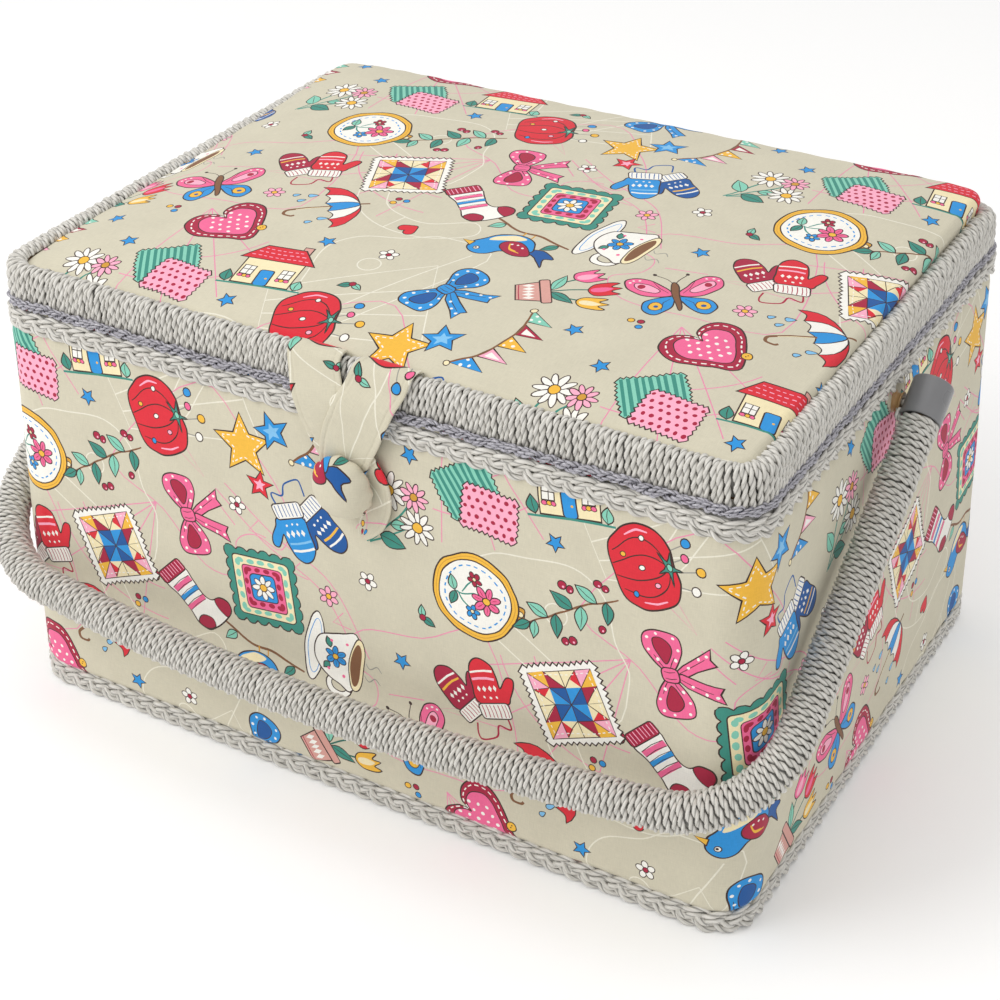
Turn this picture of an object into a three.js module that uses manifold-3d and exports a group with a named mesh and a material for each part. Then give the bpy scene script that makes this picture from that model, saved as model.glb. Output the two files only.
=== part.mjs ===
// Large rectangular sewing box: padded, fabric-covered box with a hinged lid,
// rope-wound lid rim, swing-over bail handle, strap-and-button closure and a
// lift-out compartment tray.  Units: millimetres.  +Z up, front of the box
// faces -Y, origin on the table under the middle of the box.
import * as THREE from 'three';
import { mergeVertices } from 'three/addons/utils/BufferGeometryUtils.js';
import Module from 'manifold-3d';

const wasm = await Module();
wasm.setup();

// ---------------------------------------------------------------- dimensions
const HX = 178.6;            // half width over the body cover
const HY = 132.4;            // half depth over the body cover
const CORNER = 16;           // radius of the upright body corners
const COVER_T = 0.8;         // printed cotton
const WADDING_T = 2.4;       // foam wadding under the cotton
const BOARD_T = 4;           // hardboard walls
const LINING_T = 0.8;        // lining
const GAP = 0.2;             // glue line between layers
const BOARD_TOP = 196.5;     // top edge of the wall boards
const COVER_TOP = 195.8;     // top edge of the body cover
const BASE_T = 0.8;          // felt under the base
const BOTTOM_Z = 1.1;        // underside of the bottom board
const BOTTOM_T = 4;

const BRAID_T = 2.3;         // braid stands this far off the cover
const TOP_BRAID = [186.2, 195.9];
const BOTTOM_BRAID = [0.4, 11.6];

const LID_FRAME = [197.3, 212.6];   // lid side frame, bottom and top
const RIM_X = 178;           // half width over the rope-wound rim
const RIM_Y = 131.8;
const RIM_BAND = [203.2, 215.8];    // rope band, bottom and top
const RIM_LIP = 6.8;         // width of the rope over the top edge
const CORD_BAND = [197.4, 202.9];   // thin twisted cord under the band
const CORD_OUT = 2.4;         // the cord stands this far outside the cover
const LID_BOARD = [208.2, 211.2];
const PAD_EDGE_Z = 215.2;    // top of the lid pad at its edge
const PAD_CROWN = 11.2;       // rise of the pad from edge to middle
const LID_LINING_Z = 207.2;

const HINGE_X = 95;          // hinge positions, left and right
const HINGE_Y = 139.4;       // pin axis
const HINGE_Z = 197.05;
const KNUCKLE_R = 2.3;
const PIN_R = 1.1;
const LEAF_HALF = 13;

const PIVOT_Y = 3;           // handle pivot
const PIVOT_Z = 179.5;
const ARM_X = 192.3;         // centre line of the handle arms
const HANDLE_R = 8.7;        // rope-wound handle radius
const CORE_R = 5;
const HANDLE_REACH = 190;  // pivot to the middle of the hand bar
const HANDLE_BOW = 8.3;        // the hand bar bows out this much more
const HANDLE_BEND = 46;      // bend radius of the handle corners
const HANDLE_DROP = 35.5;      // degrees below level at rest
const CAP_R = 8.7;           // caps are flush with the rope
const CAP_SPAN = [-12, 5.5];   // cap ends along the arm, from the pivot
const SPACER_T = 4.2;          // spacer between wall and cap on the pivot screw

const CLOSURE_X = 5;         // middle of the strap and button
const BUTTON_Z = 166;
const BUTTON_R = 14.8;
const STRAP_Y = -136.9;      // middle of the strap's thickness
const STRAP_T = 1.4;

const TRAY_X = 165.5;
const TRAY_Y = 121.8;
const TRAY_Z = [138, 183];
const TRAY_WALL = 1.8;
const LEDGE_TOP = 137.7;

// ---------------------------------------------------------------- materials
const mat = (color, roughness, metalness = 0) =>
  new THREE.MeshStandardMaterial({ color, roughness, metalness });
const M = {
  print: mat(0xcdc7b3, 0.9),
  board: mat(0x8a6a45, 0.8),
  foam: mat(0xe9e6da, 0.95),
  felt: mat(0x2f2f33, 0.95),
  lining: mat(0xb9b7b4, 0.6),
  rope: mat(0xb5b4ae, 0.75),
  cord: mat(0x87858e, 0.75),
  cap: mat(0x6f6f74, 0.45),
  steel: mat(0xb8b8b8, 0.35, 1),
  tray: mat(0xe6e6e4, 0.4),
  velvet: mat(0xb0506a, 0.95),
  ribbon: mat(0xc6c4c0, 0.5),
};

// ---------------------------------------------------------------- helpers
function clean(geometry) {
  let g = geometry.index ? geometry.toNonIndexed() : geometry.clone();
  for (const name of Object.keys(g.attributes)) if (name !== 'position') g.deleteAttribute(name);
  return mergeVertices(g, 1e-4);
}
function solid(geometry) {
  const g = clean(geometry);
  return new wasm.Manifold(new wasm.Mesh({
    numProp: 3,
    vertProperties: new Float32Array(g.attributes.position.array),
    triVerts: new Uint32Array(g.index.array),
  }));
}
function geometryOf(manifold) {
  const mesh = manifold.getMesh();
  const g = new THREE.BufferGeometry();
  g.setAttribute('position', new THREE.BufferAttribute(new Float32Array(mesh.vertProperties), 3));
  g.setIndex(new THREE.BufferAttribute(new Uint32Array(mesh.triVerts), 1));
  g.computeVertexNormals();
  return g;
}
const cut = (a, ...others) => {
  let s = a.isBufferGeometry ? solid(a) : a;
  for (const o of others) s = s.subtract(o.isBufferGeometry ? solid(o) : o);
  return s;
};
const join = (a, ...others) => {
  let s = a.isBufferGeometry ? solid(a) : a;
  for (const o of others) s = s.add(o.isBufferGeometry ? solid(o) : o);
  return s;
};
function box(x0, x1, y0, y1, z0, z1) {
  const g = new THREE.BoxGeometry(x1 - x0, y1 - y0, z1 - z0);
  g.translate((x0 + x1) / 2, (y0 + y1) / 2, (z0 + z1) / 2);
  return g;
}
function roundedRect(target, hx, hy, r) {
  target.moveTo(-hx + r, -hy);
  target.lineTo(hx - r, -hy);
  target.absarc(hx - r, -hy + r, r, -Math.PI / 2, 0, false);
  target.lineTo(hx, hy - r);
  target.absarc(hx - r, hy - r, r, 0, Math.PI / 2, false);
  target.lineTo(-hx + r, hy);
  target.absarc(-hx + r, hy - r, r, Math.PI / 2, Math.PI, false);
  target.lineTo(-hx, -hy + r);
  target.absarc(-hx + r, -hy + r, r, Math.PI, Math.PI * 1.5, false);
  return target;
}
function slab(hx, hy, r, z0, z1, seg = 3) {
  const g = new THREE.ExtrudeGeometry(roundedRect(new THREE.Shape(), hx, hy, r),
    { depth: z1 - z0, bevelEnabled: false, curveSegments: seg });
  g.translate(0, 0, z0);
  return g;
}
// upright band between two rounded outlines that share their corner centres
function band(hx, hy, inset0, inset1, z0, z1, seg = 3) {
  const shape = roundedRect(new THREE.Shape(), hx - inset0, hy - inset0, CORNER - inset0);
  shape.holes.push(roundedRect(new THREE.Path(), hx - inset1, hy - inset1, Math.max(CORNER - inset1, 0.8)));
  const g = new THREE.ExtrudeGeometry(shape, { depth: z1 - z0, bevelEnabled: false, curveSegments: seg });
  g.translate(0, 0, z0);
  return g;
}
// outline with 45 degree corners, used inside the corner posts
function chamferSlab(hx, hy, c, z0, z1) {
  const s = new THREE.Shape();
  s.moveTo(-hx + c, -hy); s.lineTo(hx - c, -hy); s.lineTo(hx, -hy + c); s.lineTo(hx, hy - c);
  s.lineTo(hx - c, hy); s.lineTo(-hx + c, hy); s.lineTo(-hx, hy - c); s.lineTo(-hx, -hy + c);
  s.closePath();
  const g = new THREE.ExtrudeGeometry(s, { depth: z1 - z0, bevelEnabled: false });
  g.translate(0, 0, z0);
  return g;
}
function rod(r, length, axis, at, seg = 16, r2 = r) {
  const g = new THREE.CylinderGeometry(r, r2, length, seg);
  if (axis === 'x') g.rotateZ(-Math.PI / 2);
  if (axis === 'z') g.rotateX(Math.PI / 2);
  g.translate(...at);
  return g;
}

const object = new THREE.Group();
function put(name, shape, material, parent = object) {
  const g = shape.isBufferGeometry ? shape : geometryOf(shape);
  const mesh = new THREE.Mesh(g, material);
  mesh.name = name;
  parent.add(mesh);
  return mesh;
}

// ---------------------------------------------------------------- body
const boardOut = COVER_T + WADDING_T + 2 * GAP;        // inset of the boards' outer face
const boardIn = boardOut + BOARD_T;
const liningOut = boardIn + GAP;
const liningIn = liningOut + LINING_T;
const cornerX = HX - CORNER;
const cornerY = HY - CORNER;
const postR = CORNER - boardOut;
const postChord = postR - BOARD_T;

const body = new THREE.Group();
object.add(body);

const hingeNotchBody = [-1, 1].map((s) => box(s * HINGE_X - LEAF_HALF - 0.3, s * HINGE_X + LEAF_HALF + 0.3,
  HY - boardIn - 1, HY + 10, HINGE_Z - 1.15, HINGE_Z + 1));
const screwAt = [];
for (const s of [-1, 1]) for (const d of [-8, 8]) screwAt.push([s * HINGE_X + d, HY - boardOut - BOARD_T / 2]);

put('front_board', cut(
  box(-cornerX + 0.1, cornerX - 0.1, -HY + boardOut, -HY + boardIn, BOTTOM_Z, BOARD_TOP),
  rod(3.4, 20, 'y', [CLOSURE_X, -HY + boardOut, BUTTON_Z])), M.board, body);
put('back_board', cut(
  box(-cornerX + 0.1, cornerX - 0.1, HY - boardIn, HY - boardOut, BOTTOM_Z, BOARD_TOP),
  ...hingeNotchBody, ...screwAt.map(([x, y]) => rod(1.15, 22, 'z', [x, y, HINGE_Z], 8))), M.board, body);
for (const [name, s] of [['left_board', -1], ['right_board', 1]]) {
  put(name, cut(
    box(...(s < 0 ? [-HX + boardOut, -HX + boardIn] : [HX - boardIn, HX - boardOut]),
      -cornerY + 0.1, cornerY - 0.1, BOTTOM_Z, BOARD_TOP),
    rod(2.6, 20, 'x', [s * (HX - boardOut), PIVOT_Y, PIVOT_Z])), M.board, body);
}
for (const [name, sx, sy] of [['front_left', -1, -1], ['front_right', 1, -1], ['back_left', -1, 1], ['back_right', 1, 1]]) {
  const s = new THREE.Shape();
  s.moveTo(0.1, postChord);
  s.lineTo(0.1, postR - 0.002);
  for (let i = 1; i < 6; i++) {
    const t = Math.PI / 2 * (1 - i / 6);
    s.lineTo(postR * Math.cos(t), postR * Math.sin(t));
  }
  s.lineTo(postR - 0.002, 0.1);
  s.lineTo(postChord, 0.1);
  s.closePath();
  const g = new THREE.ExtrudeGeometry(s, { depth: BOARD_TOP - BOTTOM_Z, bevelEnabled: false });
  g.rotateZ(sx > 0 ? (sy > 0 ? 0 : -Math.PI / 2) : (sy > 0 ? Math.PI / 2 : Math.PI));
  g.translate(sx * cornerX, sy * cornerY, BOTTOM_Z);
  put(`corner_post_${name}`, g, M.board, body);
}
put('bottom_board', chamferSlab(HX - boardIn - GAP, HY - boardIn - GAP, postChord + 0.6,
  BOTTOM_Z, BOTTOM_Z + BOTTOM_T), M.board, body);

const pivotHoles = [rod(2.7, 2 * HX + 20, 'x', [0, PIVOT_Y, PIVOT_Z], 12)];
const stemHole = rod(3.4, 24, 'y', [CLOSURE_X, -HY, BUTTON_Z], 12);
put('body_wadding', cut(band(HX, HY, COVER_T + GAP, COVER_T + GAP + WADDING_T, 13, 183.5),
  ...pivotHoles, stemHole), M.foam, body);
put('body_cover', cut(band(HX, HY, 0, COVER_T, BOTTOM_Z, COVER_TOP), ...pivotHoles, stemHole), M.print, body);
put('base_cover', slab(HX - 0.4, HY - 0.4, CORNER - 0.4, 0, BASE_T), M.felt, body);

// lining: a floor and four walls in one open-topped skin
const liningOuter = chamferSlab(HX - liningOut, HY - liningOut, postChord + 0.4, BOTTOM_Z + BOTTOM_T + GAP, COVER_TOP);
const liningInner = chamferSlab(HX - liningIn, HY - liningIn, postChord + 0.9, BOTTOM_Z + BOTTOM_T + GAP + LINING_T, COVER_TOP + 5);
put('body_lining', cut(liningOuter, liningInner, ...pivotHoles, stemHole), M.lining, body);

put('top_braid', band(HX + GAP + BRAID_T, HY + GAP + BRAID_T, -0, BRAID_T, ...TOP_BRAID), M.rope, body);
put('bottom_braid', band(HX + GAP + BRAID_T, HY + GAP + BRAID_T, 0, BRAID_T, BOTTOM_BRAID[0], BOTTOM_BRAID[1]), M.rope, body);

for (const [name, s] of [['tray_ledge_left', -1], ['tray_ledge_right', 1]]) {
  const outer = HX - liningIn - GAP;
  put(name, box(...(s < 0 ? [-outer, -outer + 10] : [outer - 10, outer]), -100, 100, LEDGE_TOP - 12, LEDGE_TOP), M.board, body);
}

// button: covered dome on a stem with a flange inside
const dome = new THREE.LatheGeometry([
  new THREE.Vector2(0, 0), new THREE.Vector2(11.5, 0), new THREE.Vector2(14.2, 0.9), new THREE.Vector2(BUTTON_R, 2.6),
  new THREE.Vector2(14.0, 5.2), new THREE.Vector2(11.4, 8.0), new THREE.Vector2(7.4, 9.9), new THREE.Vector2(3.6, 10.7),
  new THREE.Vector2(0, 10.9)], 18);
dome.rotateX(Math.PI);            // dome's top to -Y
dome.translate(0, 0, 0);
dome.applyMatrix4(new THREE.Matrix4().makeTranslation(CLOSURE_X, -139.3, BUTTON_Z));
put('closure_button', dome, M.print, body);
put('button_stem', join(
  rod(3, 15.4, 'y', [CLOSURE_X, -131.3, BUTTON_Z], 12),
  rod(6, 1, 'y', [CLOSURE_X, -HY + liningIn + 0.7, BUTTON_Z], 16)), M.steel, body);

// handle pivot washers, outside and inside the wall
for (const [side, s] of [['left', -1], ['right', 1]]) {
  put(`pivot_washer_outer_${side}`, cut(
    rod(4.8, SPACER_T, 'x', [s * (HX + GAP + SPACER_T / 2), PIVOT_Y, PIVOT_Z], 20),
    rod(2.7, 12, 'x', [s * (HX + GAP + SPACER_T / 2), PIVOT_Y, PIVOT_Z], 12)), M.steel, body);
  put(`pivot_washer_inner_${side}`, cut(
    rod(6.5, 0.8, 'x', [s * (HX - liningIn - 0.6), PIVOT_Y, PIVOT_Z], 20),
    rod(2.7, 6, 'x', [s * (HX - liningIn - 0.6), PIVOT_Y, PIVOT_Z], 12)), M.steel, body);
}

// ---------------------------------------------------------------- hinges
const LEAF_T = 0.8;
for (const [side, s] of [['left', -1], ['right', 1]]) {
  const cx = s * HINGE_X;
  const bore = rod(PIN_R + 0.25, 60, 'x', [cx, HINGE_Y, HINGE_Z], 10);
  const leafBack = HINGE_Y - KNUCKLE_R - 0.4;
  const leafFront = HY - boardIn + 0.5;
  const sink = (x, y, up) => join(
    rod(1.15, 6, 'z', [x, y, HINGE_Z], 8),
    up > 0 ? rod(1.95, LEAF_T + 0.02, 'z', [x, y, HINGE_Z - 0.1 - LEAF_T / 2], 8, 1.1)
      : rod(1.1, LEAF_T + 0.02, 'z', [x, y, HINGE_Z + 0.1 + LEAF_T / 2], 8, 1.95));
  const mine = screwAt.filter(([x]) => Math.abs(x - cx) < 20);
  // leaf let into the back board
  let z1 = HINGE_Z - 0.1, z0 = z1 - LEAF_T;
  put(`hinge_leaf_body_${side}`, cut(join(
    box(cx - LEAF_HALF, cx + LEAF_HALF, leafFront, leafBack, z0, z1),
    box(cx - LEAF_HALF, cx - 5.2, leafBack - 1, HINGE_Y, z0, z1),
    box(cx + 5.2, cx + LEAF_HALF, leafBack - 1, HINGE_Y, z0, z1),
    rod(KNUCKLE_R, LEAF_HALF - 5.2, 'x', [cx - (LEAF_HALF + 5.2) / 2, HINGE_Y, HINGE_Z], 18),
    rod(KNUCKLE_R, LEAF_HALF - 5.2, 'x', [cx + (LEAF_HALF + 5.2) / 2, HINGE_Y, HINGE_Z], 18)),
  bore, ...mine.map(([x, y]) => sink(x, y, 1))), M.steel, body);
  put(`hinge_pin_${side}`, join(
    rod(PIN_R, 28, 'x', [cx, HINGE_Y, HINGE_Z], 10),
    rod(1.9, 0.8, 'x', [cx - 13.7, HINGE_Y, HINGE_Z], 12),
    rod(1.9, 0.8, 'x', [cx + 13.7, HINGE_Y, HINGE_Z], 12)), M.steel, body);
}
screwAt.forEach(([x, y], i) => {
  put(`hinge_screw_body_${i + 1}`, join(
    rod(0.9, 9, 'z', [x, y, HINGE_Z - 0.15 - 4.5], 8),
    rod(1.65, 0.7, 'z', [x, y, HINGE_Z - 0.15 - 0.35], 8, 0.9)), M.steel, body);
});

// ---------------------------------------------------------------- lid
const lid = new THREE.Group();
object.add(lid);
{
  const hingeNotchLid = [-1, 1].map((s) => box(s * HINGE_X - LEAF_HALF - 0.3, s * HINGE_X + LEAF_HALF + 0.3,
    HY - boardIn - 1, HY + 10, HINGE_Z - 1, HINGE_Z + 1.15));
  put('lid_frame', cut(band(HX, HY, boardOut, boardIn, ...LID_FRAME), ...hingeNotchLid,
    ...screwAt.map(([x, y]) => rod(1.15, 22, 'z', [x, y, HINGE_Z], 8))), M.board, lid);
  const rimInset = HX - RIM_X;
  put('rim_rope', join(
    band(HX, HY, rimInset, boardOut - 0.2, RIM_BAND[0], RIM_BAND[1]),
    band(HX, HY, rimInset, rimInset + RIM_LIP, LID_FRAME[1] + 0.3, RIM_BAND[1])), M.rope, lid);
  put('rim_cord', cut(band(HX + CORD_OUT, HY + CORD_OUT, 0, CORD_OUT + boardOut - 0.2, ...CORD_BAND), ...hingeNotchLid), M.cord, lid);

  // padded panel: board, foam and printed cotton
  const padInset = boardIn + GAP;
  const crown = (inset, drop, z0) => {
    const hx = HX - inset, hy = HY - inset;
    const g = new THREE.BoxGeometry(2 * hx, 2 * hy, 1, 14, 10, 1);
    const p = g.attributes.position;
    for (let i = 0; i < p.count; i++) {
      const u = p.getX(i) / hx, v = p.getY(i) / hy;
      // the outermost grid lines move close to the edge, so the pad rises quickly there
      const ease = (t) => Math.sign(t) * (1 - Math.pow(Math.max(0, 1 - Math.abs(t)), 1.6));
      p.setX(i, ease(u) * hx);
      p.setY(i, ease(v) * hy);
      const ru = ease(u), rv = ease(v);
      const rise = PAD_CROWN * Math.pow(Math.max(0, 1 - Math.pow(Math.abs(ru), 3.2)), 0.55)
        * Math.pow(Math.max(0, 1 - Math.pow(Math.abs(rv), 3.2)), 0.55);
      p.setZ(i, p.getZ(i) > 0 ? PAD_EDGE_Z - drop + rise : z0);
    }
    return solid(g).intersect(solid(slab(hx, hy, Math.max(CORNER - inset, 1.5), z0 - 1, 260)));
  };
  const top = crown(padInset, 0, LID_BOARD[0]);
  put('lid_cover', cut(top, crown(padInset + 0.8, 0.8, LID_BOARD[0] - 1)), M.print, lid);
  put('lid_foam', crown(padInset + 1.1, 1.1, LID_BOARD[1] + 0.3), M.foam, lid);
  put('lid_board', slab(HX - padInset - 1.1, HY - padInset - 1.1, Math.max(CORNER - padInset - 1.1, 1.5), ...LID_BOARD), M.board, lid);

  // lining inside the lid
  const lo = boardIn + 0.2;
  put('lid_lining', cut(
    slab(HX - lo, HY - lo, CORNER - lo, LID_FRAME[0] + 0.6, LID_LINING_Z + LINING_T),
    slab(HX - lo - LINING_T, HY - lo - LINING_T, CORNER - lo - LINING_T, LID_FRAME[0] - 2, LID_LINING_Z)), M.lining, lid);
  // flat pocket for patterns, open towards the front, with an elastic top edge
  put('lid_pocket', box(-135, 135, -18, 104, LID_LINING_Z - 1.1, LID_LINING_Z - 0.3), M.lining, lid);
  put('pocket_elastic', box(-135, 135, -23, -18.3, LID_LINING_Z - 2.3, LID_LINING_Z - 0.3), M.ribbon, lid);
  // pincushion sewn inside the lid
  const pin = new THREE.ExtrudeGeometry(roundedRect(new THREE.Shape(), 40, 22, 8),
    { depth: 3, bevelEnabled: true, bevelThickness: 2.8, bevelSize: 4, bevelSegments: 2, curveSegments: 2 });
  pin.translate(0, -70, LID_LINING_Z - 0.3 - 2.8 - 3);
  put('pincushion', pin, M.velvet, lid);

  for (const [side, s] of [['left', -1], ['right', 1]]) {
    const cx = s * HINGE_X;
    const bore = rod(PIN_R + 0.25, 60, 'x', [cx, HINGE_Y, HINGE_Z], 10);
    const leafBack = HINGE_Y - KNUCKLE_R - 0.4;
    const leafFront = HY - boardIn + 0.5;
    const z0 = HINGE_Z + 0.1, z1 = z0 + LEAF_T;
    const mine = screwAt.filter(([x]) => Math.abs(x - cx) < 20);
    put(`hinge_leaf_lid_${side}`, cut(join(
      box(cx - LEAF_HALF, cx + LEAF_HALF, leafFront, leafBack, z0, z1),
      box(cx - 4.8, cx + 4.8, leafBack - 1, HINGE_Y, z0, z1),
      rod(KNUCKLE_R, 9.6, 'x', [cx, HINGE_Y, HINGE_Z], 18)),
    bore, ...mine.map(([x, y]) => join(
      rod(1.15, 6, 'z', [x, y, HINGE_Z], 8),
      rod(1.1, LEAF_T + 0.02, 'z', [x, y, HINGE_Z + 0.1 + LEAF_T / 2], 8, 1.95)))), M.steel, lid);
  }
  screwAt.forEach(([x, y], i) => {
    put(`hinge_screw_lid_${i + 1}`, join(
      rod(0.9, 9, 'z', [x, y, HINGE_Z + 0.15 + 4.5], 8),
      rod(0.9, 0.7, 'z', [x, y, HINGE_Z + 0.15 + 0.35], 8, 1.65)), M.steel, lid);
  });
}

// lid stay ribbons, folded between the lid and the walls while the lid is shut
const STAY_Z = [194.5, 206.3];
const STAY_REACH = 159.4;      // hinge to the ribbon's ends
const STAY_OPEN = 100;         // degrees
function stayOutline() {
  const half = (STAY_OPEN / 2) * Math.PI / 180;
  const near = STAY_REACH * Math.cos(half);
  const line = [];
  const n = 16;
  for (let i = 0; i <= n; i++) {
    const t = i / n;
    const w = t * t * (3 - 2 * t);
    line.push([HINGE_Y - near / Math.cos(2 * half * (w - 0.5)), STAY_Z[0] + (STAY_Z[1] - STAY_Z[0]) * t]);
  }
  return line;
}
for (const [side, s] of [['left', -1], ['right', 1]]) {
  const line = stayOutline();
  const sh = new THREE.Shape();
  line.forEach(([y, z], i) => (i ? sh.lineTo(y + 0.25, z) : sh.moveTo(y + 0.25, z)));
  [...line].reverse().forEach(([y, z]) => sh.lineTo(y - 0.35, z));
  sh.closePath();
  const g = new THREE.ExtrudeGeometry(sh, { depth: 7.6, bevelEnabled: false });
  g.applyMatrix4(new THREE.Matrix4().set(0, 0, 1, 0, 1, 0, 0, 0, 0, 1, 0, 0, 0, 0, 0, 1));
  g.translate(s > 0 ? HX - liningIn - 0.4 - 7.6 : -(HX - liningIn - 0.4), 0, 0);
  put(`lid_stay_${side}`, g, M.ribbon, body);
}

// ---------------------------------------------------------------- closure strap
{
  const z = 216.1;
  put('closure_tab', join(
    box(CLOSURE_X - 31, CLOSURE_X - 5, -134.6, -126, z, z + 1.3),
    box(CLOSURE_X + 3.5, CLOSURE_X + 31, -134.6, -126, z, z + 1.3),
    box(CLOSURE_X - 31, CLOSURE_X + 31, -127.2, -125.6, z, z + 1.3)), M.print, lid);

  const s = new THREE.Shape();
  s.moveTo(-31, 215.1);
  s.lineTo(-5, 215.1);
  s.lineTo(-2, 205.5);
  s.lineTo(3.5, 215.1);
  s.lineTo(31, 215.1);
  s.lineTo(24, 202);
  s.lineTo(18, 188);
  s.lineTo(15, 176);
  s.absarc(0, BUTTON_Z, 17.5, 0.55, -Math.PI - 0.55, true);
  s.lineTo(-18, 188);
  s.lineTo(-26, 202);
  s.closePath();
  const hole = new THREE.Path();
  hole.absarc(0, BUTTON_Z, 6.5, 0, 2 * Math.PI, false);
  s.holes.push(hole);
  const g = new THREE.ExtrudeGeometry(s, { depth: STRAP_T, bevelEnabled: false, curveSegments: 14 });
  g.rotateX(Math.PI / 2);
  g.translate(CLOSURE_X, STRAP_Y + STRAP_T / 2, 0);
  put('closure_loop', g, M.print);
}

// ---------------------------------------------------------------- handle
{
  const a = HANDLE_DROP * Math.PI / 180;
  const along = new THREE.Vector3(0, -Math.cos(a), -Math.sin(a));
  const pivot = new THREE.Vector3(0, PIVOT_Y, PIVOT_Z);
  const at = (x, v) => new THREE.Vector3(x, 0, 0).add(pivot).addScaledVector(along, v);
  const coreStart = CAP_SPAN[0] + 4.2;      // the cane core runs into the cap
  const ropeStart = CAP_SPAN[1] + 0.4;      // the rope stops at the cap's mouth
  const half = [];
  for (let i = 0; i <= 5; i++) half.push([ARM_X, coreStart + (HANDLE_REACH - HANDLE_BEND - coreStart) * i / 5]);
  for (let i = 1; i <= 7; i++) {
    const t = (i / 7) * Math.PI / 2;
    half.push([ARM_X - HANDLE_BEND + HANDLE_BEND * Math.cos(t), HANDLE_REACH - HANDLE_BEND + HANDLE_BEND * Math.sin(t)]);
  }
  const flat = ARM_X - HANDLE_BEND;
  for (let i = 1; i <= 4; i++) {
    const x = flat * (1 - i / 5);
    half.push([x, HANDLE_REACH + HANDLE_BOW * (1 - (x / flat) ** 2)]);
  }
  const points = [...half.map(([x, v]) => at(x, v)), at(0, HANDLE_REACH + HANDLE_BOW), ...[...half].reverse().map(([x, v]) => at(-x, v))];
  const path = new THREE.CatmullRomCurve3(points, false, 'centripetal');
  const down = new THREE.Quaternion().setFromUnitVectors(new THREE.Vector3(0, 1, 0), along);
  const capRoom = [-1, 1].map((s) => {
    const g = new THREE.CylinderGeometry(12, 12, 24, 24);
    g.applyQuaternion(down);
    const c = at(s * ARM_X, ropeStart - 12);
    g.translate(c.x, c.y, c.z);
    return g;
  });
  const pivotBores = [-1, 1].map((s) => rod(2.6, 16, 'x', [s * (ARM_X - 7), PIVOT_Y, PIVOT_Z], 12));
  const ring = (r) => { const s = new THREE.Shape(); s.absarc(0, 0, r, 0, 2 * Math.PI, false); return s; };
  const wrapShape = ring(HANDLE_R);
  const wrapHole = new THREE.Path();
  wrapHole.absarc(0, 0, CORE_R + 0.35, 0, 2 * Math.PI, false);
  wrapShape.holes.push(wrapHole);
  put('handle_rope', cut(new THREE.ExtrudeGeometry(wrapShape, { steps: 44, curveSegments: 5, extrudePath: path, bevelEnabled: false }), ...capRoom), M.rope);
  put('handle_core', cut(new THREE.ExtrudeGeometry(ring(CORE_R), { steps: 44, curveSegments: 4, extrudePath: path, bevelEnabled: false }), ...pivotBores), M.board);

  for (const [side, s] of [['left', -1], ['right', 1]]) {
    // smooth ferrule: closed at the top with a rounded edge, bored for the core from below
    const len = CAP_SPAN[1] - CAP_SPAN[0];
    const cup = new THREE.LatheGeometry([
      new THREE.Vector2(0, len), new THREE.Vector2(CAP_R - 1.2, len), new THREE.Vector2(CAP_R - 0.3, len - 0.5), new THREE.Vector2(CAP_R, len - 1.4),
      new THREE.Vector2(CAP_R, 0.4), new THREE.Vector2(CAP_R - 0.4, 0), new THREE.Vector2(CORE_R + 0.35, 0),
      new THREE.Vector2(CORE_R + 0.35, len - 3.9), new THREE.Vector2(0, len - 3.9)].reverse(), 20);
    // local +Y runs from the open end up to the closed end
    const q = new THREE.Quaternion().setFromUnitVectors(new THREE.Vector3(0, 1, 0), along.clone().negate());
    cup.applyQuaternion(q);
    const open = at(s * ARM_X, CAP_SPAN[1]);
    cup.translate(open.x, open.y, open.z);
    put(`handle_cap_${side}`, cut(cup, pivotBores[s < 0 ? 0 : 1]), M.cap);
    put(`pivot_screw_${side}`, join(
      rod(2.2, 23.5, 'x', [s * (HX - liningIn - 1.2 + 11.75), PIVOT_Y, PIVOT_Z], 12),
      rod(4.6, 2, 'x', [s * (HX - liningIn - 1.2 - 1), PIVOT_Y, PIVOT_Z], 12)), M.steel);
  }
}

// ---------------------------------------------------------------- tray
{
  const s = roundedRect(new THREE.Shape(), TRAY_X, TRAY_Y, 10);
  const cells = [];
  const cell = (x0, x1, y0, y1) => {
    const hx = (x1 - x0) / 2, hy = (y1 - y0) / 2;
    const h = roundedRect(new THREE.Path(), hx, hy, 6);
    const moved = new THREE.Path(h.getPoints(3).map((p) => new THREE.Vector2(p.x + (x0 + x1) / 2, p.y + (y0 + y1) / 2)));
    s.holes.push(moved);
    cells.push([x0, x1, y0, y1]);
  };
  const w = TRAY_WALL, x = TRAY_X - w, y = TRAY_Y - w;
  cell(-x, x, -y, -y + 72);                                 // long front compartment for scissors and tapes
  cell(-x, -x / 3 - w / 2, -y + 72 + w, y);                  // three deep cells behind it
  cell(-x / 3 + w / 2, x / 3 - w / 2, -y + 72 + w, 34);
  cell(-x / 3 + w / 2, x / 3 - w / 2, 34 + w, y);
  cell(x / 3 + w / 2, x, -y + 72 + w, 34);
  cell(x / 3 + w / 2, x, 34 + w, y);
  const walls = new THREE.ExtrudeGeometry(s, { depth: TRAY_Z[1] - TRAY_Z[0], bevelEnabled: false, curveSegments: 3 });
  walls.translate(0, 0, TRAY_Z[0]);
  const floor = slab(TRAY_X, TRAY_Y, 10, TRAY_Z[0], TRAY_Z[0] + w, 3);
  put('tray', join(walls, floor), M.tray);
}

export default object;
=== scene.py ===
# Looks of the sewing box, built around its packed construction.
# Lengths in the helpers are millimetres; meshes are made in metres.
import math
import bmesh
import bpy
import numpy as np
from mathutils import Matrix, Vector
from mathutils.bvhtree import BVHTree
from mathutils.geometry import delaunay_2d_cdt


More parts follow.
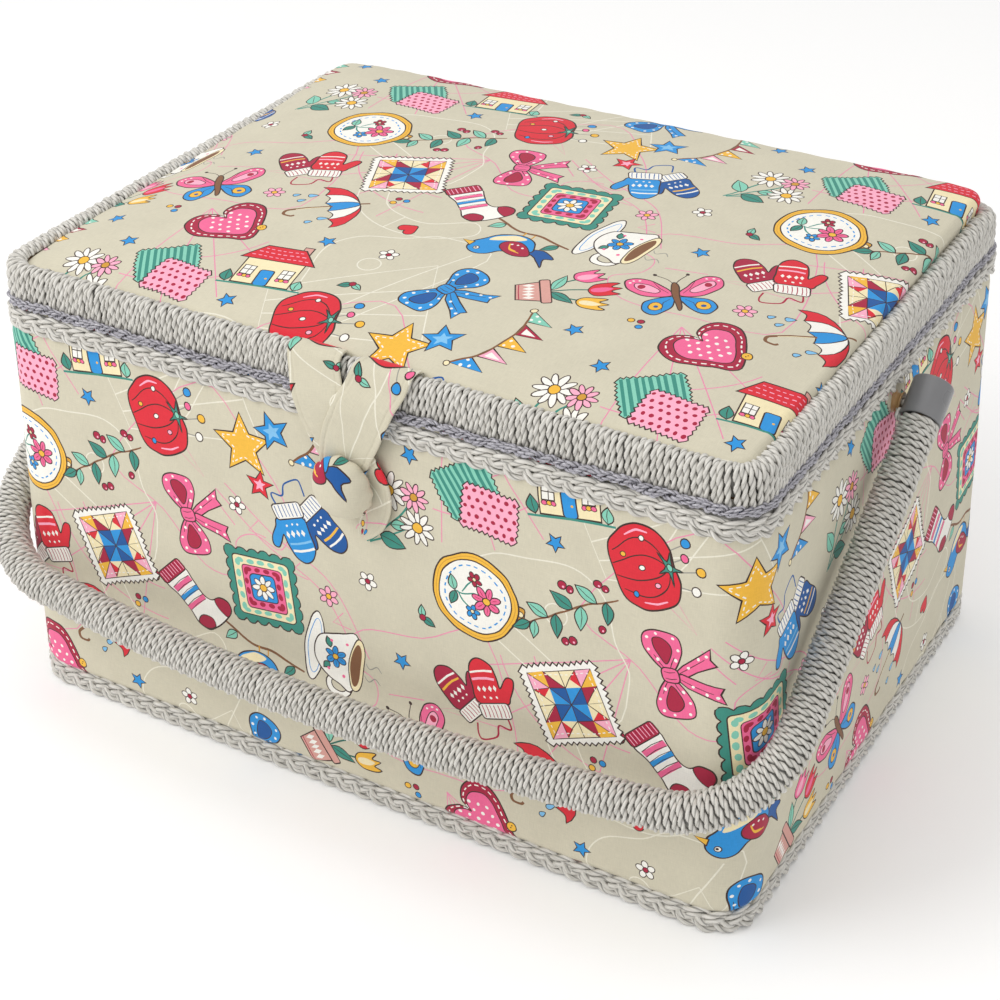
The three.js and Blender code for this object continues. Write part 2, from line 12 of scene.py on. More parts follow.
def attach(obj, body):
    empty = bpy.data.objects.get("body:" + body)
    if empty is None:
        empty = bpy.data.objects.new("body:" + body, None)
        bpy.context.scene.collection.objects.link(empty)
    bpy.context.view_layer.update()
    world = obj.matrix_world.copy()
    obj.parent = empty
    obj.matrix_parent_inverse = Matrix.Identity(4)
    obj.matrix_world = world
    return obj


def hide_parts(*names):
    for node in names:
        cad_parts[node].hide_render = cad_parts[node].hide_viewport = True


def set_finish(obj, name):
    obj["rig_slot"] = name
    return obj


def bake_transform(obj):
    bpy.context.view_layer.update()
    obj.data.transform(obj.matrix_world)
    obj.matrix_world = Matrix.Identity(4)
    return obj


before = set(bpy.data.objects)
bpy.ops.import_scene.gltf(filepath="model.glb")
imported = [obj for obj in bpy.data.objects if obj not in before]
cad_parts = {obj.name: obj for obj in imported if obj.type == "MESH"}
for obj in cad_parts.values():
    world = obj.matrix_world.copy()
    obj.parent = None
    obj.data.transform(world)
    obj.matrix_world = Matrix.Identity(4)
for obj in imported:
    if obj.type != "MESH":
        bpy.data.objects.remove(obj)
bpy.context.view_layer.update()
MM = 0.001
# ---------------------------------------------------------------- printed cotton: inks and drawing tools
INK = {
    "base": (205, 199, 178), "ink": (62, 46, 42), "azure": (46, 146, 216), "deep": (32, 88, 156), "sky": (128, 190, 232),
    "crimson": (168, 36, 66), "red": (216, 44, 58), "pink": (236, 104, 150), "blush": (246, 172, 196), "mustard": (238, 184, 66),
    "gold": (206, 152, 58), "teal": (62, 140, 126), "mint": (132, 202, 180), "rose": (212, 158, 148), "white": (242, 240, 233),
    "linepink": (228, 140, 172), "linewhite": (228, 224, 208), "cream": (240, 226, 184), "brown": (128, 88, 60), "wine": (118, 26, 54),
    "leafdark": (40, 104, 92), "grey": (150, 148, 140),
}
INKS = list(INK)


def ell(cx, cy, rx, ry=None, rot=0.0, n=26, a0=0.0, a1=360.0):
    ry = rx if ry is None else ry
    full = abs(a1 - a0) >= 360
    t = np.radians(np.linspace(a0, a1, n, endpoint=not full))
    p = np.stack([rx * np.cos(t), ry * np.sin(t)], 1)
    return turn(p, rot) + (cx, cy)


def turn(p, deg, at=(0, 0)):
    c, s = math.cos(math.radians(deg)), math.sin(math.radians(deg))
    q = np.asarray(p, float) - at
    return q @ np.array([[c, s], [-s, c]]) + at


def rect(x0, y0, x1, y1):
    return np.array([(x0, y0), (x1, y0), (x1, y1), (x0, y1)], float)


def rrect(x0, y0, x1, y1, r, n=5):
    out = []
    for cx, cy, a in ((x1 - r, y0 + r, -90), (x1 - r, y1 - r, 0), (x0 + r, y1 - r, 90), (x0 + r, y0 + r, 180)):
        for t in np.radians(np.linspace(a, a + 90, n)):
            out.append((cx + r * math.cos(t), cy + r * math.sin(t)))
    return np.array(out)


def spl(pts, n=6, closed=True):
    p = np.asarray(pts, float)
    m = len(p)
    out = []
    for i in range(m if closed else m - 1):
        if closed:
            a, b, c, d = p[(i - 1) % m], p[i], p[(i + 1) % m], p[(i + 2) % m]
        else:
            a, b, c, d = p[max(i - 1, 0)], p[i], p[i + 1], p[min(i + 2, m - 1)]
        for k in range(n):
            t = k / n
            out.append(0.5 * ((2 * b) + (c - a) * t + (2 * a - 5 * b + 4 * c - d) * t * t + (3 * b - a - 3 * c + d) * t ** 3))
    if not closed:
        out.append(p[-1])
    return np.array(out)


def area(p):
    x, y = p[:, 0], p[:, 1]
    return 0.5 * float(np.sum(x * np.roll(y, -1) - np.roll(x, -1) * y))


def grow(p, d):
    """Outline moved out by d (in by -d)."""
    p = np.asarray(p, float)
    if area(p) < 0:
        p = p[::-1]
    e = np.roll(p, -1, 0) - p
    e /= np.maximum(np.linalg.norm(e, axis=1), 1e-9)[:, None]
    n = np.stack([e[:, 1], -e[:, 0]], 1)
    m = n + np.roll(n, 1, 0)
    k = np.maximum((m * m).sum(1) / 2, 0.5)
    return p + d * m / k[:, None]


def ribbon(pts, w, taper=0.0):
    """Closed outline of a stroke of width w along pts."""
    p = np.asarray(pts, float)
    t = np.gradient(p, axis=0)
    t /= np.maximum(np.linalg.norm(t, axis=1), 1e-9)[:, None]
    n = np.stack([-t[:, 1], t[:, 0]], 1)
    s = np.linspace(-1, 1, len(p))
    h = w / 2 * (1 - taper * np.abs(s) ** 2)
    return np.vstack([p + n * h[:, None], (p - n * h[:, None])[::-1]])


class Art:
    """Layers of (outline, ink), the later ones on top."""

    def __init__(self):
        self.layers = []

    def fill(self, p, ink):
        self.layers.append((np.asarray(p, float), ink))
        return self

    def shape(self, p, ink, w=0.62, line="ink"):
        p = np.asarray(p, float)
        self.layers.append((grow(p, w * 0.55), line))
        self.layers.append((grow(p, -w * 0.45), ink))
        return self

    def line(self, pts, w=0.5, ink="ink", taper=0.35):
        self.layers.append((ribbon(pts, w, taper), ink))
        return self

    def closed(self, pts, w=0.5, ink="ink"):
        p = np.asarray(pts, float)
        self.line(np.vstack([p, p[:1]]), w, ink, 0.0)
        return self

    def dashes(self, pts, ink="white", w=0.6, dash=1.7, gap=1.3, closed=False):
        p = np.asarray(pts, float)
        if closed:
            p = np.vstack([p, p[:1]])
        d = np.concatenate([[0], np.cumsum(np.linalg.norm(np.diff(p, axis=0), axis=1))])
        n = max(2, int(round(d[-1] / (dash + gap))))
        step = d[-1] / n
        for i in range(n):
            a = i * step + gap * 0.5
            s = np.array([a, a + step * dash / (dash + gap)])
            self.fill(ribbon(np.stack([np.interp(s, d, p[:, 0]), np.interp(s, d, p[:, 1])], 1), w), ink)
        return self

    def dots(self, centres, r=0.7, ink="white", n=8):
        for x, y in centres:
            self.fill(ell(x, y, r, n=n), ink)
        return self

    def add(self, other, dx=0, dy=0, rot=0, k=1.0):
        for p, c in other.layers:
            self.layers.append((turn(p * k, rot) + (dx, dy), c))
        return self

    def swap(self, **inks):
        self.layers = [(p, inks.get(c, c)) for p, c in self.layers]
        return self


def leaf(a, x, y, length, rot, ink="teal", wide=0.32, vein=True):
    t = np.linspace(0, 1, 8)
    h = wide * length * np.sin(np.pi * t ** 0.8)
    up = np.stack([t * length, h], 1)
    dn = np.stack([t * length, -h * 0.9], 1)[::-1][1:-1]
    a.shape(turn(np.vstack([up, dn]), rot) + (x, y), ink, 0.5)
    if vein:
        a.line(turn(np.array([(0.4, 0), (length * 0.45, 0.3), (length * 0.86, 0)]), rot) + (x, y), 0.35)


def flower(a, x, y, r, petals=6, ink="pink", heart="mustard", rot=0, w=0.5, vein="crimson"):
    for i in range(petals):
        g = rot + 360 * i / petals
        c = turn([(r * 0.62, 0)], g)[0]
        a.shape(ell(x + c[0], y + c[1], r * 0.46, r * 0.62 * 2.9 / petals, g, 14), ink, w)
    if vein:
        for i in range(petals):
            g = rot + 360 * i / petals
            a.line(turn([(r * 0.4, 0), (r * 0.62, 0.1), (r * 0.84, 0)], g) + (x, y), 0.34, vein, 0.5)
    a.shape(ell(x, y, r * 0.3, n=14), heart, w)


def m_hoop():
    a = Art()
    a.shape(rrect(-3.4, 18.4, 3.4, 22.4, 1.0, 3), "gold")
    a.shape(ell(0, 20.4, 1.5, n=10), "cream", 0.45)
    a.shape(ell(0, 0, 19.6, n=52), "mustard", 0.7)
    a.closed(ell(0, 0, 18.2, n=46), 0.32, "gold")
    a.shape(ell(0, 0, 16.6, n=46), "white", 0.6)
    a.dashes(ell(0, 0, 13.9, n=40), "azure", 0.62, 1.9, 1.6, True)
    a.line(spl([(-1, -12), (1, -6), (-1.5, 0), (0, 4)], 5, False), 0.75, "teal")
    a.line(spl([(0, -8), (4, -5), (6.5, -0.5)], 5, False), 0.65, "teal")
    a.line(spl([(0, -6), (-4, -4), (-7, -1)], 5, False), 0.65, "teal")
    leaf(a, 0.5, -9, 7, -12)
    leaf(a, 0, -9.6, 7, 196, "mint")
    flower(a, 0, 5.2, 6.2, 7, "pink", "mustard", 12)
    flower(a, 7.6, -0.2, 3.2, 5, "azure", "cream", 30, 0.42, None)
    flower(a, -8, -0.4, 3.2, 5, "crimson", "cream", 0, 0.42, None)
    return a, 21


def m_quilt():
    a = Art()
    n = 12
    z = []
    for side in range(4):
        for i in range(n):
            for j, d in ((0, 0), (0.5, 1.5)):
                z.append(turn([(-17.5 + 35 * (i + j) / n, -17.5 - d)], 90 * side)[0])
    a.shape(np.array(z), "white", 0.6)
    q = 15.2
    a.shape(rect(-q, -q, q, q), "cream", 0.45)
    u = q / 2
    for g in range(4):
        a.fill(turn([(0, 0), (u, u), (0, u)], 90 * g), "azure")
        a.fill(turn([(0, 0), (u, 0), (u, u)], 90 * g), "deep")
        a.fill(turn([(u, 0), (q, u), (u, u)], 90 * g), "crimson")
        a.fill(turn([(0, u), (u, u), (0 + u, q)], 90 * g), "red")
        a.fill(turn([(0, u), (0, q), (u, u * 1.0)], 90 * g), "cream")
        a.fill(turn([(u, u), (q, u), (q, q)], 90 * g), "mustard")
        a.fill(turn([(u, u), (q, q), (u, q)], 90 * g), "blush")
        for s in ([(0, 0), (q, q)], [(u, 0), (q, u)], [(0, u), (u, q)], [(0, 0), (q, 0)], [(u, 0), (u, q)]):
            a.line(turn(np.array([s[0], ((s[0][0] + s[1][0]) / 2, (s[0][1] + s[1][1]) / 2), s[1]], float), 90 * g), 0.38, "ink", 0)
    a.dashes(rect(-13.4, -13.4, 13.4, 13.4), "white", 0.42, 1.3, 1.2, True)
    return a, 20.5


def heart_outline(s=1.0, n=7):
    return spl(np.array([(0, -16), (-8.5, -9), (-15.5, -0.5), (-16.5, 6.5), (-12.5, 12), (-6.5, 13), (-1.8, 10), (0, 6.6),
                         (1.8, 10), (6.5, 13), (12.5, 12), (16.5, 6.5), (15.5, -0.5), (8.5, -9)], float) * s, n)


def m_heart():
    a = Art()
    a.shape(heart_outline(1.12, 5), "crimson", 0.7)
    a.dashes(heart_outline(0.98, 4), "white", 0.62, 1.9, 1.5, True)
    a.shape(heart_outline(0.8, 5), "pink", 0.5)
    rng = np.random.default_rng(3)
    for y in range(-2, 3):
        for x in range(-3, 4):
            px, py = x * 4.2 + (2.1 if y % 2 else 0), y * 3.9 + 1
            if abs(px) + abs(py - 2) * 0.8 < 11.3 and not (abs(px) < 1.2 and py > 7):
                a.fill(ell(px, py, 0.85, n=8), "white")
    a.shape(ell(8.6, -11.8, 2.5, n=14), "mustard", 0.5)
    a.dots([(7.9, -11.8), (9.3, -11.8)], 0.42, "ink", 6)
    return a, 18.5


def m_bow():
    a = Art()
    for s in (1, -1):
        tail = np.array([(0, -1), (5, -6), (9, -14), (12.5, -19), (7.6, -18.2), (5.2, -20), (2, -12), (-1, -5)], float)
        a.shape(tail * (s, 1), "azure")
        a.line(np.array([(1.2, -4), (4, -9), (7.4, -16)], float) * (s, 1), 0.4)
    for s in (1, -1):
        loop = spl(np.array([(0, 0), (6, 6), (13, 9.6), (18.6, 7), (19.4, 0), (17.4, -6.4), (11.6, -7), (5.4, -4)], float) * (s, 1), 5)
        a.shape(loop, "azure", 0.65)
        inner = spl(np.array([(5, 1), (10.5, 4.6), (15.4, 4.6), (16, 0.6), (13.2, -2.4), (8.6, -1.8)], float) * (s, 1), 4)
        a.shape(inner, "deep", 0.45)
        a.line(np.array([(2.4, 1.6), (5, 3.6), (8.4, 5.6)], float) * (s, 1), 0.4)
        a.line(np.array([(2.4, -0.6), (5.4, -1.6), (8, -3)], float) * (s, 1), 0.4)
        a.dots([(s * 6.6, 4.3), (s * 11, 7.4), (s * 16.1, 6.6), (s * 17.9, 2.4), (s * 16.4, -4.4), (s * 11.6, -5.2), (s * 6.9, -3.4)], 0.72)
        a.dots([(s * 4.2, -8.6), (s * 7.6, -13.2), (s * 8.9, -17)], 0.7)
    a.shape(rrect(-3.2, -3.6, 3.2, 3.8, 2.2, 4), "azure", 0.65)
    a.line([(-1.4, 2.6), (-1.7, 0), (-1.2, -2.4)], 0.35)
    a.line([(1.2, 2.6), (0.9, 0), (1.4, -2.4)], 0.35)
    return a, 19.5


def mitten():
    a = Art()
    hand = spl([(-6.4, -6), (-7.4, 2), (-6.8, 9.4), (-3.2, 14.4), (1.2, 15), (5, 11.4), (6.2, 5), (6.6, 0.6), (9.4, 3.6), (12, 5.6), (14.2, 4.2),
                (13.2, 0.4), (9.6, -4), (6.6, -7.2)], 5)
    a.shape(hand, "red", 0.65)
    for y, ink in ((8.6, "white"), (5.2, "blush")):
        a.line([(-6.7, y), (-3, y + 0.7), (1, y + 0.7), (5.0, y - 0.1)], 1.05, ink, 0)
    for x in (-4.4, -1.6, 1.2, 3.9):
        a.fill(np.array([(x - 1, 1), (x, 2.6), (x + 1, 1), (x, -0.6)]), "white")
    a.dots([(-3, -3), (0, -3.2), (3, -3)], 0.6)
    cuff = rrect(-7.8, -13.6, 7.2, -6.2, 1.6, 3)
    a.shape(cuff, "white", 0.62)
    for i in range(7):
        x = -6.2 + 1.95 * i
        a.line([(x, -12.9), (x + 0.15, -10), (x, -6.9)], 0.4, "crimson", 0)
    return a


def m_mittens():
    a = Art()
    a.line(spl([(-7, -13), (-9, -20), (-1, -21.5), (3, -17), (8, -19.5), (9, -13)], 6, False), 0.8, "crimson", 0)
    a.add(mitten().swap(red="crimson", blush="mustard"), -7.6, 1.4, 14, 0.92)
    a.add(mitten(), 7.6, -1, -12, 0.98)
    return a, 21


def m_pincushion():
    a = Art()
    for x, y, r, ink in ((-9, 19, 1.9, "azure"), (3, 21.4, 1.9, "mustard"), (11, 17.5, 1.9, "white"), (-3, 16.6, 1.7, "pink")):
        a.line([(x * 0.55, 6), (x * 0.8, 12), (x, y)], 0.5, "grey", 0)
        a.shape(ell(x, y, r, n=12), ink, 0.5)
    body = spl([(-18, 0), (-17, -8), (-11, -14), (0, -15.6), (11, -14), (17, -8), (18, 0), (15, 8), (8, 11.6), (0, 11), (-8, 11.6), (-15, 8)], 6)
    a.shape(body, "red", 0.72)
    for s in (-1, 1):
        a.line(spl(np.array([(0.6, 9), (9.5, 5), (12.4, -3), (8.4, -13)], float) * (s, 1), 6, False), 0.55)
        a.line(spl(np.array([(0.2, 9), (4.2, 3), (5.0, -5), (2.6, -15)], float) * (s, 1), 6, False), 0.55)
        a.line(spl(np.array([(14.6, 4), (15.8, -1), (14.4, -6)], float) * (s, 1), 6, False), 0.9, "blush")
    top = []
    for i in range(10):
        g = 36 * i
        top.append(turn([(8.4 if i % 2 == 0 else 2.6, 0)], g)[0] * (1, 0.62) + (0, 8.8))
    a.shape(spl(top, 3), "teal", 0.55)
    a.shape(ell(0, 9, 1.8, 1.2, n=12), "mint", 0.45)
    for x, y, ink in ((-12, 1, "white"), (-6.5, -9, "mustard"), (10.6, -8.6, "azure"), (0, -3, "white"), (7.8, 2, "blush")):
        a.shape(ell(x, y, 1.25, n=10), ink, 0.42)
    return a, 20


def m_daisies():
    a = Art()
    a.line(spl([(-8, 8), (-4, -4), (-1, -19)], 6, False), 0.85, "teal", 0)
    a.line(spl([(9, 7), (5, -5), (0, -18)], 6, False), 0.85, "teal", 0)
    a.line(spl([(1, 15), (1.4, 0), (-0.4, -18)], 6, False), 0.85, "teal", 0)
    leaf(a, 1, -11, 12, 20)
    leaf(a, -1.5, -10, 12, 158, "mint")
    leaf(a, 1.6, -3, 8, 48, "mint", 0.3)
    flower(a, -9, 8.4, 8.2, 10, "white", "mustard", 5, 0.48, None)
    flower(a, 9.6, 6, 7.6, 10, "white", "mustard", 17, 0.48, None)
    flower(a, 0.6, 16, 6.2, 9, "blush", "gold", 0, 0.46, None)
    return a, 20


def m_sprig():
    a = Art()
    stem = spl([(-19, -12), (-8, -6), (2, 0), (12, 8), (19, 13)], 6, False)
    a.line(stem, 0.9, "brown", 0.3)
    for i, (t, g, ink, ln) in enumerate(((3, 95, "teal", 10), (5, -28, "mint", 10.5), (9, 96, "mint", 11), (11, -24, "teal", 11), (15, 98, "teal", 10.5),
                                         (17, -18, "mint", 10), (21, 86, "mint", 8.5), (23, 30, "teal", 9))):
        x, y = stem[min(t, len(stem) - 1)]
        leaf(a, x, y, ln, g, ink, 0.26)
    for x, y in ((-13, -15.2), (-9.6, -16), (1.6, -9.4), (5, -10.4), (-13, 3.6), (-1, 13.6), (2.4, 14.8)):
        a.shape(ell(x, y, 1.75, n=12), "crimson", 0.45)
        a.fill(ell(x - 0.5, y + 0.55, 0.5, n=6), "blush")
    return a, 19.5


def tulip(a, x, y, ink, shade, k=1.0, rot=0):
    p = lambda q: turn(np.array(q, float) * k, rot) + (x, y)
    a.shape(p(spl([(-5, -5), (-6, 1), (-5.2, 7), (-2.4, 3.4), (0, 8), (2.4, 3.4), (5.2, 7), (6, 1), (5, -5), (0, -8)], 4)), ink, 0.55)
    a.fill(p(spl([(-1.9, -5), (-2.2, 0), (0, 4.4), (2.2, 0), (1.9, -5), (0, -6.6)], 3)), shade)


def m_tulips():
    a = Art()
    for x0, y0, x1, y1 in ((-2, -8, -10, 9), (0, -8, 0.6, 15), (2, -8, 11, 8)):
        a.line(spl([(x0, y0), ((x0 + x1) / 2, (y0 + y1) / 2 - 1.5), (x1, y1)], 6, False), 0.95, "leafdark", 0)
    leaf(a, 1, -6, 13, 36, "teal", 0.2)
    leaf(a, -1, -6, 13, 146, "mint", 0.2)
    tulip(a, -10.8, 10.4, "pink", "blush", 0.82, 14)
    tulip(a, 0.8, 15.6, "red", "pink", 0.86, 0)
    tulip(a, 12, 9.6, "mustard", "cream", 0.8, -16)
    a.shape(np.array([(-8.4, -9), (8.4, -9), (6, -20.4), (-6, -20.4)]), "rose", 0.65)
    a.shape(rrect(-9.8, -10.4, 9.8, -6.2, 0.9, 3), "rose", 0.6)
    for i in range(5):
        a.fill(np.array([(-6 + 3 * i, -12.6), (-4.6 + 3 * i, -15.2), (-6 + 3 * i, -17.8), (-7.4 + 3 * i, -15.2)]) * (0.82, 1), "white")
    a.line([(-6, -19), (0, -19.2), (6, -19)], 0.4, "crimson", 0)
    return a, 21


def m_bunting():
    a = Art()
    rope = spl([(-23, 8), (-14, 3), (-5, 1), (5, 1.2), (14, 4), (23, 9)], 6, False)
    inks = ("azure", "blush", "mustard", "crimson", "mint")
    for i, ink in enumerate(inks):
        k = 1 + i * 6
        x, y = rope[k]
        x2, y2 = rope[k + 5]
        tip = ((x + x2) / 2 + 0.4, (y + y2) / 2 - 12.5)
        tri = np.array([(x, y), tip, (x2, y2)])
        a.shape(tri, ink, 0.6)
        mid = tri.mean(0)
        if i % 2:
            a.fill(np.vstack([mid + (v - mid) * 0.5 for v in tri]), "white")
        else:
            a.dots([mid + d for d in ((-1.8, 1.8), (1.8, 1.8), (0, -1.4))], 0.75)
    a.line(rope, 1.0, "brown", 0)
    for s in (0, -1):
        x, y = rope[s]
        a.shape(ell(x, y, 1.5, n=10), "cream", 0.45)
    return a, 20.5


def m_teacup():
    a = Art()
    a.shape(ell(0, -12.6, 18.4, 4.6, n=34), "white", 0.6)
    a.closed(ell(0, -12.4, 14.6, 3.2, n=28), 0.35, "azure")
    a.shape(ell(14.4, 1, 6.0, 6.6, -14, 22), "white", 0.6)
    a.shape(ell(14.0, 1.1, 3.2, 3.9, -14, 18), "base", 0.5)
    cup = spl([(-13.8, 8), (-13, 0), (-9.6, -8), (-4.4, -12), (4.4, -12), (9.6, -8), (13, 0), (13.8, 8)], 5)
    a.shape(cup, "white", 0.65)
    a.shape(ell(0, 8.6, 13.8, 3.6, n=30), "cream", 0.55)
    a.fill(ell(0, 8.2, 11.2, 2.4, n=24), "brown")
    flower(a, 0, -1.6, 5.0, 6, "azure", "mustard", 10, 0.42, "deep")
    leaf(a, 4.0, -4.8, 5, -30, "teal", 0.3, False)
    leaf(a, -4.0, -4.8, 5, 210, "teal", 0.3, False)
    a.dots([(-8.6, 2.6), (8.6, 2.6), (-7.4, -5), (7.6, -5)], 0.8, "pink")
    for x in (-4, 2.6):
        a.line(spl([(x, 13), (x + 2, 15.4), (x - 0.6, 18), (x + 1.6, 21)], 5, False), 0.5, "grey")
    return a, 19.5


def m_butterfly():
    a = Art()
    for s in (1, -1):
        f = lambda q: np.array(q, float) * (s, 1)
        a.shape(f(spl([(1.2, 1), (6, 9), (13, 15), (19, 14.4), (19.6, 8), (15, 2), (8, -1)], 6)), "pink", 0.65)
        a.shape(f(spl([(1.2, -1), (7, -2), (13.6, -5), (15, -11), (10.6, -15.4), (5, -12), (2, -6)], 6)), "azure", 0.65)
        a.shape(f(spl([(6, 4), (10.4, 9), (15.6, 11.2), (16.4, 8.2), (12.6, 4), (8, 2)], 4)), "blush", 0.42)
        a.fill(f(ell(13.6, 8.2, 1.7, n=12)), "crimson")
        a.dots([(s * 18, 11.8), (s * 16.4, 13.4), (s * 13.6, 13.2)], 0.6)
        a.shape(f(ell(9.6, -8.8, 2.9, 3.4, 20, 14)), "mustard", 0.42)
        a.fill(f(ell(9.6, -8.8, 1.1, n=8)), "deep")
        a.line(f([(3, 2), (6, 6), (9, 12.4)]), 0.36)
        a.line(f([(3, -3), (6, -6), (7.4, -12.6)]), 0.36)
        a.line(f(spl([(0.6, 10), (3, 14), (6.4, 17)], 5, False)), 0.42, "ink", 0)
        a.fill(f(ell(6.7, 17.4, 0.9, n=8)), "ink")
    a.shape(spl([(-1.6, 8), (0, 11), (1.6, 8), (1.5, 0), (0.8, -11), (-0.8, -11), (-1.5, 0)], 4), "brown", 0.5)
    return a, 19.5


def m_bird():
    a = Art()
    a.line(spl([(-21, -13), (-6, -14.5), (6, -13), (21, -16)], 6, False), 1.3, "brown", 0.2)
    leaf(a, -16, -13, 8, 60, "teal", 0.3)
    leaf(a, 15, -14, 8, 55, "mint", 0.3)
    for x in (-2.2, 2.6):
        a.line([(x, -8), (x - 0.4, -11), (x, -13.6)], 0.7, "gold", 0)
    a.shape(spl([(-8, -1), (-15, 1), (-22, 7), (-19, 0.4), (-22.4, -2), (-14, -6)], 4), "deep", 0.6)
    body = spl([(-11, -2), (-6, -8.4), (2, -10), (9, -6.6), (12.4, 0), (15.4, 5.6), (14.4, 11.4), (9, 13.4), (4, 11), (1, 6), (-4, 4)], 6)
    a.shape(body, "azure", 0.68)
    a.fill(spl([(-2, -8.4), (4, -8.8), (9.2, -4.6), (10.6, 0.6), (6, -2), (1, -5)], 5), "cream")
    wing = spl([(-12, 1), (-6, 5.8), (1, 4.6), (4.2, 0), (1.4, -4.4), (-4.4, -4.6)], 6)
    a.shape(wing, "crimson", 0.55)
    for k in (0.36, 0.66):
        a.line(spl([(-9 + 6 * k, 2.6 - k), (-3 + 3 * k, 3.4 - 3 * k), (0.6 + 1 * k, -0.4 - 2 * k)], 4, False), 0.7, "mustard")
    a.dots([(-5.6, -1.6), (-2.6, -2.4), (0.2, -1.6)], 0.6)
    a.shape(np.array([(14.8, 9.4), (20.2, 7.6), (14.8, 6.2)]), "mustard", 0.5)
    a.shape(ell(10.6, 9.2, 1.25, n=10), "white", 0.4)
    a.fill(ell(10.8, 9.2, 0.6, n=8), "ink")
    return a, 20.5


def m_granny():
    a = Art()
    sc = []
    for side in range(4):
        for i in range(6):
            cx = -15 + 6 * i
            for t in (200, 240, 270, 300, 340):
                q = np.array([cx + 3.1 * math.cos(math.radians(t)), -16 + 2.6 * math.sin(math.radians(t))])
                sc.append(turn([q], 90 * side)[0])
    a.shape(np.array(sc), "teal", 0.6)
    a.shape(rrect(-14.6, -14.6, 14.6, 14.6, 2), "cream", 0.5)
    for side in range(4):
        for i in range(5):
            x = -10.8 + 5.4 * i
            a.fill(turn(ell(x, -12.4, 1.9, 1.25, 0, 10), 90 * side), "mint")
    a.shape(rrect(-10.4, -10.4, 10.4, 10.4, 2), "pink", 0.5)
    for side in range(4):
        for i in range(4):
            x = -7.2 + 4.8 * i
            a.fill(turn(ell(x, -8.3, 1.7, 1.1, 0, 10), 90 * side), "crimson")
    a.shape(rrect(-6.6, -6.6, 6.6, 6.6, 2), "azure", 0.5)
    flower(a, 0, 0, 5.6, 8, "white", "mustard", 0, 0.4, None)
    return a, 20


def star_outline(r, q=0.46, n=5, rot=90):
    return np.array([turn([((r if i % 2 == 0 else r * q), 0)], rot + 180 * i / n)[0] for i in range(2 * n)])


def m_stars():
    a = Art()
    a.shape(star_outline(15), "mustard", 0.68)
    a.dashes(star_outline(11.4), "white", 0.55, 1.5, 1.3, True)
    a.add(Art().shape(star_outline(9), "azure", 0.6).fill(star_outline(4.4), "sky"), 13.4, -12.4, 14)
    a.add(Art().shape(star_outline(7), "red", 0.55).fill(star_outline(3.2), "blush"), -14.4, -11, -10)
    return a, 18.5


def m_stocking():
    a = Art()
    leg = spl([(-6.8, 13), (-6.4, 4), (-6, -4), (-7.4, -10), (-5, -15.4), (1, -17), (8, -16.4), (14, -15), (16, -10.8), (13.4, -7.2), (8.4, -5.6),
               (6.4, -1), (6.6, 6), (7, 13)], 5)
    a.shape(leg, "white", 0.65)
    for y, ink in ((8.6, "pink"), (3.6, "azure"), (-1.4, "pink")):
        a.fill(np.array([(-6.3, y), (6.35, y), (6.25, y - 2.5), (-6.0, y - 2.5)]), ink)
        a.line([(-6.2, y), (0, y + 0.2), (6.2, y)], 0.34, "ink", 0)
        a.line([(-6, y - 2.5), (0, y - 2.3), (6, y - 2.5)], 0.34, "ink", 0)
    a.shape(spl([(-6.6, -9.4), (-7, -12), (-4.6, -15.2), (-0.4, -16.4), (1.2, -13), (-2, -9)], 4), "crimson", 0.5)
    a.shape(spl([(10.4, -6.6), (8.6, -10.6), (10, -15.8), (14, -14.8), (15.8, -11), (13.4, -7.4)], 4), "crimson", 0.5)
    a.shape(rrect(-8, 11.6, 8.2, 17.8, 1.6, 3), "crimson", 0.6)
    for i in range(8):
        a.line([(-6.6 + 1.95 * i, 12.4), (-6.6 + 1.95 * i, 17)], 0.4, "blush", 0)
    a.shape(ell(-9.4, 17.4, 2.4, 1.5, 40, 12), "crimson", 0.45)
    return a, 19


def m_umbrella():
    a = Art()
    a.line([(0, 19.4), (0, 16), (0, 13)], 1.0, "brown", 0)
    inks = ("red", "white", "azure", "white", "red")
    ribs = np.array([-20.0, -12, -4, 4, 12, 20])
    t = np.radians(np.linspace(90, 6, 7))
    for i in (0, 4, 1, 3, 2):
        x0, x1 = ribs[i], ribs[i + 1]
        edge = spl([(x0, 0), (x0 * 0.5 + x1 * 0.5, 2.3), (x1, 0)], 5, False)
        up = np.stack([x1 * np.sin(t), 14.8 * np.cos(t)], 1)
        dn = np.stack([x0 * np.sin(t), 14.8 * np.cos(t)], 1)[::-1]
        a.shape(np.vstack([edge, up[1:], dn[:-1]]), inks[i], 0.55)
    a.line([(0, 3), (0, -8), (0, -14)], 1.1, "brown", 0)
    a.line(spl([(0, -13), (0.4, -17.4), (3.4, -19), (6, -16.6), (5.8, -14.4)], 5, False), 1.3, "brown", 0)
    a.line([(0.35, 2), (0.35, -6), (0.35, -13)], 0.3, "cream", 0)
    for x, y, r in ((-12, -6, 1.5), (-8, -11, 1.2), (11, -3, 1.5), (13.4, -9, 1.2), (-14, -13, 1.1)):
        a.shape(spl([(x, y + 2 * r), (x + r, y - 0.3 * r), (x, y - 1.1 * r), (x - r, y - 0.3 * r)], 3), "sky", 0.4)
    return a, 20


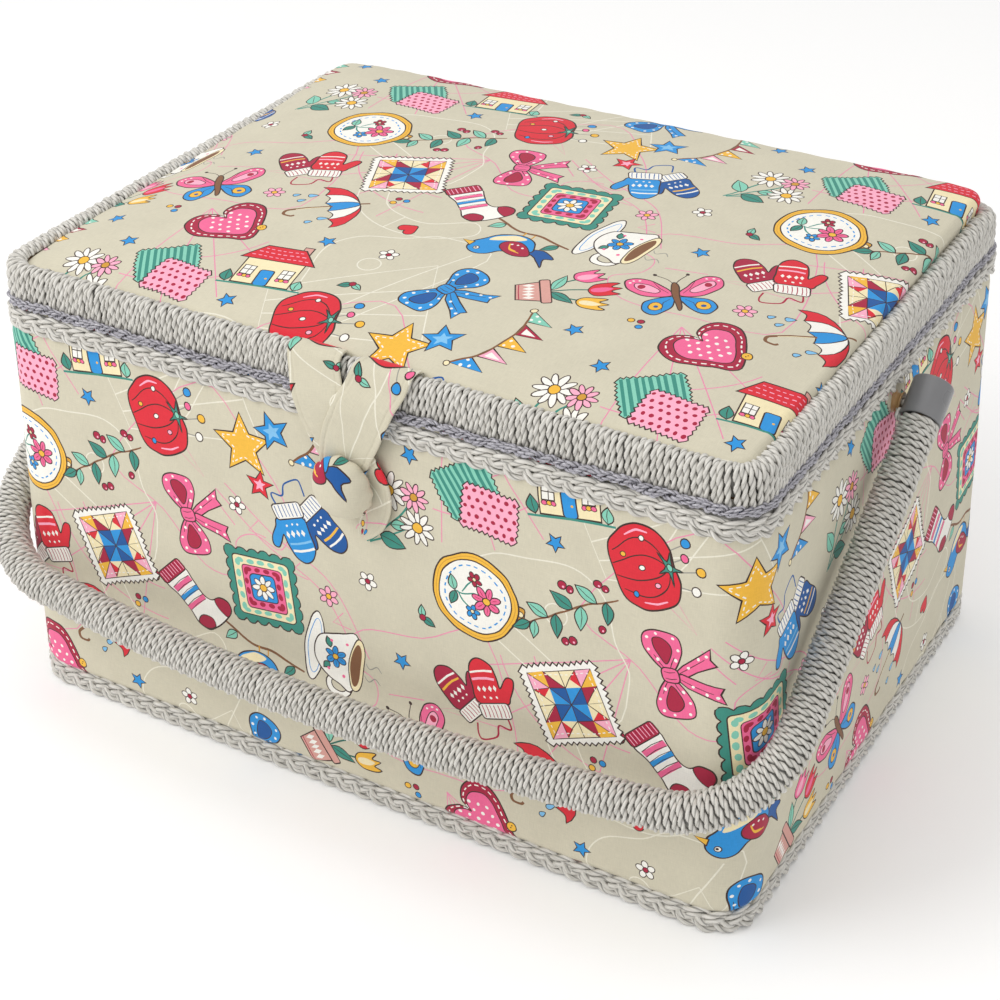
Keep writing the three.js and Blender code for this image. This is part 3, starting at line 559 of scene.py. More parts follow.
def m_house():
    a = Art()
    a.shape(rect(7, 6, 11, 17), "rose", 0.55)
    a.shape(rect(-13, -15, 13, 4), "cream", 0.65)
    a.shape(np.array([(-17, 3.4), (17, 3.4), (9, 14.4), (-9, 14.4)]), "red", 0.65)
    for y in (6.2, 9, 11.8):
        w = 17 - (y - 3.4) * 0.727
        a.dashes([(-w + 1.5, y), (0, y), (w - 1.5, y)], "blush", 0.5, 1.6, 1.2)
    a.shape(rrect(-3.2, -15, 3.2, -4, 1.2, 3), "azure", 0.55)
    a.fill(ell(1.6, -9.6, 0.6, n=8), "mustard")
    for x in (-8.6, 8.6):
        a.shape(rect(x - 2.7, -8.6, x + 2.7, -2.4), "white", 0.5)
        a.line([(x, -8.6), (x, -2.4)], 0.4, "ink", 0)
        a.line([(x - 2.7, -5.5), (x + 2.7, -5.5)], 0.4, "ink", 0)
        for d in (-2, 0, 2):
            a.shape(ell(x + d, -10, 1.15, n=8), ("pink", "mustard", "pink")[(d + 2) // 2], 0.34)
    a.line([(-19, -15.6), (0, -15.2), (19, -15.6)], 0.9, "teal", 0)
    leaf(a, -15.6, -15, 8, 96, "teal", 0.36)
    leaf(a, 16, -15, 7, 84, "mint", 0.38)
    return a, 20


def m_cottonpatch():
    """Two overlapping swatches with pinked edges, spots on one and stripes on the other."""
    a = Art()

    def pinked(hx, hy, t=1.1, n=2.4):
        out = []
        for (x0, y0), (x1, y1) in (((-hx, -hy), (hx, -hy)), ((hx, -hy), (hx, hy)), ((hx, hy), (-hx, hy)), ((-hx, hy), (-hx, -hy))):
            ln = math.hypot(x1 - x0, y1 - y0)
            k = max(3, int(ln / n))
            nx, ny = (y1 - y0) / ln, -(x1 - x0) / ln
            for i in range(k):
                out.append((x0 + (x1 - x0) * i / k, y0 + (y1 - y0) * i / k))
                out.append((x0 + (x1 - x0) * (i + 0.5) / k + nx * t, y0 + (y1 - y0) * (i + 0.5) / k + ny * t))
        return np.array(out)
    b = Art().shape(pinked(13, 10), "mint", 0.55)
    for i in range(-4, 5):
        b.fill(rect(i * 2.9 - 0.75, -10, i * 2.9 + 0.75, 10), "teal")
    a.add(b, -4, 5, 24)
    c = Art().shape(pinked(12, 9.4), "blush", 0.55)
    for iy in range(-2, 3):
        for ix in range(-3, 4):
            x, y = ix * 3.6 + (1.8 if iy % 2 else 0), iy * 3.7
            if abs(x) < 11:
                c.fill(ell(x, y, 0.95, n=9), "crimson")
    a.add(c, 5, -5, -14)
    return a, 19.5


MOTIFS = (m_hoop, m_quilt, m_heart, m_bow, m_mittens, m_pincushion, m_daisies, m_sprig, m_tulips, m_bunting, m_teacup, m_butterfly, m_bird,
          m_granny, m_stars, m_stocking, m_umbrella, m_house, m_cottonpatch)

SWAPS = {
    m_bow: [{}, {"azure": "pink", "deep": "crimson"}],
    m_mittens: [{}, {"red": "azure", "crimson": "deep", "blush": "sky"}],
    m_heart: [{}, {"crimson": "deep", "pink": "azure"}],
    m_quilt: [{}, {"azure": "mustard", "deep": "red", "crimson": "teal", "red": "mint", "mustard": "azure"}],
    m_stars: [{}, {"mustard": "pink", "azure": "mustard", "sky": "cream"}],
    m_butterfly: [{}, {"pink": "mustard", "blush": "cream", "azure": "crimson", "deep": "wine"}],
    m_cottonpatch: [{}, {"mint": "sky", "teal": "azure", "blush": "cream", "crimson": "red"}],
}


def filler(kind):
    a = Art()
    if kind == 0:
        flower(a, 0, 0, 4.6, 6, "blush", "mustard", 0, 0.42, None)
    elif kind == 1:
        a.shape(heart_outline(0.28, 3), "red", 0.5)
    elif kind == 2:
        a.shape(star_outline(4.2), "azure", 0.5)
    elif kind == 3:
        leaf(a, 0, 0, 6.4, 30, "teal", 0.3)
        leaf(a, 0, 0, 6.0, 150, "mint", 0.3)
        a.shape(ell(0, 0, 1.5, n=10), "crimson", 0.42)
    elif kind == 4:
        flower(a, 0, 0, 4.2, 5, "white", "crimson", 0, 0.42, None)
    else:
        for x, y, ink in ((-3, 0, "mustard"), (0, 2.8, "crimson"), (3, 0, "azure")):
            a.shape(ell(x, y, 1.5, n=10), ink, 0.42)
    return a, 5.5


def sketch(kind):
    """Thin background drawing of paper-pattern pieces."""
    out = []
    if kind == 0:      # bodice piece with a dart
        out.append((spl([(-34, -40), (-36, 0), (-30, 26), (-14, 36), (-6, 24), (6, 22), (16, 34), (30, 22), (30, -8), (34, -40)], 5), True))
        out.append((np.array([(-8, -40), (-3, -8), (2, -40)], float), False))
        out.append((np.array([(0, -2), (0, 16)], float), False))
    elif kind == 1:    # sleeve piece
        out.append((spl([(-40, -24), (-36, 2), (-22, 16), (-6, 28), (10, 27), (24, 14), (38, 4), (40, -24)], 5), True))
        out.append((np.array([(-38, -16), (38, -16)], float), False))
        out.append((ell(0, 4, 5, n=18), True))
    elif kind == 2:    # fan of seam lines with tick marks
        for i in range(4):
            g = math.radians(12 + 19 * i)
            out.append((np.array([(-30, -30), (-30 + 74 * math.cos(g), -30 + 74 * math.sin(g))]), False))
        out.append((ell(-30, -30, 60, 60, 0, 22, 8, 82), False))
        out.append((ell(-30, -30, 44, 44, 0, 18, 8, 82), False))
    elif kind == 3:    # skirt gores
        out.append((np.array([(-30, -34), (-12, 34), (12, 34), (30, -34)], float), True))
        out.append((np.array([(-10, -34), (-4, 34)], float), False))
        out.append((np.array([(10, -34), (4, 34)], float), False))
        out.append((ell(0, 6, 3, n=14), True))
    elif kind == 4:    # large curve with notches
        out.append((spl([(-44, -20), (-20, -4), (4, 18), (40, 24)], 8, False), False))
        out.append((spl([(-42, -26), (-16, -10), (8, 12), (42, 18)], 8, False), False))
        for x, y in ((-26, -9), (-6, 6), (18, 19)):
            out.append((np.array([(x, y), (x + 4, y - 7), (x + 8, y + 1)], float), False))
    else:              # collar
        out.append((spl([(-36, 0), (-22, 16), (0, 22), (22, 16), (36, 0), (28, -8), (14, 6), (0, 9), (-14, 6), (-28, -8)], 5), True))
        out.append((np.array([(-2, 9), (-2, 22)], float), False))
        out.append((np.array([(-28, -20), (28, -20)], float), False))
        out.append((ell(20, -20, 3.4, n=14), True))
    return out


# ---------------------------------------------------------------- one repeat of the cloth
TILE_W, TILE_H = 228.0, 198.0


def layout(seed=11, relax=900):
    """Places of the motifs in one repeat, pushed apart until they sit evenly. The repeat joins up with itself on all sides."""
    rng = np.random.default_rng(seed)
    todo = []
    for f in MOTIFS:
        art, r = f()
        todo.append((f, {}, r))
    for f, sw in list(SWAPS.items()):
        todo.append((f, sw[1], f()[1]))
    todo = todo[:21]
    order = rng.permutation(len(todo))
    todo = [todo[i] for i in order]
    n = len(todo)
    rad = np.array([t[2] for t in todo], float)
    pos = rng.random((n, 2)) * (TILE_W, TILE_H)
    size = np.array([TILE_W, TILE_H])
    for k in range(relax):
        d = pos[:, None] - pos[None]
        d -= size * np.round(d / size)
        ln = np.linalg.norm(d, axis=2) + np.eye(n) * 1e9
        need = (rad[:, None] + rad[None]) * 1.10
        push = np.maximum(0, need - ln)
        step = (d / ln[..., None] * push[..., None]).sum(1) * 0.22
        pos = (pos + step) % size
    rot = rng.random(n) * 360
    placed = [(pos[i], rot[i], todo[i]) for i in range(n)]
    # small flowers, hearts and stars in what is left
    gaps = []
    for _ in range(4000):
        q = rng.random(2) * size
        d = pos - q
        d -= size * np.round(d / size)
        if (np.linalg.norm(d, axis=1) - rad).min() < 7.5:
            continue
        if gaps:
            e = np.array([g[0] for g in gaps]) - q
            e -= size * np.round(e / size)
            if np.linalg.norm(e, axis=1).min() < 24:
                continue
        gaps.append((q, rng.random() * 360, int(rng.integers(0, 6))))
    return placed, gaps, rng


def tile_layers():
    placed, gaps, rng = layout()
    layers = []
    for i in range(9):
        kind = i % 6
        ink, w = (("linepink", 0.5), ("linewhite", 0.62))[i % 2]
        c = rng.random(2) * (TILE_W, TILE_H)
        g = rng.random() * 360
        for p, closed in sketch(kind):
            q = turn(p, g) + c
            if closed:
                q = np.vstack([q, q[:1]])
            layers.append((ribbon(q, w), ink, True))
    for q, g, kind in gaps:
        for p, c in filler(kind)[0].layers:
            layers.append((turn(p, g) + q, c, False))
    for q, g, (f, sw, r) in placed:
        art = f()[0].swap(**sw) if sw else f()[0]
        ph = rng.random(4) * 6.28
        for p, c in art.layers:
            w = p + 0.28 * np.stack([np.sin(0.33 * p[:, 1] + ph[0]) + 0.6 * np.sin(0.9 * p[:, 0] + ph[1]),
                                     np.sin(0.31 * p[:, 0] + ph[2]) + 0.6 * np.sin(0.8 * p[:, 1] + ph[3])], 1)
            layers.append((turn(w, g) + q, c, False))
    # copies over the borders, so that one repeat runs into the next
    out = []
    for p, c, thin in layers:
        lo, hi = p.min(0), p.max(0)
        for i in (-1, 0, 1):
            for j in (-1, 0, 1):
                o = np.array([i * TILE_W, j * TILE_H])
                if (lo + o)[0] < TILE_W and (hi + o)[0] > 0 and (lo + o)[1] < TILE_H and (hi + o)[1] > 0:
                    out.append((p + o, c, thin))
    return out


def tile_mesh():
    """The repeat as triangles: vertices (mm), faces and the ink of each face. Crisp edges, because every outline is an edge of the mesh."""
    layers = tile_layers()
    pts, edges = [], []
    step = 5.5
    nx, ny = int(round(TILE_W / step)), int(round(TILE_H / step))
    gx, gy = np.linspace(0, TILE_W, nx + 1), np.linspace(0, TILE_H, ny + 1)
    for j in range(ny + 1):
        for i in range(nx + 1):
            pts.append((gx[i], gy[j]))
    idx = lambda i, j: j * (nx + 1) + i
    for i in range(nx):
        edges += [(idx(i, 0), idx(i + 1, 0)), (idx(i, ny), idx(i + 1, ny))]
    for j in range(ny):
        edges += [(idx(0, j), idx(0, j + 1)), (idx(nx, j), idx(nx, j + 1))]
    for p, c, thin in layers:
        k = len(pts)
        pts += [tuple(q) for q in p]
        edges += [(k + i, k + (i + 1) % len(p)) for i in range(len(p))]
    v, e, f, _, _, _ = delaunay_2d_cdt([Vector(q) for q in pts], edges, [], 0, 1e-5, False)
    v = np.array([(q.x, q.y) for q in v])
    tri = np.array([t for t in f if len(t) == 3], int)
    mid = v[tri].mean(1)
    keep = (mid[:, 0] > 0) & (mid[:, 0] < TILE_W) & (mid[:, 1] > 0) & (mid[:, 1] < TILE_H)
    tri, mid = tri[keep], mid[keep]
    col = np.full(len(tri), INKS.index("base"), int)
    order = np.argsort(mid[:, 0])
    xs = mid[order, 0]
    for p, c, thin in layers:
        lo, hi = p.min(0), p.max(0)
        a, b = np.searchsorted(xs, lo[0]), np.searchsorted(xs, hi[0])
        cand = order[a:b]
        cand = cand[(mid[cand, 1] > lo[1]) & (mid[cand, 1] < hi[1])]
        if len(cand):
            q = mid[cand]
            x, y = q[:, 0:1], q[:, 1:2]
            x0, y0 = p[:, 0][None], p[:, 1][None]
            x1, y1 = np.roll(p[:, 0], -1)[None], np.roll(p[:, 1], -1)[None]
            left = (x1 - x0) * (y - y0) - (x - x0) * (y1 - y0)
            wind = ((y0 <= y) & (y1 > y) & (left > 0)).sum(1) - ((y0 > y) & (y1 <= y) & (left < 0)).sum(1)
            col[cand[wind != 0]] = INKS.index(c)
    used, tri = np.unique(tri, return_inverse=True)
    return v[used], tri.reshape(-1, 3), col


TILE = tile_mesh()


def clip(v, f, c, n, d):
    """Keeps the side of the line n.x <= d, cutting the triangles that cross it."""
    s = v @ n - d
    s[np.abs(s) < 1e-6] = 0
    side = s[f]
    inside = (side <= 0).all(1)
    cross = ~inside & (side < 0).any(1)
    new_f, new_c = [f[inside]], [c[inside]]
    extra, cache, add_f, add_c = [], {}, [], []
    base = len(v)
    for t, k in zip(f[cross], c[cross]):
        poly = []
        for i in range(3):
            a, b = int(t[i]), int(t[(i + 1) % 3])
            if s[a] <= 0:
                poly.append(a)
            if (s[a] < 0 < s[b]) or (s[b] < 0 < s[a]):
                key = (min(a, b), max(a, b))
                if key not in cache:
                    q = s[a] / (s[a] - s[b])
                    cache[key] = base + len(extra)
                    extra.append(v[a] + (v[b] - v[a]) * q)
                poly.append(cache[key])
        for i in range(1, len(poly) - 1):
            add_f.append((poly[0], poly[i], poly[i + 1]))
            add_c.append(k)
    if extra:
        v = np.vstack([v, np.array(extra)])
        new_f.append(np.array(add_f, int).reshape(-1, 3))
        new_c.append(np.array(add_c, int))
    f, c = np.vstack(new_f), np.concatenate(new_c)
    used, f = np.unique(f, return_inverse=True)
    return v[used], f.reshape(-1, 3), c


def cloth(outline, shift=(0, 0), angle=0.0):
    """A convex piece of the print with that outline (mm, anticlockwise), cut from the bolt at shift and angle."""
    outline = np.asarray(outline, float)
    tv, tf, tc = TILE
    ca, sa = math.cos(math.radians(angle)), math.sin(math.radians(angle))
    rot = np.array([[ca, sa], [-sa, ca]])
    local = (outline - np.array(shift)) @ rot.T          # outline seen in the bolt's own axes
    i0, j0 = np.floor(local.min(0) / (TILE_W, TILE_H)).astype(int)
    i1, j1 = np.floor(local.max(0) / (TILE_W, TILE_H)).astype(int)
    vs, fs, cs, n = [], [], [], 0
    lo, hi = local.min(0) - 1, local.max(0) + 1
    for i in range(i0, i1 + 1):
        for j in range(j0, j1 + 1):
            v = tv + (i * TILE_W, j * TILE_H)
            tri = v[tf]
            near = (tri.max(1) > lo).all(1) & (tri.min(1) < hi).all(1)
            f = tf[near]
            used, f = np.unique(f, return_inverse=True)
            vs.append(v[used]); fs.append(f.reshape(-1, 3) + n); cs.append(tc[near])
            n += len(used)
    v, f, c = np.vstack(vs), np.vstack(fs), np.concatenate(cs)
    key = np.round(v / 0.002).astype(np.int64)
    _, first, inv = np.unique(key, axis=0, return_index=True, return_inverse=True)
    v, f = v[first], inv.reshape(-1)[f]
    good = (f[:, 0] != f[:, 1]) & (f[:, 1] != f[:, 2]) & (f[:, 0] != f[:, 2])
    f, c = f[good], c[good]
    v = v @ rot + np.array(shift)
    m = len(outline)
    for k in range(m):
        a, b = outline[k], outline[(k + 1) % m]
        e = (b - a) / np.linalg.norm(b - a)
        nrm = np.array([e[1], -e[0]])
        v, f, c = clip(v, f, c, nrm, float(nrm @ a))
    return v, f, c


def sliced(flat, across=(), along=()):
    """The same cloth with edges added on the lines x = across and y = along, so that it bends smoothly there."""
    v, f, c = flat
    for axis, lines in ((0, across), (1, along)):
        n = np.array([1.0, 0.0]) if axis == 0 else np.array([0.0, 1.0])

        def parts(v, f, c, rest):
            if len(f) == 0:
                return []
            lo, hi = (v @ n).min() + 1e-6, (v @ n).max() - 1e-6
            rest = [d for d in rest if lo < d < hi]
            if not rest:
                return [(v, f, c)]
            k = len(rest) // 2
            d = float(rest[k])
            return parts(*clip(v, f, c, n, d), rest[:k]) + parts(*clip(v, f, c, -n, -d), rest[k + 1:])

        done = parts(v, f, c, sorted(lines))
        start = np.cumsum([0] + [len(q[0]) for q in done])
        v, f, c = np.vstack([q[0] for q in done]), np.vstack([q[1] + k for q, k in zip(done, start)]), np.concatenate([q[2] for q in done])
        key = np.round(v / 0.002).astype(np.int64)
        _, first, inv = np.unique(key, axis=0, return_index=True, return_inverse=True)
        v, f = v[first], inv.reshape(-1)[f]
        good = (f[:, 0] != f[:, 1]) & (f[:, 1] != f[:, 2]) & (f[:, 0] != f[:, 2])
        f, c = f[good], c[good]
    return v, f, c


# ---------------------------------------------------------------- meshes
def mesh_object(name, v, f, smooth=True):
    """v in millimetres, f triangles or quads (array) or a list of polygons."""
    me = bpy.data.meshes.new(name)
    v = np.asarray(v, float) * MM
    if isinstance(f, np.ndarray):
        me.vertices.add(len(v))
        me.vertices.foreach_set("co", v.astype(np.float32).ravel())
        k = f.shape[1]
        me.loops.add(f.size)
        me.loops.foreach_set("vertex_index", f.astype(np.int32).ravel())
        me.polygons.add(len(f))
        me.polygons.foreach_set("loop_start", (np.arange(len(f)) * k).astype(np.int32))
        me.update(calc_edges=True)
    else:
        me.from_pydata([tuple(p) for p in v], [], f)
    me.polygons.foreach_set("use_smooth", np.full(len(me.polygons), smooth))
    me.update()
    ob = bpy.data.objects.new(name, me)
    bpy.context.scene.collection.objects.link(ob)
    return ob


def vector_attr(ob, name, values):
    a = ob.data.attributes.new(name, "FLOAT_VECTOR", "POINT")
    a.data.foreach_set("vector", np.asarray(values, np.float32).ravel())


def to_linear(rgb):
    c = np.asarray(rgb, float) / 255
    return np.where(c <= 0.04045, c / 12.92, ((c + 0.055) / 1.055) ** 2.4)


def print_piece(name, flat, place, body=None, normals=True, shift_uv=(0, 0)):
    """A piece of printed cotton. flat is cloth()'s result and place maps (n, 2) flat points to (n, 3) points in mm."""
    v2, f, c = flat
    p = place(v2)
    h = 0.25
    du = place(v2 + (h, 0)) - place(v2 - (h, 0))
    dv = place(v2 + (0, h)) - place(v2 - (0, h))
    n = np.cross(du, dv)
    n /= np.maximum(np.linalg.norm(n, axis=1), 1e-12)[:, None]
    ob = mesh_object(name, p, f)
    me = ob.data
    rgb = np.array([to_linear(INK[k]) for k in INKS])
    col = np.ones((len(f), 3, 4), np.float32)
    col[:, :, :3] = rgb[c][:, None]
    a = me.color_attributes.new("print", "FLOAT_COLOR", "CORNER")
    a.data.foreach_set("color", col.ravel())
    me.color_attributes.active_color = a
    vector_attr(ob, "cloth_mm", np.column_stack([v2, np.zeros(len(v2))]))
    if normals:
        me.normals_split_custom_set_from_vertices([tuple(q) for q in n])
    if body:
        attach(ob, body)
    return ob


# ---------------------------------------------------------------- materials
def material(name):
    m = bpy.data.materials.new(name)
    m.use_nodes = True
    nt = m.node_tree
    bsdf = nt.nodes["Principled BSDF"]
    return m, nt, bsdf


def node(nt, kind, **props):
    n = nt.nodes.new(kind)
    for k, val in props.items():
        if k.startswith("in_"):
            n.inputs[k[3:].replace("_", " ")].default_value = val
        else:
            setattr(n, k, val)
    return n


def cotton_material():
    m, nt, b = material("printed_cotton")
    col = node(nt, "ShaderNodeAttribute", attribute_name="print")
    uv = node(nt, "ShaderNodeAttribute", attribute_name="cloth_mm")
    # plain weave: two crossed sets of yarns at 0.42 mm, with thick and thin yarns
    sep = node(nt, "ShaderNodeSeparateXYZ")
    nt.links.new(uv.outputs["Vector"], sep.inputs[0])
    heights = []
    for axis, other in (("X", "Y"), ("Y", "X")):
        k = node(nt, "ShaderNodeMath", operation="MULTIPLY"); k.inputs[1].default_value = 2 * math.pi / 0.46
        nt.links.new(sep.outputs[axis], k.inputs[0])
        s = node(nt, "ShaderNodeMath", operation="SINE")
        nt.links.new(k.outputs[0], s.inputs[0])
        heights.append(s)
    weave = node(nt, "ShaderNodeMath", operation="MULTIPLY")
    nt.links.new(heights[0].outputs[0], weave.inputs[0])
    nt.links.new(heights[1].outputs[0], weave.inputs[1])
    slub = node(nt, "ShaderNodeMapping"); slub.inputs["Scale"].default_value = (0.25, 3.4, 1)
    nt.links.new(uv.outputs["Vector"], slub.inputs["Vector"])
    slub2 = node(nt, "ShaderNodeMapping"); slub2.inputs["Scale"].default_value = (3.4, 0.25, 1)
    nt.links.new(uv.outputs["Vector"], slub2.inputs["Vector"])
    n1 = node(nt, "ShaderNodeTexNoise", in_Scale=1.0, in_Detail=2.0)
    n2 = node(nt, "ShaderNodeTexNoise", in_Scale=1.0, in_Detail=2.0)
    nt.links.new(slub.outputs[0], n1.inputs["Vector"])
    nt.links.new(slub2.outputs[0], n2.inputs["Vector"])
    both = node(nt, "ShaderNodeMath", operation="ADD")
    nt.links.new(n1.outputs["Fac"], both.inputs[0])
    nt.links.new(n2.outputs["Fac"], both.inputs[1])
    # colour: ink broken a little by the yarns and by a soft cloudiness
    cloud = node(nt, "ShaderNodeTexNoise", in_Scale=0.045, in_Detail=3.0)
    nt.links.new(uv.outputs["Vector"], cloud.inputs["Vector"])
    r1 = node(nt, "ShaderNodeMapRange"); r1.inputs["From Min"].default_value = 0.55; r1.inputs["From Max"].default_value = 1.45
    r1.inputs["To Min"].default_value = 0.90; r1.inputs["To Max"].default_value = 1.08
    nt.links.new(both.outputs[0], r1.inputs["Value"])
    r2 = node(nt, "ShaderNodeMapRange"); r2.inputs["From Min"].default_value = 0.3; r2.inputs["From Max"].default_value = 0.7
    r2.inputs["To Min"].default_value = 0.97; r2.inputs["To Max"].default_value = 1.03
    nt.links.new(cloud.outputs["Fac"], r2.inputs["Value"])
    mul = node(nt, "ShaderNodeMath", operation="MULTIPLY")
    nt.links.new(r1.outputs[0], mul.inputs[0]); nt.links.new(r2.outputs[0], mul.inputs[1])
    hsv = node(nt, "ShaderNodeVectorMath", operation="SCALE")
    nt.links.new(col.outputs["Color"], hsv.inputs[0]); nt.links.new(mul.outputs[0], hsv.inputs["Scale"])
    nt.links.new(hsv.outputs[0], b.inputs["Base Color"])
    bump = node(nt, "ShaderNodeBump"); bump.inputs["Strength"].default_value = 0.35; bump.inputs["Distance"].default_value = 0.00008
    mix = node(nt, "ShaderNodeMath", operation="MULTIPLY_ADD"); mix.inputs[1].default_value = 0.35
    nt.links.new(weave.outputs[0], mix.inputs[0]); nt.links.new(both.outputs[0], mix.inputs[2])
    nt.links.new(mix.outputs[0], bump.inputs["Height"])
    nt.links.new(bump.outputs[0], b.inputs["Normal"])
    b.inputs["Roughness"].default_value = 0.86
    b.inputs["Sheen Weight"].default_value = 0.12
    b.inputs["Sheen Roughness"].default_value = 0.5
    b.inputs["Specular IOR Level"].default_value = 0.25
    return m


M_COTTON = cotton_material()


# ---------------------------------------------------------------- the body's plan
HX, HY, CORNER = 178.6, 132.4, 16.0
FX, FY = HX - CORNER, HY - CORNER
ARC = math.pi / 2 * CORNER
SIDE = [2 * FX, ARC, 2 * FY, ARC, 2 * FX, ARC, 2 * FY, ARC]
EDGE = np.concatenate([[0], np.cumsum(SIDE)])
AROUND = float(EDGE[-1])       # s runs along the front, right, back and left


def plan(s, inset=0.0):
    """Point and outward normal in plan at distance s round the cover, moved in by inset. s 0 is the front's left end."""
    s = np.mod(np.asarray(s, float), AROUND)
    inset = np.broadcast_to(np.asarray(inset, float), s.shape)
    k = np.clip(np.searchsorted(EDGE, s, side="right") - 1, 0, 7)
    t = s - EDGE[k]
    x, y, nx, ny = (np.zeros(s.shape) for _ in range(4))
    start = {0: (-FX, -HY, 1, 0), 2: (HX, -FY, 0, 1), 4: (FX, HY, -1, 0), 6: (-HX, FY, 0, -1)}
    for i, (x0, y0, dx, dy) in start.items():
        q = k == i
        x[q] = x0 + dx * t[q]; y[q] = y0 + dy * t[q]; nx[q] = dy; ny[q] = -dx
        x[q] -= nx[q] * inset[q]; y[q] -= ny[q] * inset[q]
    centre = {1: (FX, -FY, -90), 3: (FX, FY, 0), 5: (-FX, FY, 90), 7: (-FX, -FY, 180)}
    for i, (cx, cy, a0) in centre.items():
        q = k == i
        a = np.radians(a0 + 90 * t[q] / ARC)
        nx[q] = np.cos(a); ny[q] = np.sin(a)
        r = CORNER - inset[q]
        x[q] = cx + r * nx[q]; y[q] = cy + r * ny[q]
    return x, y, nx, ny


def bulge(s, z):
    """How far the wadding pushes the cover out, in mm."""
    s = np.mod(s, AROUND)
    out = np.zeros(np.shape(s))
    for i, length in ((0, 2 * FX), (2, 2 * FY), (4, 2 * FX), (6, 2 * FY)):
        mid = (EDGE[i] + EDGE[i + 1]) / 2
        d = np.mod(s - mid + AROUND / 2, AROUND) - AROUND / 2
        q = np.clip(1 - np.abs(d / (length / 2 + 6)) ** 3.0, 0, 1)
        out = np.maximum(out, q)
    top, foot = np.clip((188.5 - z) / 8.0, 0, 1), np.clip((z - 8.5) / 6.0, 0, 1)
    up = top * top * (3 - 2 * top) * foot * foot * (3 - 2 * foot)
    lean = 0.95 + 2.0 * np.clip((180 - z) / 125, 0, 1)      # the wadding has settled, so the walls stand out lower down
    belly = 0.95 * out * np.clip(1 - np.abs((z - 92) / 88.0) ** 2.4, 0, 1)
    rip = 0.14 * np.sin(s * 0.061 + 1.3 * np.sin(z * 0.045)) + 0.10 * np.sin(s * 0.143 + z * 0.051 + 0.8) + 0.08 * np.sin(z * 0.11 - s * 0.037)
    near = np.exp(-((z - 184) / 9.0) ** 2) + np.exp(-((z - 13) / 8.0) ** 2)
    pucker = 0.20 * near * np.sin(s * 0.42 + 2.2 * np.sin(s * 0.031))
    return (lean + belly + rip + pucker) * up


V_TOP = 194.2                   # height of cloth on the outside before it turns over the boards


def cover_place(v2):
    s, v = v2[:, 0], v2[:, 1]
    z0, r = 1.2, 1.4
    a = np.clip((v - V_TOP) / r, 0, math.pi / 2)
    flat = np.clip(v - V_TOP - r * math.pi / 2, 0, 6.2)
    a2 = np.clip((v - V_TOP - r * math.pi / 2 - 6.2) / 1.0, 0, math.pi / 2)
    down = np.clip(v - V_TOP - r * math.pi / 2 - 6.2 - math.pi / 2, 0, None)
    inset = r * (1 - np.cos(a)) + flat + np.sin(a2)
    z = z0 + np.minimum(v, V_TOP) + r * np.sin(a) - (1 - np.cos(a2)) - down
    x, y, nx, ny = plan(s, inset)
    b = bulge(s, z) * (v <= V_TOP)
    return np.column_stack([x + nx * b, y + ny * b, z])


COVER_V = V_TOP + 1.4 * math.pi / 2 + 6.2 + math.pi / 2 + 11
cut = 9.0                       # the joins between the lengths of cloth sit this far past the corners
ranges = {"body_cover_front": (-ARC - cut, EDGE[2] + cut), "body_cover_right": (EDGE[2] + cut, EDGE[3] - cut),
          "body_cover_back": (EDGE[3] - cut, EDGE[6] + cut), "body_cover_left": (EDGE[6] + cut, AROUND - ARC - cut)}
for name, (s0, s1) in ranges.items():
    bends = np.concatenate([np.linspace(q, q + ARC, 9) for q in (-ARC, EDGE[1], EDGE[3], EDGE[5], EDGE[7])] + [np.arange(math.ceil(s0 / 14) * 14, s1, 14.0)])
    turn = V_TOP + 1.4 * math.pi / 2
    levels = [2.0, 4.5, 7.0, 9.0, 11.0, 13.5, *np.arange(22.0, 172.0, 10.0), 176.0, 180.0, 183.0, 185.5, 188.0, 190.0, *np.linspace(V_TOP, turn, 5), turn + 3,
              *np.linspace(turn + 6.2, turn + 6.2 + math.pi / 2, 4)]
    flat = sliced(cloth([(s0, 0), (s1, 0), (s1, COVER_V), (s0, COVER_V)], shift=(38, 120), angle=0), bends, levels)
    ob = print_piece(name, flat, cover_place, "box")
    ob.data.materials.append(M_COTTON)
    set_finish(ob, "printed_cotton")
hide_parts("body_cover", "body_wadding")


# ---------------------------------------------------------------- rope, braid and cord
def smooth(pts, n, closed=False):
    """n points evenly spaced along a Catmull-Rom curve through pts."""
    p = np.asarray(pts, float)
    ext = np.vstack([p[-1:], p, p[:2]]) if closed else np.vstack([2 * p[0] - p[1], p, 2 * p[-1] - p[-2]])
    t = np.linspace(0, 1, 24, endpoint=False)[:, None]
    out = []
    for i in range(len(p) if closed else len(p) - 1):
        a, b, c, d = ext[i:i + 4]
        out.append(0.5 * (2 * b + (c - a) * t + (2 * a - 5 * b + 4 * c - d) * t * t + (3 * b - a - 3 * c + d) * t ** 3))
    dense = np.vstack(out + [p[:1] if closed else p[-1:]])
    run = np.concatenate([[0], np.cumsum(np.linalg.norm(np.diff(dense, axis=0), axis=1))])
    at = np.linspace(0, run[-1], n + 1)[:-1] if closed else np.linspace(0, run[-1], n)
    return np.column_stack([np.interp(at, run, dense[:, k]) for k in range(p.shape[1])])


def unit(v):
    return v / np.maximum(np.linalg.norm(v, axis=-1, keepdims=True), 1e-12)


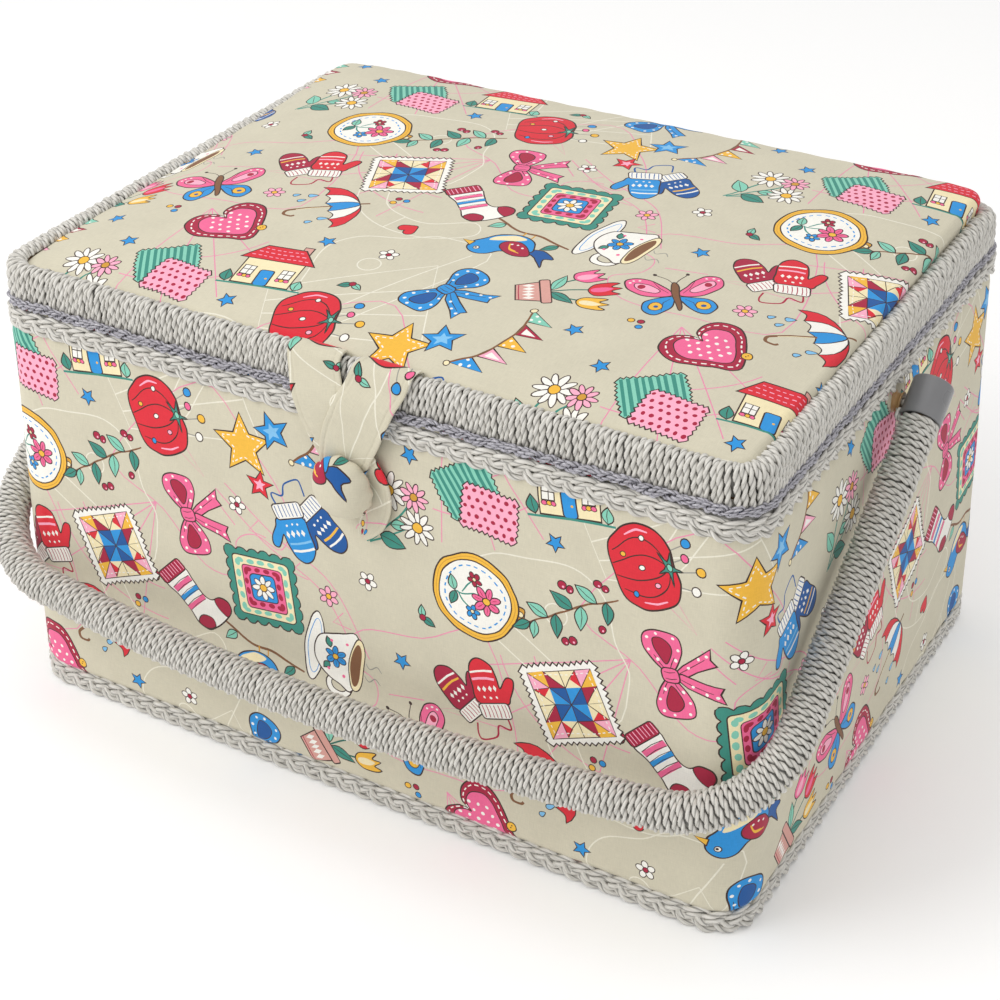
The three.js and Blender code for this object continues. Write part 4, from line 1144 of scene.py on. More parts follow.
def mixed(name, v, quads, tris, smooth_shade=True):
    me = bpy.data.meshes.new(name)
    me.vertices.add(len(v))
    me.vertices.foreach_set("co", (np.asarray(v, float) * MM).astype(np.float32).ravel())
    quads, tris = np.asarray(quads, np.int32).reshape(-1, 4), np.asarray(tris, np.int32).reshape(-1, 3)
    loops = np.concatenate([quads.ravel(), tris.ravel()])
    me.loops.add(len(loops))
    me.loops.foreach_set("vertex_index", loops)
    starts = np.concatenate([np.arange(len(quads)) * 4, len(quads) * 4 + np.arange(len(tris)) * 3]).astype(np.int32)
    me.polygons.add(len(starts))
    me.polygons.foreach_set("loop_start", starts)
    me.update(calc_edges=True)
    me.polygons.foreach_set("use_smooth", np.full(len(starts), smooth_shade))
    me.update()
    ob = bpy.data.objects.new(name, me)
    bpy.context.scene.collection.objects.link(ob)
    return ob


def tubes(name, c, up, r, pitch=12.0, phase=0.0, m=12, plies=2, closed=False, flat=1.0, seed=0, deep=1.0, off=0.44):
    """Twisted rope along the centre lines c (W, K, 3), each ring turned with its ply. up is a direction across each line."""
    w, k, _ = c.shape
    d = np.roll(c, -1, 1) - np.roll(c, 1, 1) if closed else np.gradient(c, axis=1)
    t = unit(d)
    n = unit(up - (up * t).sum(-1, keepdims=True) * t)
    b = np.cross(t, n)
    run = np.concatenate([np.zeros((w, 1)), np.cumsum(np.linalg.norm(np.diff(c, axis=1), axis=2), axis=1)], 1)
    phi = np.arange(m) * 2 * math.pi / m
    if plies == 2:
        a = 1 - off
        rho = off * np.abs(np.cos(phi)) + np.sqrt(np.maximum(a * a - (off * np.sin(phi)) ** 2, 0))
    else:
        rho = np.ones(m)
    ang = phi[None, None] + (2 * math.pi * run / pitch + np.reshape(phase, (-1, 1)))[..., None]
    rr = np.broadcast_to(np.reshape(r, (-1, 1)) if np.ndim(r) < 2 else r, (w, k))
    p = c[:, :, None] + rr[:, :, None, None] * rho[None, None, :, None] * (
        np.cos(ang)[..., None] * n[:, :, None] * flat + np.sin(ang)[..., None] * b[:, :, None] * deep)
    v = p.reshape(-1, 3)
    idx = np.arange(w * k * m).reshape(w, k, m)
    nxt = np.roll(idx, -1, 1) if closed else idx[:, 1:]
    cur = idx if closed else idx[:, :-1]
    quads = np.stack([cur, np.roll(cur, -1, 2), np.roll(nxt, -1, 2), nxt], -1).reshape(-1, 4)
    rng = np.random.default_rng(seed)
    rand = rng.random(w)
    attr = np.zeros((w, k, m, 3))
    attr[..., 0] = run[..., None]
    attr[..., 1] = np.cos(phi)
    attr[..., 2] = np.sin(phi)
    rv = np.broadcast_to(rand[:, None, None], (w, k, m))
    tris = []
    if not closed:
        ends = np.concatenate([c[:, 0] - t[:, 0] * 0.35, c[:, -1] + t[:, -1] * 0.35])
        ei = len(v) + np.arange(2 * w)
        a0, a1 = idx[:, 0], idx[:, -1]
        tris = np.concatenate([
            np.stack([np.repeat(ei[:w, None], m, 1), np.roll(a0, -1, 1), a0], -1).reshape(-1, 3),
            np.stack([np.repeat(ei[w:, None], m, 1), a1, np.roll(a1, -1, 1)], -1).reshape(-1, 3)])
        v = np.vstack([v, ends])
        attr = np.vstack([attr.reshape(-1, 3), np.zeros((2 * w, 3))])
        rv = np.concatenate([rv.reshape(-1), rand, rand])
    ob = mixed(name, v, quads, tris)
    vector_attr(ob, "rope", np.asarray(attr).reshape(-1, 3))
    a = ob.data.attributes.new("rand", "FLOAT", "POINT")
    a.data.foreach_set("value", np.ascontiguousarray(rv, np.float32).reshape(-1))
    return ob


def rope_material(name, low, mid, high, rough=0.42, streak=1.0, dark=0.30):
    m, nt, b = material(name)
    rope = node(nt, "ShaderNodeAttribute", attribute_name="rope")
    rand = node(nt, "ShaderNodeAttribute", attribute_name="rand")
    sep = node(nt, "ShaderNodeSeparateXYZ")
    nt.links.new(rope.outputs["Vector"], sep.inputs[0])
    off = node(nt, "ShaderNodeMath", operation="MULTIPLY"); off.inputs[1].default_value = 173.0
    nt.links.new(rand.outputs["Fac"], off.inputs[0])

    def stretched(along, across, detail):
        x = node(nt, "ShaderNodeMath", operation="MULTIPLY_ADD"); x.inputs[1].default_value = along
        nt.links.new(sep.outputs["X"], x.inputs[0]); nt.links.new(off.outputs[0], x.inputs[2])
        y = node(nt, "ShaderNodeMath", operation="MULTIPLY"); y.inputs[1].default_value = across
        z = node(nt, "ShaderNodeMath", operation="MULTIPLY"); z.inputs[1].default_value = across
        nt.links.new(sep.outputs["Y"], y.inputs[0]); nt.links.new(sep.outputs["Z"], z.inputs[0])
        comb = node(nt, "ShaderNodeCombineXYZ")
        for i, q in enumerate((x, y, z)):
            nt.links.new(q.outputs[0], comb.inputs[i])
        n = node(nt, "ShaderNodeTexNoise", in_Scale=1.0, in_Detail=detail)
        nt.links.new(comb.outputs[0], n.inputs["Vector"])
        return n

    fine = stretched(0.16, 5.5, 3.0)
    broad = stretched(0.05, 1.1, 2.0)
    ramp = node(nt, "ShaderNodeValToRGB")
    e = ramp.color_ramp.elements
    e[0].position, e[0].color = 0.28, (*to_linear(low), 1)
    e[1].position, e[1].color = 0.74, (*to_linear(high), 1)
    q = e.new(0.5); q.color = (*to_linear(mid), 1)
    mixn = node(nt, "ShaderNodeMath", operation="MULTIPLY_ADD"); mixn.inputs[1].default_value = 0.55
    half = node(nt, "ShaderNodeMath", operation="MULTIPLY"); half.inputs[1].default_value = 0.45
    nt.links.new(broad.outputs["Fac"], half.inputs[0])
    nt.links.new(fine.outputs["Fac"], mixn.inputs[0]); nt.links.new(half.outputs[0], mixn.inputs[2])
    nt.links.new(mixn.outputs[0], ramp.inputs["Fac"])
    # painted shade in the creases between the plies: the colour is darkened towards each crease
    crease = node(nt, "ShaderNodeMath", operation="ABSOLUTE")
    nt.links.new(sep.outputs["Y"], crease.inputs[0])
    cr = node(nt, "ShaderNodeMapRange"); cr.inputs["From Max"].default_value = 0.5
    cr.inputs["To Min"].default_value = dark; cr.inputs["To Max"].default_value = 1.0
    nt.links.new(crease.outputs[0], cr.inputs["Value"])
    sc = node(nt, "ShaderNodeVectorMath", operation="SCALE")
    nt.links.new(ramp.outputs["Color"], sc.inputs[0]); nt.links.new(cr.outputs[0], sc.inputs["Scale"])
    nt.links.new(sc.outputs[0], b.inputs["Base Color"])
    bump = node(nt, "ShaderNodeBump"); bump.inputs["Strength"].default_value = 0.55 * streak; bump.inputs["Distance"].default_value = 0.0002
    nt.links.new(fine.outputs["Fac"], bump.inputs["Height"])
    nt.links.new(bump.outputs[0], b.inputs["Normal"])
    rr = node(nt, "ShaderNodeMapRange"); rr.inputs["From Min"].default_value = 0.3; rr.inputs["From Max"].default_value = 0.7
    rr.inputs["To Min"].default_value = rough - 0.07; rr.inputs["To Max"].default_value = rough + 0.12
    nt.links.new(fine.outputs["Fac"], rr.inputs["Value"])
    nt.links.new(rr.outputs[0], b.inputs["Roughness"])
    b.inputs["Specular IOR Level"].default_value = 0.5
    return m


# painted shade: the cord's ply creases are painted darker than the rope's (0.16 against 0.30)
M_ROPE = rope_material("paper_rope", (174, 171, 163), (214, 211, 204), (240, 238, 233), 0.36)
M_CORD = rope_material("dark_cord", (100, 98, 106), (182, 180, 189), (238, 237, 242), 0.34, 1.0, 0.16)


def skin(name, grid, level=0.0):
    """Closed tube through a grid of points (rows, ring, 3), with the rope's attributes set so that the material paints
    it in its darkest crease tone: painted shade.
    """
    rows, m, _ = grid.shape
    idx = np.arange(rows * m).reshape(rows, m)
    cur, nxt = idx[:-1], idx[1:]
    quads = np.stack([cur, np.roll(cur, -1, 1), np.roll(nxt, -1, 1), nxt], -1).reshape(-1, 4)
    v = np.vstack([grid.reshape(-1, 3), grid[0].mean(0), grid[-1].mean(0)])
    k = rows * m
    tris = [(k, idx[0, (i + 1) % m], idx[0, i]) for i in range(m)] + [(k + 1, idx[-1, i], idx[-1, (i + 1) % m]) for i in range(m)]
    ob = mixed(name, v, quads, tris)
    vector_attr(ob, "rope", np.column_stack([np.arange(len(v)) * 0.37, np.full(len(v), level), np.ones(len(v))]))
    a = ob.data.attributes.new("rand", "FLOAT", "POINT")
    a.data.foreach_set("value", np.full(len(v), 0.31, np.float32))
    return ob


def backing(s0, s1):
    """The first layer of rope under the wraps, painted in the rope's darkest crease tone so that it shows as painted
    shade between them.
    """
    s = np.linspace(s0 + 0.4, s1 - 0.4, 90)
    prof = np.array([(2.5, 203.0), (2.5, 211.6), (3.9, 213.2), (7.3, 213.2), (7.3, 212.8), (4.1, 212.8), (2.9, 211.4), (2.9, 203.0)])[::-1]
    x, y, nx, ny = plan(np.repeat(s[:, None], len(prof), 1), np.repeat(prof[None, :, 0], len(s), 0))
    return skin("rim_backing", np.stack([x, y, np.repeat(prof[None, :, 1], len(s), 0)], -1))


def wrapped_rim():
    rng = np.random.default_rng(5)
    prof = smooth([(2.0, 199.5), (1.55, 201.4), (1.42, 204.0), (1.42, 206.8), (1.5, 209.9), (2.1, 212.7), (4.2, 214.5), (6.7, 214.05), (7.8, 212.3)], 44)
    s, at, corner = 0.0, [], []
    while s < AROUND - 1.9:
        k = int(np.searchsorted(EDGE, s, side="right")) - 1
        at.append(s); corner.append(k % 2)
        step = (2.95 if k % 2 else 2.68) * (1 + 0.06 * float(np.clip(rng.standard_normal(), -1.6, 1.6)))
        if rng.random() < 0.03:
            step += 0.7
        s += step
    at = np.array(at) * (AROUND / s)
    w, k = len(at), len(prof)
    u = np.linspace(0, 1, k)
    wob = rng.standard_normal((w, 3)) * (0.16, 0.12, 0.10)
    lean = -1.6 * (u[None] - 0.45) + wob[:, :1] * np.sin(math.pi * u * 2)[None] + wob[:, 1:2]
    ss = at[:, None] + lean
    inset = prof[None, :, 0] + wob[:, 2:3] * np.sin(math.pi * u)[None]
    z = np.repeat(prof[None, :, 1], w, 0) + 0.12 * rng.standard_normal((w, 1))
    nx = plan(ss, inset)[2]
    # the rim stands a little prouder along the sides, and higher along the left one
    outer = np.clip(1.25 - (prof[None, :, 0] - 1.4) / 5.0, 0, 1)
    x, y, nx, ny = plan(ss, inset - 1.3 * np.abs(nx) * outer)
    z = z + np.clip((z - 203) / 11, 0, 1) * (0.8 * np.clip(-nx, 0, 1) + 1.2 * np.clip(nx, 0, 1) * np.clip(y / 130, 0, 1))
    c = np.stack([x, y, z], -1)
    up = np.stack([-ny, nx, np.zeros_like(nx)], -1)
    phase = np.arange(w) * math.pi / 2 + np.cumsum(rng.standard_normal(w) * 0.5)
    r = 1.47 * (1 + 0.04 * rng.standard_normal(w))
    parts = []
    for i, name in enumerate(("rim_rope_front", "rim_rope_right", "rim_rope_back", "rim_rope_left")):
        a, b = EDGE[2 * i] - ARC / 2, EDGE[2 * i + 1] + ARC / 2
        sel = (at >= a) & (at < b) | (at - AROUND >= a) & (at - AROUND < b)
        ob = tubes(name, c[sel], up[sel], r[sel], 9.6, phase[sel], m=10, seed=20 + i, deep=0.92, off=0.42)
        parts.append(join(name, [ob, backing(a, b)]))
    return parts


def around(z, outset, k, period, shape):
    """Centre line at distance outset outside the cover's plan; shape(theta) gives (across, out) in mm."""
    s = np.arange(k) * AROUND / k
    th = 2 * math.pi * s / period
    across, out = shape(th, s)
    # the trim at the top lies closer along the left side
    close = 1.2 * (z > 100) * np.clip(-plan(s, -(outset + out))[2], 0, 1)
    x, y, nx, ny = plan(s, close - (outset + out))
    c = np.stack([x, y, z + across], -1)[None]
    up = np.stack([nx, ny, np.zeros_like(nx)], -1)[None]
    return c, up


def join(name, obs):
    """One mesh from several, attributes and all."""
    for o in bpy.context.selected_objects:
        o.select_set(False)
    for o in obs:
        o.select_set(True)
    bpy.context.view_layer.objects.active = obs[0]
    if len(obs) > 1:
        bpy.ops.object.join()
    ob = bpy.context.view_layer.objects.active
    ob.name = name
    ob.select_set(False)
    return ob


YARNS = 2


def braid(name, z, outset, width, seed, loose=None):
    """Flat plait of three strands, each made of yarns lying side by side."""
    yarns, r = YARNS, width * 0.49 / (2 * YARNS)
    periods = 47
    per = AROUND / periods
    half = yarns * r
    amp = width / 2 - half
    obs = []
    for k in range(3):
        for y_ in range(yarns):
            rng = np.random.default_rng(seed + 11 * k + y_)
            f = rng.uniform(0, 2 * math.pi, 4)
            off = (y_ - (yarns - 1) / 2) * 2 * r * 0.97

            def shape(th, s, k=k, f=f, off=off):
                t = th + 2 * math.pi * k / 3
                slope = amp * np.cos(t) * 2 * math.pi / per
                a = amp * np.sin(t) * (1 + 0.05 * np.sin(s * 0.031 + seed)) + off * np.sqrt(1 + slope ** 2)
                wander = 0.20 * np.sin(2 * math.pi * 5 * s / AROUND + seed) + 0.10 * np.sin(2 * math.pi * 17 * s / AROUND + seed * 2)
                wander = wander + 0.10 * np.sin(2 * math.pi * 41 * s / AROUND + f[0])
                if loose is not None:
                    wander = wander + loose(s)
                out = 0.92 * np.sin(2 * t) + 0.10 * np.sin(2 * math.pi * 23 * s / AROUND + f[1]) + 0.07 * np.sin(2 * math.pi * 57 * s / AROUND + f[2])
                return a + wander, out
            c, up = around(z, outset, 1340, per, shape)
            length = float(np.linalg.norm(np.diff(np.concatenate([c, c[:, :1]], 1), axis=1), axis=2).sum())
            obs.append(tubes(f"{name}_{k}{y_}", c, up, r * 1.04, length / round(length / 15), f[3], m=10, closed=True, flat=0.92, seed=seed + 7 * k + y_, off=0.33))
    return join(name, obs)


def behind(z, outset, height):
    """The braid's back, painted in the rope's darkest crease tone as painted shade, which closes the gaps between its
    strands.
    """
    k = 700
    s = np.arange(k) * AROUND / k
    prof = np.array([(0.0, -height / 2), (0.35, -height / 2 + 0.3), (0.35, height / 2 - 0.3), (0.0, height / 2)])
    x, y, nx, ny = plan(np.repeat(s[:, None], 4, 1), np.repeat(-(outset + prof[None, :, 0]), k, 0))
    wav = 0.25 * np.sin(2 * math.pi * 5 * s / AROUND)[:, None]
    v = np.stack([x, y, z + prof[None, :, 1] + wav], -1).reshape(-1, 3)
    idx = np.arange(k * 4).reshape(k, 4)
    nx_ = np.roll(idx, -1, 0)
    q = np.stack([idx, nx_, np.roll(nx_, -1, 1), np.roll(idx, -1, 1)], -1).reshape(-1, 4)
    ob = mixed("braid_back", v, q, [])
    vector_attr(ob, "rope", np.column_stack([np.arange(len(v)) * 0.37, np.zeros(len(v)), np.ones(len(v))]))
    a = ob.data.attributes.new("rand", "FLOAT", "POINT")
    a.data.foreach_set("value", np.full(len(v), 0.4, np.float32))
    return ob


def twisted_cord(name, z, outset, seed):
    k = 2300
    obs = []
    for q in range(4):
        rng = np.random.default_rng(seed + q)
        f = rng.uniform(0, 2 * math.pi, 3)

        def shape(th, s, q=q, f=f):
            t = th + 2 * math.pi * q / 4 + 0.75 * np.sin(2 * math.pi * 13 * s / AROUND + seed) + 0.45 * np.sin(2 * math.pi * 37 * s / AROUND) + 0.55 * np.sin(2 * math.pi * 61 * s / AROUND + f[2])
            wander = 0.26 * np.sin(2 * math.pi * 9 * s / AROUND + 1) + 0.20 * np.sin(2 * math.pi * 31 * s / AROUND) + 0.26 * np.sin(2 * math.pi * 83 * s / AROUND + f[0]) + 0.12 * np.sin(2 * math.pi * 139 * s / AROUND + f[1])
            return 1.42 * np.sin(t) + wander, 0.95 * np.cos(t) + 0.30 * np.sin(2 * math.pi * 71 * s / AROUND + f[1])
        c, up = around(z, outset, k, AROUND / 96, shape)
        radius = (1.0 + 0.22 * np.sin(2 * math.pi * 47 * np.arange(k) / k + f[2]) + 0.12 * np.sin(2 * math.pi * 113 * np.arange(k) / k + f[0]))[None]
        obs.append(tubes(f"{name}_{q}", c, up, radius, 5.6, 1.3 * q, m=8, closed=True, seed=seed + q, off=0.40))
    return join(name, obs)


for i, ob in enumerate(wrapped_rim()):
    ob.data.materials.append(M_ROPE)
    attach(ob, "lid")
    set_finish(ob, "paper_rope")
    if i == 0:
        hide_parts("rim_rope")

cord_piece = twisted_cord("rim_dark_cord", 198.7, 0.3, 60)
cord_piece.data.materials.append(M_CORD)
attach(cord_piece, "lid"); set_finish(cord_piece, "dark_cord"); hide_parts("rim_cord")


def slack(s):
    near = np.mod(s - (EDGE[1] + ARC / 2) + AROUND / 2, AROUND) - AROUND / 2
    return -0.9 * np.exp(-(near / 26.0) ** 2)


for name, z, width, seed, outset, node_name in (("top_plait", 191.2, 11.0, 31, 0.55, "top_braid"), ("bottom_plait", 6.1, 11.8, 47, 1.25, "bottom_braid")):
    ob = join(name, [braid(name, z, outset, width, seed, slack if seed == 31 else None), behind(z, outset - 0.75, width * 0.9)])
    ob.data.materials.append(M_ROPE)
    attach(ob, "box"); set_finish(ob, "paper_rope"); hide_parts(node_name)


# ---------------------------------------------------------------- handle
PIVOT_Y, PIVOT_Z, ARM_X, REACH, BOW, BEND = 3.0, 179.5, 192.3, 190.0, 8.3, 46.0
DROP = math.radians(35.5)
ALONG = np.array([0, -math.cos(DROP), -math.sin(DROP)])
PIVOT = np.array([0, PIVOT_Y, PIVOT_Z])
PLANE_N = np.cross([1.0, 0, 0], ALONG)
PLANE = PLANE_N if PLANE_N[2] > 0 else -PLANE_N


def handle_line(v0, step=0.4):
    """Centre line of the handle from the left arm at v0 to the right one."""
    pts = []
    arm = np.arange(v0, REACH - BEND, step)
    pts += [(ARM_X, v) for v in arm]
    t = np.linspace(0, math.pi / 2, 160)
    pts += [(ARM_X - BEND + BEND * math.cos(q), REACH - BEND + BEND * math.sin(q)) for q in t]
    flat = ARM_X - BEND
    for x in np.arange(flat - step, 0, -step):
        pts.append((x, REACH + BOW * (1 - (x / flat) ** 2)))
    half = np.array(pts)
    left = half * (-1, 1)
    full = np.vstack([left, half[::-1]])
    p3 = np.column_stack([full[:, 0], np.zeros(len(full)), np.zeros(len(full))]) + PIVOT + full[:, 1:2] * ALONG
    run = np.concatenate([[0], np.cumsum(np.linalg.norm(np.diff(p3, axis=0), axis=1))])
    return p3, run


def handle_wrap():
    line, run = handle_line(5.9)
    total = run[-1]
    pitch, radius, r = 2.76, 7.12, 1.5
    turns = total / pitch
    rng = np.random.default_rng(9)
    # the first and last turn lie flat, with no advance, against the caps
    k = int((turns + 2) * 52)
    th = np.linspace(0, 2 * math.pi * (turns + 2), k)
    turn = th / (2 * math.pi)
    tt = np.clip((turn - 1) / turns, 0, 1) * (total - 2 * 1.1) + 1.1
    lumps = np.interp(tt, np.linspace(0, total, 260), rng.standard_normal(260) * 0.09)
    shift = np.interp(tt, np.linspace(0, total, 200), rng.standard_normal(200) * 0.16) * np.clip(np.minimum(tt, total - tt) / 6, 0, 1)
    at = np.clip(tt + shift, 0, total)
    p = np.column_stack([np.interp(at, run, line[:, i]) for i in range(3)])
    q = np.column_stack([np.interp(np.clip(at + 0.5, 0, total), run, line[:, i]) - np.interp(np.clip(at - 0.5, 0, total), run, line[:, i]) for i in range(3)])
    t = unit(q)
    n = np.broadcast_to(unit(PLANE_N), t.shape)
    b = unit(np.cross(t, n))
    rad = (np.cos(th)[:, None] * n + np.sin(th)[:, None] * b)
    # the two full end turns sink in a little where the next one crosses them
    dip = 0.35 * (np.clip(1 - turn, 0, 1) + np.clip(turn - turns - 1, 0, 1))
    c = p + (radius + lumps - dip)[:, None] * rad
    turn_len = float(np.linalg.norm(np.diff(c, axis=0), axis=1).sum()) / (turns + 2)
    rope = tubes("handle_wrapping", c[None], rad[None], r, turn_len / 4.75, 0.0, m=10, seed=3, flat=0.93, off=0.44)
    # the layer under the wraps, painted in the rope's darkest crease tone as painted shade between the wraps, and the
    # rope's free end beside the right cap
    tt = np.linspace(0.2, total - 0.2, 500)
    p = np.column_stack([np.interp(tt, run, line[:, i]) for i in range(3)])
    t = unit(np.gradient(p, axis=0))
    n = np.broadcast_to(unit(PLANE_N), t.shape)
    b = unit(np.cross(t, n))
    ring = np.linspace(0, 2 * math.pi, 28, endpoint=False)
    grid = p[:, None] + 6.2 * (np.cos(ring)[None, :, None] * n[:, None] + np.sin(ring)[None, :, None] * b[:, None])
    under = skin("handle_underlayer", grid)
    o = PIVOT + np.array([ARM_X, 0, 0])
    tail = smooth([o + ALONG * 9.5 + np.array([-5.6, 0, 0]) + PLANE * 2.0, o + ALONG * 8.2 + np.array([-7.6, 0, 0]) + PLANE * 2.6,
                   o + ALONG * 6.4 + np.array([-8.7, 0, 0]) + PLANE * 2.6, o + ALONG * 3.6 + np.array([-9.3, 0, 0]) + PLANE * 2.4], 26)
    end = tubes("handle_rope_end", tail[None], np.broadcast_to(np.array([1.0, 0, 0]), tail.shape)[None], 1.4, 9.0, 0.6, m=10, seed=8)
    return join("handle_wrapping", [rope, under, end])


handle_rope = handle_wrap()
handle_rope.data.materials.append(M_ROPE)
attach(handle_rope, "handle"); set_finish(handle_rope, "paper_rope"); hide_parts("handle_rope")


def lathe(name, prof, n=64, z_axis=(0, 0, 1), at=(0, 0, 0)):
    """Turned solid: prof lists (radius, height), from axis to axis, heights along z_axis from at."""
    prof = np.asarray(prof, float)
    ring = np.linspace(0, 2 * math.pi, n, endpoint=False)
    axis = unit(np.asarray(z_axis, float))
    ref = np.array([1.0, 0, 0]) if abs(axis[0]) < 0.8 else np.array([0, 1.0, 0])
    e1 = unit(np.cross(axis, ref)); e2 = np.cross(axis, e1)
    v, quads, tris = [], [], []
    rows = []
    for r, h in prof:
        if r < 1e-6:
            rows.append([len(v)])
            v.append(np.asarray(at) + axis * h)
        else:
            rows.append(list(range(len(v), len(v) + n)))
            for a in ring:
                v.append(np.asarray(at) + axis * h + r * (math.cos(a) * e1 + math.sin(a) * e2))
    closed = prof[0, 0] > 1e-6 and np.allclose(prof[0], prof[-1])
    for i in range(len(rows) - 1):
        a, b = rows[i], rows[i + 1]
        if closed and i == len(rows) - 2:
            b = rows[0]
        for j in range(n):
            k = (j + 1) % n
            if len(a) == 1:
                tris.append((a[0], b[j], b[k])) if len(b) > 1 else None
            elif len(b) == 1:
                tris.append((a[k], a[j], b[0]))
            else:
                quads.append((a[j], b[j], b[k], a[k]))
    if closed:
        v = v[:-n]
    ob = mixed(name, np.array(v), quads, tris)
    bm = bmesh.new(); bm.from_mesh(ob.data)
    bmesh.ops.recalc_face_normals(bm, faces=bm.faces)
    bm.to_mesh(ob.data); bm.free()
    return ob


def edge_round(pts, r, n=5):
    """Rounds the corners of an open profile; r is one radius or one for each inner point."""
    pts = [np.array(p, float) for p in pts]
    out = [pts[0]]
    for i in range(1, len(pts) - 1):
        rad = r if np.isscalar(r) else r[i - 1]
        a, b, c = pts[i - 1], pts[i], pts[i + 1]
        u, w = a - b, c - b
        lu, lw = np.linalg.norm(u), np.linalg.norm(w)
        rad = min(rad, lu * 0.49, lw * 0.49)
        p, q = b + u / lu * rad, b + w / lw * rad
        for t in np.linspace(0, 1, n):
            out.append((1 - t) ** 2 * p + 2 * t * (1 - t) * b + t * t * q)
    out.append(pts[-1])
    return np.array(out)


def plastic_material(name, rgb, rough=0.38, grain=0.25, scale=900.0, spec=0.5, vary=0.075):
    m, nt, b = material(name)
    tc = node(nt, "ShaderNodeTexCoord")
    n1 = node(nt, "ShaderNodeTexNoise", in_Scale=scale, in_Detail=3.0)
    n2 = node(nt, "ShaderNodeTexNoise", in_Scale=38.0, in_Detail=4.0)
    nt.links.new(tc.outputs["Object"], n1.inputs["Vector"]); nt.links.new(tc.outputs["Object"], n2.inputs["Vector"])
    ramp = node(nt, "ShaderNodeValToRGB")
    e = ramp.color_ramp.elements
    base = to_linear(rgb)
    e[0].position, e[0].color = 0.3, (*(base * (1 - vary)), 1)
    e[1].position, e[1].color = 0.7, (*np.clip(base * (1 + vary), 0, 1), 1)
    nt.links.new(n2.outputs["Fac"], ramp.inputs["Fac"])
    nt.links.new(ramp.outputs["Color"], b.inputs["Base Color"])
    bump = node(nt, "ShaderNodeBump"); bump.inputs["Strength"].default_value = grain; bump.inputs["Distance"].default_value = 0.00005
    nt.links.new(n1.outputs["Fac"], bump.inputs["Height"]); nt.links.new(bump.outputs[0], b.inputs["Normal"])
    rr = node(nt, "ShaderNodeMapRange"); rr.inputs["From Min"].default_value = 0.3; rr.inputs["From Max"].default_value = 0.7
    rr.inputs["To Min"].default_value = rough - 0.05; rr.inputs["To Max"].default_value = rough + 0.07
    nt.links.new(n2.outputs["Fac"], rr.inputs["Value"]); nt.links.new(rr.outputs[0], b.inputs["Roughness"])
    b.inputs["Specular IOR Level"].default_value = spec
    return m


M_CAP = plastic_material("cap_plastic", (122, 122, 124), 0.28, 0.15)
for side, s in (("left", -1), ("right", 1)):
    prof = edge_round([(0, 17.5), (8.7, 17.5), (8.7, 0), (7.4, 0), (7.0, 0.9), (0, 0.9)], [1.1, 0.5, 0.4, 0.3], 7)
    at = PIVOT + np.array([s * ARM_X, 0, 0]) + ALONG * 5.5
    cap = lathe(f"handle_ferrule_{side}", prof, 72, -ALONG, at)
    cap.data.materials.append(M_CAP)
    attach(cap, "handle"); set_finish(cap, "cap_plastic"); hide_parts(f"handle_cap_{side}")


